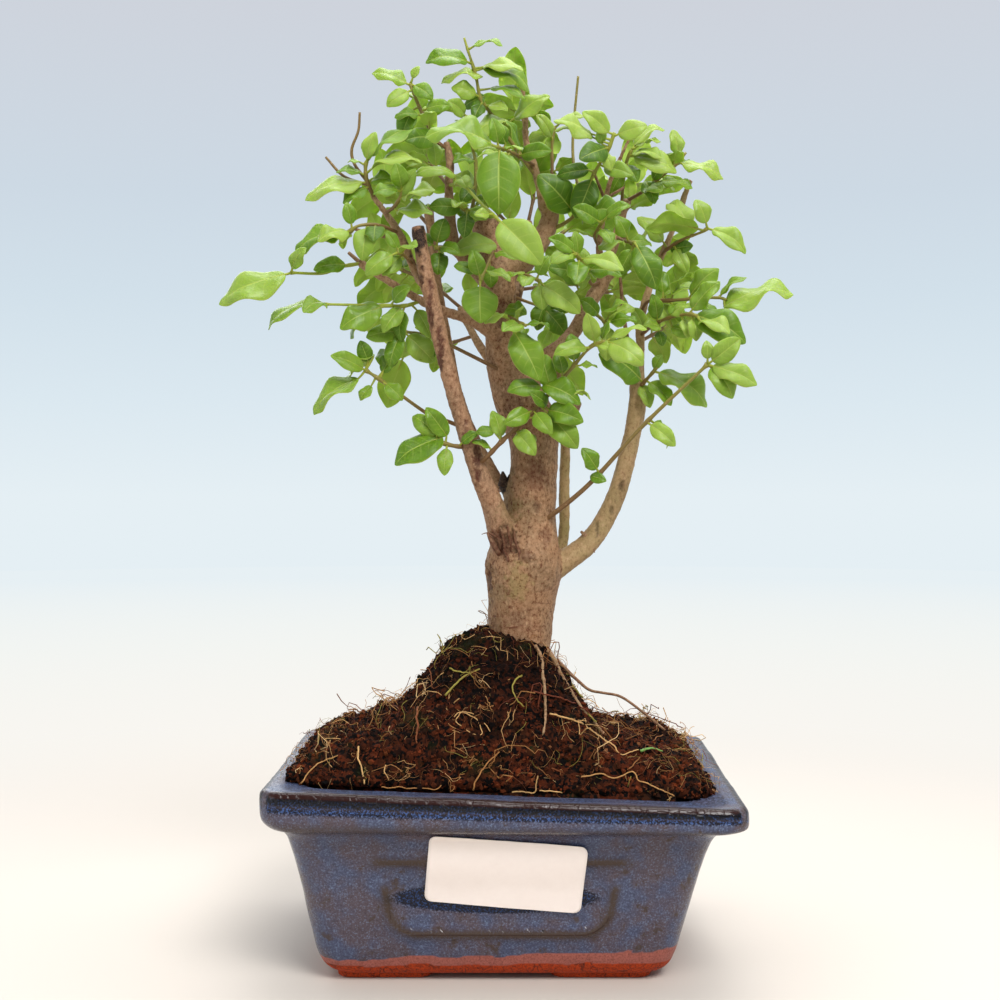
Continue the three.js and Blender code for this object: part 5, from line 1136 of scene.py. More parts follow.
def grownSkin(name, curves):
    points, faces = tubesOf(curves, bark["sides"], 0.07)
    piece = makePiece(name, points, faces, [])
    remesh = piece.modifiers.new("blend", "REMESH")
    remesh.mode = "VOXEL"
    remesh.voxel_size = bark["voxel"] * mm
    soften = piece.modifiers.new("soften", "SMOOTH")
    soften.factor = 0.5
    soften.iterations = bark["smoothing"]
    settled(piece)
    return piece


def dressBark(piece, curves, names):    # relief of lumps, streaks and lenticels, and the bark's tints
    points, normals = pointsOf(piece.data), normalsOf(piece.data)
    owner = nearestCurve(points, curves)
    look, sunk = barkLook(points, normals, owner, names)
    girth = np.array([min(1, curve[:, 3].mean() / 5) for curve in curves])[owner]
    relief = np.empty(len(points))
    for i, point in enumerate(points):
        place = Vector(point)
        streak = Vector((point[0], point[1], point[2] / 1.9)) / bark["grainSize"]
        wart = max(0, 0.42 - noise.voronoi(place / bark["wartSize"])[0][0])
        relief[i] = (bark["lump"] * noise.noise(place / bark["lumpSize"]) * girth[i]
                     + bark["grain"] * noise.fractal(streak, 0.9, 2.0, 3) + bark["wart"] * wart / 0.42)
    points = points + normals * (relief - sunk)[:, None]
    flat = points * mm + potMiddle
    piece.data.vertices.foreach_set("co", flat.ravel())
    setLook(piece.data, look)
    piece.data.shade_smooth()
    piece.data.update()


thick = {name: limbCurve(rows) for name, rows in wood.items()
         if max(row[3] for row in rows) >= bark["joinFrom"]}
thin = {name: limbCurve(rows) for name, rows in wood.items() if name not in thick}
roots = {f"root{i}": rootCurve(rows) for i, rows in enumerate(surfaceRoots)}
limbNames = list(thick) + list(roots)
limbCurves = list(thick.values()) + list(roots.values())

# privet bark: tan-grey with fine dark flecks, red-brown or olive on the younger limbs, near black in old
# wounds; dry and matt, paler and with fewer flecks on the smooth parts
barkColours = {
    "tan": "#8f6a49", "grey": "#795e41", "pale": "#bf9a78", "fleck": "#5a2e18", "red": "#743a26",
    "redDark": "#451b11", "olive": "#8a7f48", "wound": "#140a07", "lenticel": "#bb9a75",
}


def barkMaterial(name):
    material, shader, add = newMaterial(name, Roughness=0.62, Specular_IOR_Level=0.25)
    place = add("TexCoord").outputs["Object"]
    tints = add("Attribute", attribute_name="look")
    smoothBark = tints.outputs["Alpha"]
    red, olive, dark = add("SeparateColor", {0: tints.outputs["Color"]}).outputs
    streaked = add("Mapping", {"Vector": place, "Scale": (1.0, 1.0, 0.78)})
    patch = add("TexNoise", {"Vector": place, "Scale": 1000 / 8, "Detail": 4, "Roughness": 0.6})
    streak = add("TexNoise", {"Vector": streaked, "Scale": 1000 / 1.05, "Detail": 5, "Roughness": 0.74})
    fine = add("TexNoise", {"Vector": place, "Scale": 1000 / 0.55, "Detail": 3, "Roughness": 0.6})
    body = add("Mix", {0: add("MapRange", {"Value": patch, "From Min": 0.38, "From Max": 0.62}),
                       6: barkColours["tan"], 7: barkColours["grey"]}, data_type="RGBA")
    light = add("MapRange", {"Value": streak, "From Min": 0.44, "From Max": 0.68, "To Max": 0.6})
    light = add("Math", {0: light, 1: add("Math", {0: smoothBark, 1: 0.45}, operation="MULTIPLY")},
                operation="ADD", use_clamp=True)
    redTone = add("Mix", {0: patch, 6: barkColours["red"], 7: barkColours["redDark"]}, data_type="RGBA")
    redShare = add("Math", {0: red, 1: add("MapRange", {
        "Value": streak, "From Min": 0.3, "From Max": 0.6, "To Min": 1.15, "To Max": 0.6})},
        operation="MULTIPLY", use_clamp=True)
    oliveShare = add("Math", {0: olive, 1: add("MapRange", {
        "Value": patch, "From Min": 0.35, "From Max": 0.6, "To Min": 0.5, "To Max": 1.0})},
        operation="MULTIPLY", use_clamp=True)
    fleck = add("MapRange", {"Value": streak, "From Min": 0.445, "From Max": 0.385, "To Max": 0.9})
    few = add("MapRange", {"Value": smoothBark, "To Min": 1.0, "To Max": 0.25})
    fleck = add("Math", {0: fleck, 1: few}, operation="MULTIPLY")
    # wrinkles near the trunk's foot drawn as dark lines: the bark's darker colour in them and painted shade
    wrinkled = add("Mapping", {"Vector": place, "Scale": (0.32, 0.32, 1.7)})
    wrinkle = add("TexNoise", {"Vector": wrinkled, "Scale": 1000 / 1.7, "Detail": 3, "Roughness": 0.6})
    low = add("MapRange", {"Value": add("SeparateXYZ", {0: place}).outputs[2], "From Min": 0.134,
                           "From Max": 0.116, "To Max": 0.8})
    shadedCrease = add("MapRange", {"Value": wrinkle, "From Min": 0.41, "From Max": 0.35})
    shadedCrease = add("Math", {0: shadedCrease, 1: low}, operation="MULTIPLY")
    cells = add("TexVoronoi", {"Vector": add("Mapping", {
        "Vector": place, "Scale": (1.0, 1.0, 0.55)}), "Scale": 1000 / 2.6})
    lenticel = add("MapRange", {"Value": cells, "From Min": 0.18, "From Max": 0.08, "To Max": 0.5})
    burnt = add("Math", {0: dark, 1: add("MapRange", {
        "Value": fine, "From Min": 0.3, "From Max": 0.6, "To Min": 1.2, "To Max": 0.8})},
        operation="MULTIPLY", use_clamp=True)
    for share, colour in ((light, barkColours["pale"]), (redShare, redTone),
                          (oliveShare, barkColours["olive"]), (fleck, barkColours["fleck"]),
                          (shadedCrease, barkColours["fleck"]), (lenticel, barkColours["lenticel"]),
                          (burnt, barkColours["wound"])):
        body = add("Mix", {0: share, 6: body, 7: colour}, data_type="RGBA")
    grainy = add("Math", {0: streak, 1: fine}, operation="ADD")
    return finishMaterial(material, shader, Base_Color=body,
                          Normal=add("Bump", {"Height": grainy, "Distance": 0.16 * mm}))


privetBark = barkMaterial("dry privet bark")
treePiece = grownSkin("trunk_and_limbs", limbCurves)
dressBark(treePiece, limbCurves, limbNames)
treePiece.data.materials.clear()
treePiece.data.materials.append(privetBark)
wear(treePiece, "bark", "tree")
print("wood faces", len(treePiece.data.polygons))

# thin twigs, the root that arches out of the soil, and short broken spurs
spurs = [
    [[31, 139.2, 0, 0.9], [29.4, 140.6, 0, 0.7], [28.3, 141.6, -0.5, 0.45]],
    [[31.6, 137.2, 0, 0.7], [32.6, 135.6, -1, 0.4], [33.1, 134.2, -1.5, 0.15]],
]
tornFlaps = [    # two flaps of the same torn bark that stand off to the left
    [[0.6, 138.5, -12, 0.8], [-2.2, 140.2, -13, 0.5], [-4.3, 141.2, -13.4, 0.22],
     [-6.4, 140.6, -13.7, 0.12]],
    [[-0.2, 133.4, -12, 0.8], [-2, 136.4, -13.6, 0.95], [-3.4, 139, -13.8, 0.75],
     [-4.4, 141.1, -13.6, 0.35]],
]
snags = [    # the broken stub's two dark points
    [[1.2, 157.6, -2, 2], [1.2, 160.4, -2.5, 1.3], [0.9, 162.6, -2.5, 0.35]],
    [[2.6, 157.6, -2, 1.8], [3.2, 159.9, -2, 1], [3.4, 161.6, -2, 0.3]],
]
# bark torn at the foot of the left limb: strips that lie on it, across and up along each
tornStrips = [
    [(-1.8, 142.4), (-0.6, 138.4), (0.4, 133.8)], [(0.2, 143), (1.2, 138.6), (1.9, 132.6)],
    [(2.4, 143.2), (3.2, 139.4), (4, 134.4)], [(4.4, 142), (5.2, 138.6), (6.4, 134.8)],
    [(6.2, 136.6), (6.9, 134.2), (6.6, 131.8)], [(1.2, 135.6), (2.6, 133), (3, 130.8)],
]
skin = BVHTree.FromPolygons([Vector(p) for p in pointsOf(treePiece.data)],
                            [tuple(polygon.vertices) for polygon in treePiece.data.polygons])


def ontoBark(across, up, above):    # where the viewer's line meets the grown wood
    eye = Vector((0, -viewer["distance"], viewer["height"]))
    line = (Vector(seen(across, up, 0)) - eye).normalized()
    place, normal, face, gap = skin.ray_cast(eye, line)
    return [*(place + above * normal)]


thinCurves = list(thin.values()) + [limbCurve(rows) for rows in spurs]
archRows = [(*row[:3], row[3] * bark["rootShare"]) for row in archingRoot]
thinCurves.append(curveThrough(archRows, bark["step"]))
thinPoints = len(tubesOf(thinCurves, 12)[0])
for strip in tornStrips:
    girth = [0.3, 0.55, 0.2]
    thinCurves.append(curveThrough([[*ontoBark(*spot, 0.15 + 0.5 * (i == 0)), girth[i]]
                                    for i, spot in enumerate(strip)], 0.6))
thinCurves.extend(limbCurve(rows) for rows in tornFlaps)
tornPoints = len(tubesOf(thinCurves, 12)[0]) - thinPoints
thinCurves.extend(limbCurve(rows) for rows in snags)
points, faces = tubesOf(thinCurves, 12)
twigPiece = makePiece("thin_twigs", points, faces, [privetBark])
twigLooks = np.tile([0.2, 0, 0.9, 0], (len(points), 1))
twigLooks[:thinPoints + tornPoints] = [0.85, 0, 0.25, 0.3]
twigLooks[:thinPoints] = [0.6, 0.1, 0.1, 0.7]
setLook(twigPiece.data, twigLooks)
wear(twigPiece, "bark")


# Leafy shoots. Route rows are [across, up, depth]; leaf rows are [across, up, heading, towards the
# viewer, length, facing, tone, width share]: heading 0 is right and 90 up, facing 0 turns the upper
# side up and 90 to the viewer, tone 0 is dark green and 1 lime.
print("shoots")
shoots = [
    {"name": "shoot_left_long", "radius": [0.8, 0.6],
     "route": [[-48.5, 235.3, -13], [-56, 234, -15], [-62, 231.8, -17], [-73, 232, -26]],
     "leaves": [[-74, 232, 205, 10, 26, 50, 0.8], [-73, 232, 55, 30, 10, 70, 0.7],
                [-53, 237, 187, 20, 12, 75, 0.45]]},
    {"name": "shoot_left_second", "radius": [0.75, 0.55],
     "route": [[-28, 222, -11], [-33, 220.5, -14], [-40, 220.5, -16], [-61.5, 221, -19]],
     "leaves": [[-62, 221, 203, 5, 21, 20, 0.65], [-61, 221, 220, 45, 13, 60, 0.6],
                [-40, 221, 206, 20, 17, 70, 0.55], [-41, 220, 217, -25, 17, 40, 0.35],
                [-38, 221.5, 40, 20, 9, 60, 0.5], [-33, 219, 262, 0, 11, 15, 0.25],
                [-34, 219, 218, 15, 12, 70, 0.6], [-29, 219, 300, 20, 12, 80, 0.65]]},
    {"name": "shoot_left_low", "radius": [0.9, 0.6],
     "route": [[0, 198, -5], [-17, 206.5, -8], [-25, 210, -9], [-34, 211.5, -10]],
     "leaves": [[-36, 213, 250, 15, 13, 60, 0.35], [-33.5, 210, 275, 25, 14, 85, 0.75],
                [-34, 212, 215, 30, 12, 75, 0.6], [-29, 212, 280, 10, 8, 60, 0.3],
                [-25, 208, 285, 5, 7, 60, 0.25]]},
    {"name": "shoot_low_outer", "radius": [0.95, 0.6],
     "route": [[-11, 177, 8], [-18, 180, 1], [-25, 182.5, -5], [-41, 194, -11], [-47, 198, -13]],
     "leaves": [[-49.5, 195, 216, 10, 21, 30, 0.7], [-48.5, 194, 200, 30, 13, 70, 0.65],
                [-45, 192.5, 235, 10, 7, 60, 0.7], [-40.5, 195, 315, 15, 9, 70, 0.6],
                [-44, 203, 218, -15, 17, 20, 0.6], [-41, 197, 60, 10, 10, 60, 0.25],
                [-46, 201, 110, 20, 8, 80, 0.3], [-40, 199, 95, -10, 11, 70, 0.35]]},
    {"name": "shoot_low_stub", "radius": [0.95, 0.75],
     "route": [[-11, 171, -15], [-16, 171.5, -18], [-22, 173, -20]],
     "leaves": [[-20, 174.5, 204, 15, 20, 45, 0.35], [-18.5, 175, 128, 15, 13, 85, 0.45],
                [-18.5, 171.5, 262, 25, 10.5, 92, 0.75], [-22, 175.5, 150, -10, 12, 80, 0.6],
                [-14, 171, 30, 10, 7, 60, 0.3]]},
    {"name": "shoot_front_long", "radius": [1, 0.65],
     "route": [[-8, 164.5, -13.7], [-4.5, 167.7, -18], [1, 173.5, -20], [7, 179, -20], [17, 189.5, -19],
               [24.5, 198, -19], [31.5, 206, -22], [37, 208, -24]],
     "leaves": [[14, 192.5, 190, 25, 13, 60, 0.4], [9.5, 186, 205, 30, 11, 85, 0.5],
                [11.4, 184, 290, 35, 11, 88, 0.6], [6, 176, 312, 25, 11.5, 90, 0.75],
                [16.5, 186, 150, 40, 9, 80, 0.3], [17, 184, 343, 30, 15, 82, 0.45],
                [16.5, 183, 312, 30, 17.5, 85, 0.6], [15, 193, 335, 15, 16, 65, 0.4],
                [32.5, 207.5, 105, 35, 11, 108, 0.95], [28.5, 209, 195, 25, 13, 60, 0.75],
                [38, 208, 325, 25, 16, 70, 0.9], [38.4, 209, 5, 15, 14, 25, 0.9],
                [33, 207, 340, 30, 6, 50, 0.95], [-3.5, 171, 160, 10, 7, 30, 0.5],
                [-2, 176.5, 180, 15, 7, 70, 0.4]]},
    {"name": "shoot_right_middle_low", "radius": [0.8, 0.6],
     "route": [[36, 229, 3], [32, 228, -3], [29.5, 234, -14], [26.5, 238.5, -26]],
     "leaves": [[27.5, 236.5, 345, 30, 16.5, 50, 0.85], [30, 233, 350, 25, 12, 55, 0.4],
                [26, 240, 155, 25, 11, 75, 0.45], [26, 238.5, 190, 35, 11, 55, 0.7],
                [30, 229.5, 170, 30, 16, 85, 0.35]]},
    {"name": "shoot_front_middle", "radius": [0.75, 0.6],
     "route": [[1, 218, -4], [4, 216, -13], [9, 213.5, -24]],
     "leaves": [[5.2, 211, 298, 20, 20.5, 75, 0.5], [2, 220, 295, 25, 12, 80, 0.45]]},
    {"name": "shoot_front_upper", "radius": [0.75, 0.6],
     "route": [[2, 231, -4], [8, 231.5, -12], [14, 229, -19]],
     "leaves": [[15.3, 227.5, 321, 15, 17, 75, 0.9], [13, 230, 60, 20, 8, 60, 0.5]]},
    {"name": "shoot_heart_leaf", "radius": [0.75, 0.6],
     "route": [[-3, 238, -4], [-2, 240.5, -10], [-3, 238, -15], [-6.9, 229, -24]],
     "leaves": [[-6.9, 227.8, 268, 12, 13.5, 92, 0.5, 0.98], [-1.5, 242, 196, 30, 18, 60, 0.85],
                [-7.2, 229.5, 105, 20, 9.5, 80, 0.45], [-9, 232, 160, 10, 8, 60, 0.4]]},
    {"name": "shoot_pale_front", "radius": [0.8, 0.6],
     "route": [[-18, 262.5, -10], [-13, 262.5, -18], [-7, 256.6, -29], [-1, 251, -38]],
     "leaves": [[-1, 250.5, 310, 10, 22, 80, 0.8], [-3, 251.5, 190, 30, 6, 80, 1],
                [-14, 264.5, 300, 30, 10, 80, 0.75], [-15.5, 266, 178, 20, 16, 35, 0.75]]},
    {"name": "shoot_big_front", "radius": [0.8, 0.6],
     "route": [[12, 269.5, 3], [8, 272, -9], [3, 274.5, -23], [-1, 276, -36]],
     "leaves": [[-0.5, 275, 268, 8, 23.5, 90, 0.45], [7, 274.5, 358, 35, 12.5, 85, 0.4],
                [2, 277, 125, 20, 10, 70, 0.35], [-3, 277, 170, 10, 25, 45, 0.65]]},
    {"name": "shoot_crown", "radius": [0.95, 0.5],
     "route": [[12, 266.5, 3], [4, 277.5, -1], [0.3, 283, -3], [-5, 290, -5], [-7, 293.3, -6],
               [-8.5, 301, -7], [-11, 309, -8], [-12.5, 314, -8]],
     "leaves": [[-9.2, 305.5, 183, 15, 16, 60, 0.4], [-6, 300.5, 187, 10, 16, 30, 0.95],
                [-10.5, 310.5, 2, 15, 11.5, 30, 0.6], [-6, 304, 355, 20, 15.5, 40, 0.95],
                [-6, 303.5, 342, -10, 20, 45, 0.5], [-3.5, 296.5, 358, 10, 14, 30, 0.5],
                [-2, 293, 340, 30, 8, 50, 0.9], [-8, 293, 165, 20, 9.5, 80, 0.85],
                [-5.3, 293.8, 205, 20, 9, 70, 0.2], [-6, 291.5, 250, 30, 7, 80, 0.15],
                [2, 285.5, 191, 25, 16.5, 35, 0.85], [5, 286, 30, 25, 15, 60, 0.8]]},
    {"name": "shoot_green_stem", "radius": [0.95, 0.55],
     "route": [[17, 247, 6], [22, 249, 4], [26.2, 252.4, 1], [28.7, 258, -2], [33.6, 268, -6],
               [37.8, 275, -10], [40, 281, -12]],
     "twigs": [[[28.7, 258, -2], [26, 268, 3], [25.5, 280, 6], [27.3, 300.6, 6]]],
     "leaves": [[38, 281, 140, 15, 12, 80, 0.95], [39, 280, 10, 20, 11, 80, 0.95],
                [32.5, 279.3, 160, 20, 16, 50, 0.95], [31, 281, 158, -10, 13, 30, 0.95],
                [32.5, 278, 190, 30, 14, 85, 0.15], [35, 275, 5, 25, 10, 30, 0.9],
                [36.5, 269, 333, 30, 12, 85, 0.65], [31, 268, 190, 10, 12, 85, 0.15],
                [35, 265, 250, -10, 15, 80, 0.2], [27, 252, 137, 30, 18.5, 85, 0.25],
                [29.4, 251.5, 320, 30, 20.5, 70, 0.35], [35.5, 277, 100, 30, 6, 60, 0.6]]},
    {"name": "shoot_dark_twig", "radius": [0.9, 0.55],
     "route": [[17.5, 254, 6], [18.2, 267.4, 8], [18.2, 276.9, 8], [19.2, 283.2, 8]],
     "leaves": [[18.5, 283, 15, 10, 10, 40, 0.9], [17, 278.5, 130, 30, 10, 70, 0.9],
                [18.5, 281, 200, -20, 11, 50, 0.8]]},
    {"name": "shoot_reddish", "radius": [0.7, 0.55],
     "route": [[35, 240, 1], [33, 245, -8], [36, 250, -15]],
     "leaves": [[35, 249.5, 158, 25, 11, 80, 0.4], [37, 251, 30, 20, 10, 60, 0.5]]},
    {"name": "shoot_right_upper", "radius": [0.85, 0.55],
     "route": [[44.4, 257.2, 8], [49.4, 260, 6], [52.5, 262.5, 4], [61.6, 270, 1], [65, 274, 0]],
     "leaves": [[62.5, 271.5, 105, 10, 9, 50, 0.95], [63.7, 270, 341, 10, 16, 45, 0.95],
                [52.5, 263.5, 60, 25, 7, 60, 0.4], [54, 264, 348, 20, 12, 40, 0.6],
                [51, 264, 285, 20, 9.5, 60, 0.4], [51.5, 261.5, 325, 30, 9, 75, 0.6]]},
    {"name": "shoot_right_top", "radius": [0.8, 0.55],
     "route": [[42.6, 253, 8], [42.6, 257, 4], [43, 262, 1], [44, 270, -2], [46, 275, -4]],
     "leaves": [[46, 272.5, 335, 15, 17, 60, 0.95], [45, 273, 345, 35, 12, 40, 0.8],
                [46, 276, 350, 10, 9, 20, 0.9], [47, 276.5, 10, -10, 13, 30, 0.95],
                [44, 270.5, 290, 30, 8, 75, 0.3], [43.5, 268, 200, 20, 9, 60, 0.5]]},
    {"name": "shoot_far_right", "radius": [0.75, 0.55],
     "route": [[56.5, 238, 8], [58, 240, 3], [63.7, 243.6, -3], [70, 246, -8], [72.5, 247.5, -10]],
     "leaves": [[71, 247.3, 172, -5, 19, -35, 0.5], [73, 248.7, 117, 10, 9.5, 60, 0.8],
                [73, 248.2, 326, 15, 15.5, 60, 0.8], [57, 243, 140, 15, 13, 65, 0.85],
                [57, 241, 0, 35, 8.5, 90, 0.2], [61, 241, 290, 15, 10, 85, 0.85],
                [66, 248, 160, 0, 15, 45, 0.9]]},
    {"name": "shoot_right_middle", "radius": [0.75, 0.6],
     "route": [[40.6, 244.3, 7], [44, 243, -2], [47, 242.5, -10]],
     "leaves": [[47, 242, 295, 15, 18, 85, 0.3], [46, 240, 240, -15, 10, 80, 0.5],
                [45, 243.5, 120, 20, 9, 60, 0.5]]},
    {"name": "shoot_right_level", "radius": [0.8, 0.55],
     "route": [[49, 218, 6], [52, 222, 1], [59, 222.3, -6], [75, 223.3, -14], [79, 222.5, -16]],
     "leaves": [[57.5, 224, 5, 0, 18, 20, 0.75], [66, 221, 50, 30, 14, 60, 0.6],
                [78, 220, 14, 10, 26, 32, 0.85], [57, 225, 100, -10, 9, 40, 0.45]]},
    {"name": "shoot_right_lower", "radius": [0.8, 0.6],
     "route": [[49, 210, 6], [54, 214, -4], [60, 216.5, -12], [66, 217.5, -20], [69, 216.8, -24]],
     "leaves": [[66, 217.8, 50, 25, 14, 60, 0.6], [54.5, 215.5, 100, 35, 10, 65, 0.4],
                [66.5, 217.3, 333, 15, 21, 70, 0.4], [66, 216, 345, 0, 16, 50, 0.35],
                [70, 215, 333, 35, 15.5, 40, 0.85], [56, 213, 175, 35, 8, 60, 0.65],
                [59, 215.5, 10, 40, 9.5, 50, 0.75], [60, 213, 335, 35, 9, 75, 0.6],
                [55.5, 211.5, 280, 20, 6, 80, 0.2], [50, 213, 120, 20, 8.5, 80, 0.7]]},
    {"name": "shoot_right_inner", "radius": [0.75, 0.6],
     "route": [[30, 218.5, 2], [34, 217, -6], [37, 214.5, -12]],
     "leaves": [[37, 213.5, 0, 25, 10, 50, 0.45], [36.5, 215.5, 25, 20, 10, 50, 0.85],
                [35, 216, 140, 20, 9, 70, 0.5]]},
    {"name": "shoot_trunk_right", "radius": [0.75, 0.6],
     "route": [[4, 224, 2], [9, 222, 6], [15, 220, 8]],
     "leaves": [[16, 222, 250, 0, 11, 60, 0.35], [15, 221, 310, 10, 12, 70, 0.3],
                [17, 220.5, 350, 0, 11, 60, 0.25], [14, 221, 60, 10, 9, 60, 0.5]]},
    {"name": "shoot_right_sweep", "radius": [1.15, 0.65],
     "route": [[14, 145, -4], [19, 148, -9], [32, 159, -15], [50.4, 179, -24], [72.5, 200, -34]],
     "leaves": [[74, 200, 35, 15, 13, 85, 0.75], [74, 199.5, 335, 20, 17, 60, 0.8],
                [74, 199, 323, 30, 14.5, 55, 0.65], [72.8, 201, 95, 10, 7, 70, 0.75],
                [50.5, 181, 320, 25, 12, 80, 0.9], [51.5, 181, 305, -10, 12, 30, 0.5],
                [34, 162.7, 128, 20, 9.5, 70, 0.45], [31.5, 161, 345, 30, 6.5, 80, 0.35]]},
    {"name": "shoot_right_side", "radius": [0.8, 0.6],
     "route": [[48, 191.5, 5], [51, 194.5, 0], [55, 199, -4]],
     "leaves": [[49.5, 193, 146, 25, 19, 60, 0.35], [54.5, 197, 324, 10, 22, 40, 0.65],
                [52, 193.5, 316, 30, 12.5, 50, 0.6], [49.5, 192.5, 290, 35, 10, 60, 0.8],
                [53, 197, 60, 10, 6, 60, 0.6]]},
    {"name": "shoot_left_tip", "radius": [0.9, 0.55],
     "route": [[-44, 258.3, -14], [-46.5, 264, -15], [-47, 269, -16], [-46.5, 271, -16]],
     "twigs": [[[-46.5, 264, -15], [-50.8, 269.9, -14], [-51.8, 275.1, -14], [-49.5, 281.6, -14],
                [-49, 288, -14]],
               [[-45.8, 262.6, -15], [-54.5, 265.7, -14], [-60.9, 272.4, -14]]],
     "leaves": [[-46.5, 263.5, 196, 15, 21.5, 35, 0.85], [-46, 266.7, 8, 20, 21, 30, 0.9],
                [-46.8, 269.8, 72, 10, 10.5, 60, 0.85], [-46, 271, 32, 5, 20, 25, 0.5],
                [-45, 261.8, 222, 30, 11, 50, 0.35], [-47, 266, 175, -20, 9, 40, 0.4],
                [-48, 270, 178, 10, 5, 30, 0.6], [-44.5, 264.5, 350, 35, 9, 70, 0.4]]},
    {"name": "shoot_left_middle", "radius": [0.8, 0.55],
     "route": [[-40, 252.8, -14.5], [-37, 255, -19], [-35, 258, -22], [-34, 261, -23]],
     "leaves": [[-34.5, 260.5, 190, 25, 9.5, 60, 0.45], [-35.5, 256, 70, 25, 12, 75, 0.7],
                [-35, 257, 20, 35, 14, 45, 0.85], [-36, 253.5, 355, 30, 15, 50, 0.7],
                [-35, 260.5, 100, 10, 9, 60, 0.5]]},
    {"name": "shoot_left_down", "radius": [0.8, 0.6],
     "route": [[-35.5, 246, -15], [-42, 248.5, -21], [-49, 248.5, -24], [-53, 246, -24]],
     "leaves": [[-46, 250, 262, 20, 13, 90, 0.75], [-43.5, 249.5, 275, 35, 9.5, 70, 0.2],
                [-55.4, 246.3, 205, 10, 19, 40, 0.5], [-50, 242.3, 211, 30, 14, 60, 0.85],
                [-52, 247.5, 100, 10, 8, 50, 0.5]]},
    {"name": "shoot_left_inner", "radius": [0.75, 0.6],
     "route": [[-30.5, 235, -17], [-34, 238.5, -22], [-36, 239, -25]],
     "leaves": [[-36, 239, 204, 15, 12.5, 75, 0.7], [-34, 238, 228, 25, 10, 80, 0.7],
                [-35, 239, 120, 10, 7, 60, 0.5]]},
    {"name": "shoot_knob", "radius": [0.8, 0.6],
     "route": [[-16.8, 242, -12], [-20, 241, -15], [-23, 240.5, -16]],
     "leaves": [[-22.5, 241.5, 75, 10, 9.5, 85, 0.35], [-21, 239.5, 350, 40, 9, 70, 0.45],
                [-21, 239, 265, 20, 9, 70, 0.25], [-22, 241, 150, -20, 9, 60, 0.4]]},
    {"name": "shoot_dark_centre", "radius": [0.75, 0.6],
     "route": [[-17.9, 258, -10], [-14, 255, -15], [-11.5, 254, -17]],
     "leaves": [[-12, 255.5, 185, 20, 12, 85, 0.35], [-11.5, 254, 268, 25, 10, 85, 0.2],
                [-11, 254.5, 330, 30, 8, 70, 0.5]]},
    {"name": "shoot_top_left", "radius": [0.8, 0.55],
     "route": [[-18, 275, -9], [-22.8, 278.6, -11], [-25, 283, -12], [-29.4, 292.7, -13],
               [-31.3, 298, -13]],
     "leaves": [[-30.5, 289, 245, 10, 12, 60, 0.35], [-31.8, 295.4, 218, 20, 10, 80, 0.85],
                [-30, 299.6, 322, 15, 9, 70, 0.45], [-30.8, 298.5, 60, 10, 5, 60, 0.9],
                [-22, 278, 188, 30, 14, 85, 0.25], [-27.5, 288.5, 10, 25, 9, 80, 0.55],
                [-26.5, 287, 190, -10, 9, 50, 0.4]]},
    {"name": "shoot_upright", "radius": [0.9, 0.55],
     "route": [[-15, 241, -10], [-10, 253, -5], [-8.4, 268.5, -4], [-10.5, 279, -5], [-12, 287, -6]],
     "leaves": [[-12, 287, 180, 15, 15, 20, 0.95], [-11.5, 286.5, 150, 30, 9, 80, 0.85],
                [-10, 279.5, 20, 20, 9, 60, 0.35], [-9, 271, 200, 20, 10, 60, 0.3],
                [-8.5, 268, 330, 25, 9, 75, 0.25], [-9.5, 262, 240, 35, 8, 80, 0.2]]},
]

backRoutes = [
    [[10, 250, 34], [12, 262, 38], [10, 275, 36]], [[8, 237, 28], [22, 246, 40], [32, 252, 44]],
    [[9, 243, 31], [-4, 256, 40], [-12, 264, 42]], [[6, 226, 20], [24, 228, 34], [36, 226, 42]],
    [[-14, 220, 38], [-24, 228, 44], [-34, 232, 44]], [[-9, 210, 31], [-22, 206, 40], [-34, 203, 42]],
    [[-12, 216, 35], [-8, 228, 46], [-2, 238, 52]], [[-4, 202, 24], [8, 202, 38], [18, 204, 46]],
    [[-17.8, 262, -10], [-24, 270, 8], [-28, 276, 20]], [[9, 279, 2], [8, 286, 14], [4, 292, 24]],
    [[42, 250, 8], [46, 258, 22], [48, 264, 32]], [[49, 208, 6], [56, 212, 20], [60, 216, 30]],
    [[-22, 227, 12], [-32, 232, 22], [-42, 236, 28]], [[-24.5, 248, 12], [-32, 256, 20], [-40, 260, 24]],
    [[33, 225, 3], [40, 226, 18], [44, 232, 28]], [[41, 246, 7], [52, 238, 20], [60, 236, 26]],
]

nudges = [
    [0, 0], [12, 0], [-12, 0], [0, 15], [0, -15], [22, 10], [-22, 10], [22, -12], [-22, -12], [0, 32],
    [0, -32], [42, 0], [-42, 0], [38, 28], [-38, 28], [38, -28], [-38, -28], [70, 0], [-70, 0],
]

foliage = {
    "rowsPerMm": 0.9, "leastRows": 10, "thickness": 0.3, "edge": 0.13, "groove": 0.14, "quilting": 0.09,
    "veins": 6.5, "stalk": [0.48, 0.34], "stemSides": 8, "stemStep": 1.0, "nodeSwelling": 0.28,
    "least": 9, "steps": 64, "gap": 0.75, "backPairs": [0.62, 0.98], "backSpread": 0.85, "backLeast": 12,
    "backMore": 7, "backFacing": -40, "tolerance": 0.3,
    # small leaves between the larger ones, on stems that have room for them
    "spacing": 5.2, "room": 4.8, "smallest": 6.5, "smallMore": 7.5, "spread": 0.95, "inside": 1.0,
    "stemShare": 0.8, "recurve": 0.13, "gull": 0.3, "sway": 0.14,
}
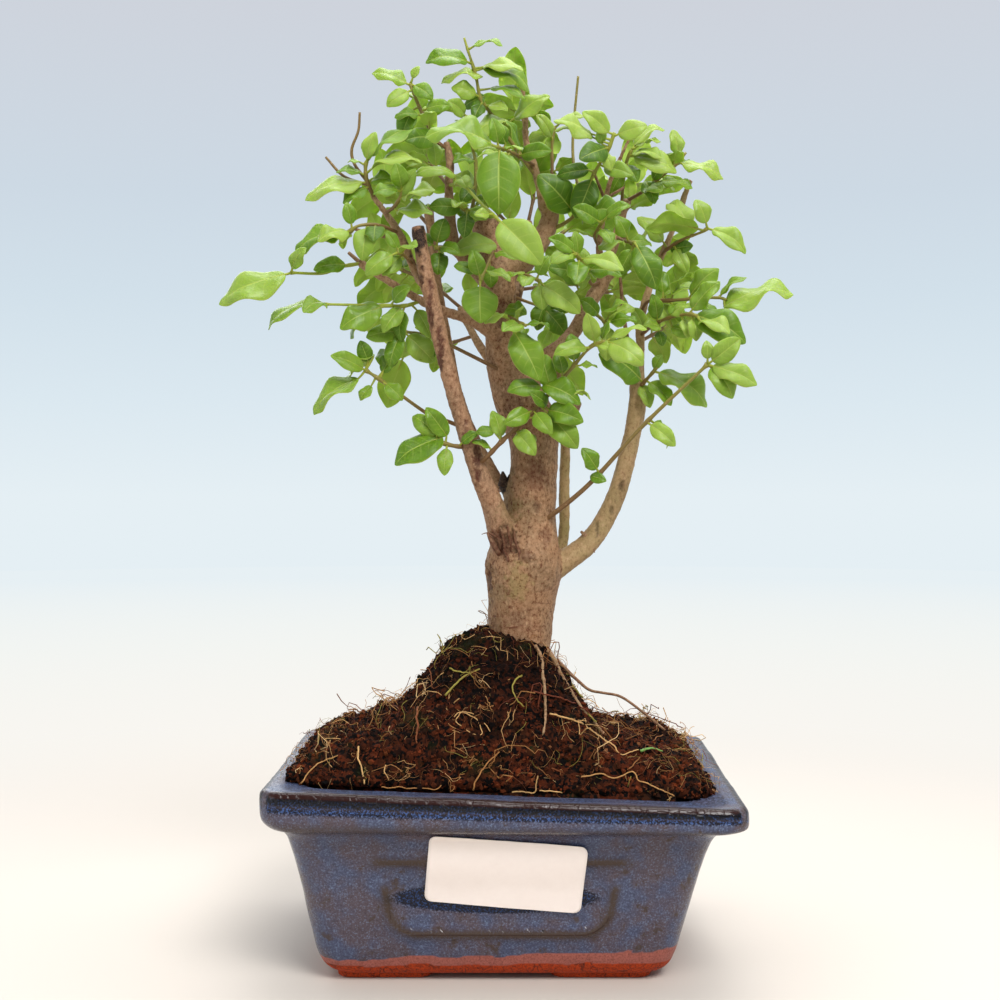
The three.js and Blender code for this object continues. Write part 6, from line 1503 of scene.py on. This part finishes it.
# shoots whose stems are bare between the leaves
bareStems = {
    "shoot_left_long", "shoot_left_second", "shoot_left_low", "shoot_low_stub", "shoot_green_stem",
    "shoot_far_right", "shoot_trunk_right", "shoot_right_sweep", "shoot_right_side", "shoot_left_tip",
    "shoot_right_top", "shoot_pale_front", "shoot_low_outer", "shoot_crown",
}
across = np.array([-1, -0.88, -0.62, -0.33, -0.1, 0, 0.1, 0.33, 0.62, 0.88, 1])    # a blade's columns
greenStems = {    # how green a stem is from its foot on, where it isn't as brown as most
    "shoot_left_long": 0.9, "shoot_left_second": 0.9, "shoot_pale_front": 1, "shoot_left_tip": 0.15,
    "shoot_right_top": 0.15, "shoot_dark_twig": 0, "shoot_knob": 0.1, "shoot_green_stem": 0.35,
    "shoot_upright": 0.3, "shoot_crown": 0.3,
}

segments = np.array([[*seen(*one[:3]), *seen(*other[:3]), one[3], other[3]]
                     for rows in wood.values() for one, other in zip(rows, rows[1:])])
segmentStart, segmentEnd, radiusStart, radiusEnd = np.split(segments, [3, 6, 7], axis=1)


def fromWood(place):    # how far a place is from the surface of the nearest wood
    line = segmentEnd - segmentStart
    share = np.clip(np.sum((place - segmentStart) * line, axis=1) / np.sum(line * line, axis=1), 0, 1)
    nearest = segmentStart + share[:, None] * line
    radius = radiusStart[:, 0] + (radiusEnd - radiusStart)[:, 0] * share
    return np.min(np.linalg.norm(place - nearest, axis=1) - radius)


def alongRoute(places, share):
    lengths = [np.linalg.norm(b - a) for a, b in zip(places, places[1:])]
    left = share * sum(lengths)
    step = 0
    while step < len(lengths) - 1 and left > lengths[step]:
        left -= lengths[step]
        step += 1
    return places[step] + (places[step + 1] - places[step]) * min(1, left / lengths[step])


def leafRow(place, direction, length, facing, tone):
    scale = (viewer["distance"] + place[1]) / viewer["distance"]
    return [place[0] / scale, viewer["height"] + (place[2] - viewer["height"]) / scale,
            math.degrees(math.atan2(direction[2], direction[0])), math.degrees(math.asin(-direction[1])),
            length, facing, tone]


def backShoot(route, index):    # two pairs of leaves on each shoot of the far side
    places = [seen(*point) for point in route]
    leaves = []
    for pair, share in enumerate(foliage["backPairs"]):
        place = alongRoute(places, share)
        along = unit(place - alongRoute(places, share - 0.1))
        level = unit(np.cross([0, 0, 1], along))
        turned = level if pair % 2 == 0 else np.cross(along, level)
        for side in (-1, 1):
            number = 1000 + index * 10 + pair * 2 + (1 if side > 0 else 0)
            direction = unit(along * 0.55 + turned * side * foliage["backSpread"])
            length = foliage["backLeast"] + foliage["backMore"] * draw(number, 8)
            tone = 0.2 + 0.7 * draw(number, 9)
            leaves.append(leafRow(place, direction, length, foliage["backFacing"], tone))
    return {"name": f"shoot_back_{index + 1}", "route": route, "radius": [0.85, 0.6], "leaves": leaves}


def leafDepth(leaf, route):    # depth of the stem where it passes the blade's base
    spot = np.array(leaf[:2])
    nearest, depth = math.inf, 0
    for one, other in zip(route, route[1:]):
        a, b = np.array(one[:2], float), np.array(other[:2], float)
        share = min(1, max(0, (spot - a).dot(b - a) / (b - a).dot(b - a)))
        distance = np.linalg.norm(a + (b - a) * share - spot)
        if distance < nearest:
            nearest, depth = distance, one[2] + (other[2] - one[2]) * share
    return depth


def leafFrame(leaf, number, nudge, depth):
    heading, towards = math.radians(leaf[2] + nudge[0]), math.radians(leaf[3] + nudge[1])
    facing = math.radians(leaf[5])
    axis = np.array([math.cos(towards) * math.cos(heading), -math.sin(towards),
                     math.cos(towards) * math.sin(heading)])
    upper = np.array([0, -math.sin(facing), math.cos(facing)])
    if abs(upper.dot(axis)) > 0.97:
        upper = np.array([0, -math.cos(facing), math.sin(facing)])
    upper = unit(upper - axis * upper.dot(axis))
    curl = 0.35 + 0.6 * draw(number, 1)
    width = leaf[7] if len(leaf) > 7 else 0.54 + 0.14 * draw(number, 5) + (0.1 if leaf[4] < 10 else 0)
    return {
        "axis": axis * math.cos(curl / 2) + upper * math.sin(curl / 2),
        "upper": upper * math.cos(curl / 2) - axis * math.sin(curl / 2),
        "side": np.cross(axis, upper), "curl": curl, "fold": 0.12 + 0.3 * draw(number, 2),
        "wave": 0.04 + 0.07 * draw(number, 3), "phase": 6.28 * draw(number, 4), "widthShare": width,
        "sway": foliage["sway"] * (draw(number, 6) - 0.5),
        "length": leaf[4] * (viewer["distance"] + depth) / viewer["distance"],
    }


def leafSeat(leaf, blade, free, depth):    # the blade's base and the place its stalk grows from
    base = seen(leaf[0], leaf[1], depth)
    foot = free[np.argmin(np.linalg.norm(free - base, axis=1))]
    reach = base - foot
    length = np.linalg.norm(reach)
    if length < 1.5 or length > 9 or abs(reach.dot(blade["side"])) > 0.8 * length:
        base = foot + blade["axis"] * 2
    return base, foot


def bladeGrid(base, blade, shares):    # middle of the blade's thickness and its normal, row by row
    s = shares[:, None, None]
    v = across[None, :, None]
    bend = blade["curl"] * s
    length = blade["length"]
    normal = blade["upper"] * np.cos(bend) + blade["axis"] * np.sin(bend)
    outline = np.maximum(0, np.sin(math.pi * s ** 0.82)) ** 0.68
    half = outline * blade["widthShare"] / 2 * length
    ripple = np.sin(9.4 * s + blade["phase"] + np.where(v > 0, 1.7, 0))
    ripple = ripple * smooth(0, 0.25, s) * smooth(1, 0.8, s)
    lift = (np.abs(v) ** 1.2 * half * math.sin(blade["fold"])
            - np.abs(v) ** 3.5 * half * foliage["gull"]
            + np.abs(v) * length * blade["wave"] * ripple
            + 0.35 * half * blade["wave"] * np.abs(v) ** 2 * np.sin(21 * s + 2 * blade["phase"] + v)
            - length * foliage["recurve"] * smooth(0.6, 1.15, s))
    middle = (base + blade["axis"] * length * np.sin(bend) / blade["curl"]
              - blade["upper"] * length * (1 - np.cos(bend)) / blade["curl"]
              + blade["side"] * length * blade["sway"] * s ** 2)
    return middle + blade["side"] * v * half * math.cos(blade["fold"]) + normal * lift, normal


def bladeSheet(base, blade, start):
    rows = max(foliage["leastRows"], round(blade["length"] * foliage["rowsPerMm"]) + 4)
    shares = 0.5 - 0.5 * np.cos(np.linspace(0.012, 1, rows) ** 0.9 * math.pi)
    shares[-1] = 0.9995
    middle, normal = bladeGrid(base, blade, shares)
    v, s = np.abs(across)[None, :], shares[:, None]
    size = min(1, blade["length"] / 16)
    thick = foliage["edge"] + (foliage["thickness"] - foliage["edge"]) * (1 - v) ** 0.6
    thick = thick * np.minimum(1, 0.35 + 6 * s * (1 - s))
    rib = np.exp(-(v / 0.09) ** 2) * smooth(1, 0.75, s)
    quilt = foliage["quilting"] * np.sin(2 * math.pi * (foliage["veins"] * (s - 0.16 * v)))
    quilt = quilt * smooth(0.05, 0.3, v) * smooth(1, 0.8, v) * smooth(0, 0.1, s) * smooth(1, 0.85, s)
    groove = foliage["groove"] * rib
    upper = middle + normal * (thick / 2 + size * (quilt - groove))[:, :, None]
    under = middle - normal * (thick / 2 - size * (quilt - 0.02 - groove))[:, :, None]
    columns = len(across)
    points, faces = closedSheet(upper.reshape(-1, 3), under.reshape(-1, 3), rows, columns, start)
    one = np.stack(np.broadcast_arrays(0.5 + 0.5 * across[None, :], s), axis=-1).reshape(-1, 2)
    return points, faces, np.vstack([one, one])


def fittingNudge(leaf, number, free, depth, packed):    # the turn that the solid blade was given
    best, found = foliage["tolerance"], None
    for nudge in nudges:
        blade = leafFrame(leaf, number, nudge, depth)
        base, foot = leafSeat(leaf, blade, free, depth)
        c = blade["curl"]
        tip = (base + blade["axis"] * blade["length"] * math.sin(c) / c
               - blade["upper"] * blade["length"] * (1 - math.cos(c)) / c)
        away = (blade["upper"] * math.cos(c) + blade["axis"] * math.sin(c)) * 0.32
        miss = max(np.min(np.linalg.norm(packed - corner, axis=1)) for corner in (tip + away, tip - away))
        if miss < best:
            best, found = miss, nudge
    return found


# living leaves: dark green to lime above; below a paler yellow-green, partly the underside's own colour and
# partly painted light shining through the blade; pale midrib and veins; a waxy satin cuticle and a little
# light passing through
leafColours = {
    "dark": "#3b5a0e", "middle": "#608016", "lime": "#899f40", "under": "#9cb544", "vein": "#a8b456",
    "rim": "#a9b458", "spot": "#5c4718",
}


def leafMaterial(name):
    material, shader, add = newMaterial(name, Roughness=0.4, Subsurface_Weight=0.3, Subsurface_Scale=0.001,
                                        Subsurface_Radius=(0.7, 1.0, 0.15), Specular_IOR_Level=0.28)
    place = add("TexCoord").outputs["Object"]
    look = add("SeparateColor", {0: add("Attribute", attribute_name="look").outputs["Color"]})
    tone, top, chance = look.outputs
    uv = add("SeparateXYZ", {0: add("UVMap", uv_map="blade")})
    sideways = add("Math", {0: add("Math", {0: uv.outputs[0], 1: 0.5}, operation="SUBTRACT")},
                   operation="ABSOLUTE")
    patch = add("TexNoise", {"Vector": place, "Scale": 1000 / 6, "Detail": 3})
    fine = add("TexNoise", {"Vector": place, "Scale": 1000 / 0.7, "Detail": 3, "Roughness": 0.6})
    uneven = add("MapRange", {"Value": patch, "To Min": -0.22, "To Max": 0.22})
    level = add("Math", {0: tone, 1: uneven}, operation="ADD")
    darker = add("MapRange", {"Value": level, "From Min": 0.05, "From Max": 0.5})
    lighter = add("MapRange", {"Value": level, "From Min": 0.45, "From Max": 0.95})
    body = add("Mix", {0: darker, 6: leafColours["dark"], 7: leafColours["middle"]}, data_type="RGBA")
    body = add("Mix", {0: lighter, 6: body, 7: leafColours["lime"]}, data_type="RGBA")
    slant = add("Math", {0: sideways, 1: -0.32}, operation="MULTIPLY")
    along = add("Math", {0: add("Math", {0: uv.outputs[1], 1: slant}, operation="ADD"),
                         1: foliage["veins"] * 2 * math.pi}, operation="MULTIPLY")
    branch = add("Math", {0: along}, operation="SINE")
    branch = add("MapRange", {"Value": branch, "From Min": -0.8, "From Max": -1.0, "To Max": 0.16})
    fading = add("MapRange", {"Value": sideways, "From Min": 0.44, "From Max": 0.2})
    branch = add("Math", {0: branch, 1: fading}, operation="MULTIPLY")
    midrib = add("MapRange", {"Value": sideways, "From Min": 0.03, "From Max": 0.01, "To Max": 0.5},
                 interpolation_type="SMOOTHSTEP")
    veins = add("Math", {0: branch, 1: midrib}, operation="MAXIMUM")
    # the underside: its own paler colour, brightened with painted light shining through it
    under = add("Mix", {0: 0.62, 6: body, 7: leafColours["under"]}, data_type="RGBA")
    body = add("Mix", {0: top, 6: under, 7: body}, data_type="RGBA")
    margin = add("MapRange", {"Value": sideways, "From Min": 0.465, "From Max": 0.497, "To Max": 0.4})
    spotted = add("MapRange", {"Value": fine, "From Min": 0.68, "From Max": 0.76, "To Max": 0.5})
    for share, colour in ((veins, "vein"), (margin, "rim"), (spotted, "spot")):
        body = add("Mix", {0: share, 6: body, 7: leafColours[colour]}, data_type="RGBA")
    sheen = add("MapRange", {"Value": chance, "To Min": 0.32, "To Max": 0.5})
    gloss = add("Mix", {0: top, 2: 0.6, 3: sheen})
    height = add("Math", {0: fine, 1: veins}, operation="SUBTRACT")
    return finishMaterial(material, shader, Base_Color=body, Roughness=gloss,
                          Normal=add("Bump", {"Height": height, "Distance": 0.09 * mm}))


# young stems and leaf stalks: brown bark near the limb, smooth yellow-green towards the tip
stemColours = {"bark": "#7f5a3c", "barkDark": "#573322", "green": "#7f8f24", "pale": "#9ea53e"}


def stemMaterial(name):
    material, shader, add = newMaterial(name, Roughness=0.5, Specular_IOR_Level=0.3)
    place = add("TexCoord").outputs["Object"]
    look = add("SeparateColor", {0: add("Attribute", attribute_name="look").outputs["Color"]})
    patch = add("TexNoise", {"Vector": place, "Scale": 1000 / 2.2, "Detail": 4, "Roughness": 0.6})
    woody = add("Mix", {0: patch, 6: stemColours["bark"], 7: stemColours["barkDark"]}, data_type="RGBA")
    fresh = add("Mix", {0: patch, 6: stemColours["green"], 7: stemColours["pale"]}, data_type="RGBA")
    body = add("Mix", {0: look.outputs[0], 6: woody, 7: fresh}, data_type="RGBA")
    cells = add("TexVoronoi", {"Vector": place, "Scale": 1000 / 1.4})
    dots = add("MapRange", {"Value": cells, "From Min": 0.2, "From Max": 0.08, "To Max": 0.5})
    body = add("Mix", {0: dots, 6: body, 7: barkColours["lenticel"]}, data_type="RGBA")
    return finishMaterial(material, shader, Base_Color=body,
                          Normal=add("Bump", {"Height": patch, "Distance": 0.08 * mm}))


leafSkin = leafMaterial("waxy privet leaf")
youngBark = stemMaterial("young privet stem")


def freeStem(shoot):    # the places along a shoot's stem that are clear of the wood
    places = [seen(*point) for point in shoot["route"]]
    free = [alongRoute(places, step / foliage["steps"]) for step in range(foliage["steps"] + 1)]
    return places, np.array([place for place in free if fromWood(place) > foliage["gap"]][2:])


def leavesOf(shoot, index, free):    # each leaf with its number, blade, base and foot on the stem
    packed = pointsOf(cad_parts[shoot["name"]].data)
    grown = []
    for order, leaf in enumerate(shoot["leaves"]):
        number = index * 20 + order
        depth = leafDepth(leaf, shoot["route"])
        nudge = fittingNudge(leaf, number, free, depth, packed) if leaf[4] >= foliage["least"] else nudges[0]
        if nudge is None:
            print("no blade", shoot["name"], order)
            continue
        blade = leafFrame(leaf, number, nudge, depth)
        grown.append((leaf, number, blade, *leafSeat(leaf, blade, free, depth)))
    return grown


def bladeSpots(base, blade):    # a blade's middle and tip
    return bladeGrid(base, blade, np.array([0.5, 1.0]))[0][:, len(across) // 2]


def smallLeaves(index, free, taken):    # pairs of small leaves where nothing else grows
    grown = []
    since = 0
    for step in range(2, len(free) - 1):
        since += np.linalg.norm(free[step] - free[step - 1])
        if since < foliage["spacing"]:
            continue
        since = 0
        along = unit(free[step + 1] - free[step - 1])
        level = unit(np.cross([0, 0, 1], along) + [0, 0, 0.01])
        turned = level if step % 2 == 0 else np.cross(along, level)
        for side in (-1, 1):
            number = 5000 + index * 80 + step * 2 + (1 if side > 0 else 0)
            direction = unit(along * 0.6 + turned * side * foliage["spread"]
                             + 0.35 * (np.array([draw(number, k) for k in (10, 11, 12)]) - 0.5))
            start = free[step] + direction * 1.6
            length = foliage["smallest"] + foliage["smallMore"] * draw(number, 8)
            facing = 55 - 50 * draw(number, 13) if free[step][1] < 5 else -35
            leaf = leafRow(start, direction, length, facing, 0.3 + 0.65 * draw(number, 9))
            blade = leafFrame(leaf, number, (0, 0), start[1])
            spots = bladeSpots(start, blade)
            inside = all(np.all(spot > treeLow) and np.all(spot < treeHigh) for spot in spots)
            crowded = min(np.min(np.linalg.norm(np.array(taken) - spot, axis=1)) for spot in spots)
            if inside and crowded > foliage["room"] and fromWood(spots[0]) > 2.5:
                grown.append((leaf, number, blade, start, free[step]))
                taken.extend(spots)
    return grown


def growShoot(shoot, index, places, grown):
    points, faces, slots, look, uv = [], [], [], [], []

    def addPart(more, closed, slot, tints, coordinates=None):
        points.extend(more)
        faces.extend(closed)
        slots.extend([slot] * len(closed))
        look.extend(tints)
        uv.extend([(0, 0)] * len(more) if coordinates is None else coordinates)

    fresh = greenStems.get(shoot["name"], 0.05)
    path = curveThrough(places, foliage["stemStep"])
    radii = foliage["stemShare"] * np.linspace(shoot["radius"][0], shoot["radius"][1], len(path))
    for leaf, number, blade, base, foot in grown:    # a stem swells where stalks join it
        radii += foliage["nodeSwelling"] * 0.5 * np.exp(-(np.linalg.norm(path - foot, axis=1) / 1.1) ** 2)
    radii = np.minimum(radii, shoot["radius"][0] * 1.5)
    more, closed = tube(path, radii, foliage["stemSides"], len(points))
    share = np.repeat(np.linspace(0, 1, len(path)), foliage["stemSides"])
    addPart(more, closed, 0, [(min(1, fresh + 0.5 * s ** 2), 0, draw(index, 3)) for s in share])
    for twig in shoot.get("twigs", []):
        path = curveThrough([seen(*point) for point in twig], foliage["stemStep"])
        more, closed = tube(path, np.linspace(0.6, 0.42, len(path)), foliage["stemSides"], len(points))
        addPart(more, closed, 0, [(fresh, 0, draw(index, 4))] * len(more))

    for leaf, number, blade, base, foot in grown:
        inner = bladeGrid(base, blade, np.array([0.02, 0.1, 0.22]))[0][:, len(across) // 2]
        drop = -blade["upper"] * 0.16
        path = curveThrough([foot, (foot + base) / 2 + drop, inner[0] + drop, inner[1] + drop,
                             inner[2] + drop * 0.7], 0.7)
        radii = np.linspace(*foliage["stalk"], len(path)) * np.linspace(1, 0.35, len(path)) ** 0.5
        more, closed = tube(path, radii, 7, len(points))
        addPart(more, closed, 0, [(0.75 + 0.25 * leaf[6], 0, draw(number, 6))] * len(more))
        more, closed, coordinates = bladeSheet(base, blade, len(points))
        count = len(more) // 2
        tints = [(leaf[6], 1, draw(number, 7))] * count + [(leaf[6], 0, draw(number, 7))] * count
        addPart(more, closed, 1, tints, coordinates)
    piece = makePiece("leafy_" + shoot["name"], points, faces, [youngBark, leafSkin], slots, look, uv)
    return wear(piece, "leaves", shoot["name"])


treeLow = (np.array(cadBox[0]) - potMiddle) / mm + foliage["inside"]
treeHigh = (np.array(cadBox[1]) - potMiddle) / mm - foliage["inside"]
allShoots = shoots + [backShoot(route, i) for i, route in enumerate(backRoutes)]
stems = [freeStem(shoot) for shoot in allShoots]
foliageRows = [leavesOf(shoot, i, stems[i][1]) for i, shoot in enumerate(allShoots)]
taken = [spot for grown in foliageRows for row in grown for spot in bladeSpots(row[3], row[2])]
largeLeaves = sum(len(grown) for grown in foliageRows)
for i, grown in enumerate(foliageRows):
    if allShoots[i]["name"] not in bareStems:
        grown.extend(smallLeaves(i, stems[i][1], taken))
for i, shoot in enumerate(allShoots):
    growShoot(shoot, i, stems[i][0], foliageRows[i])
smallOnes = sum(len(grown) for grown in foliageRows) - largeLeaves
print("shoots", len(allShoots), "leaves", largeLeaves, "and small ones", smallOnes)
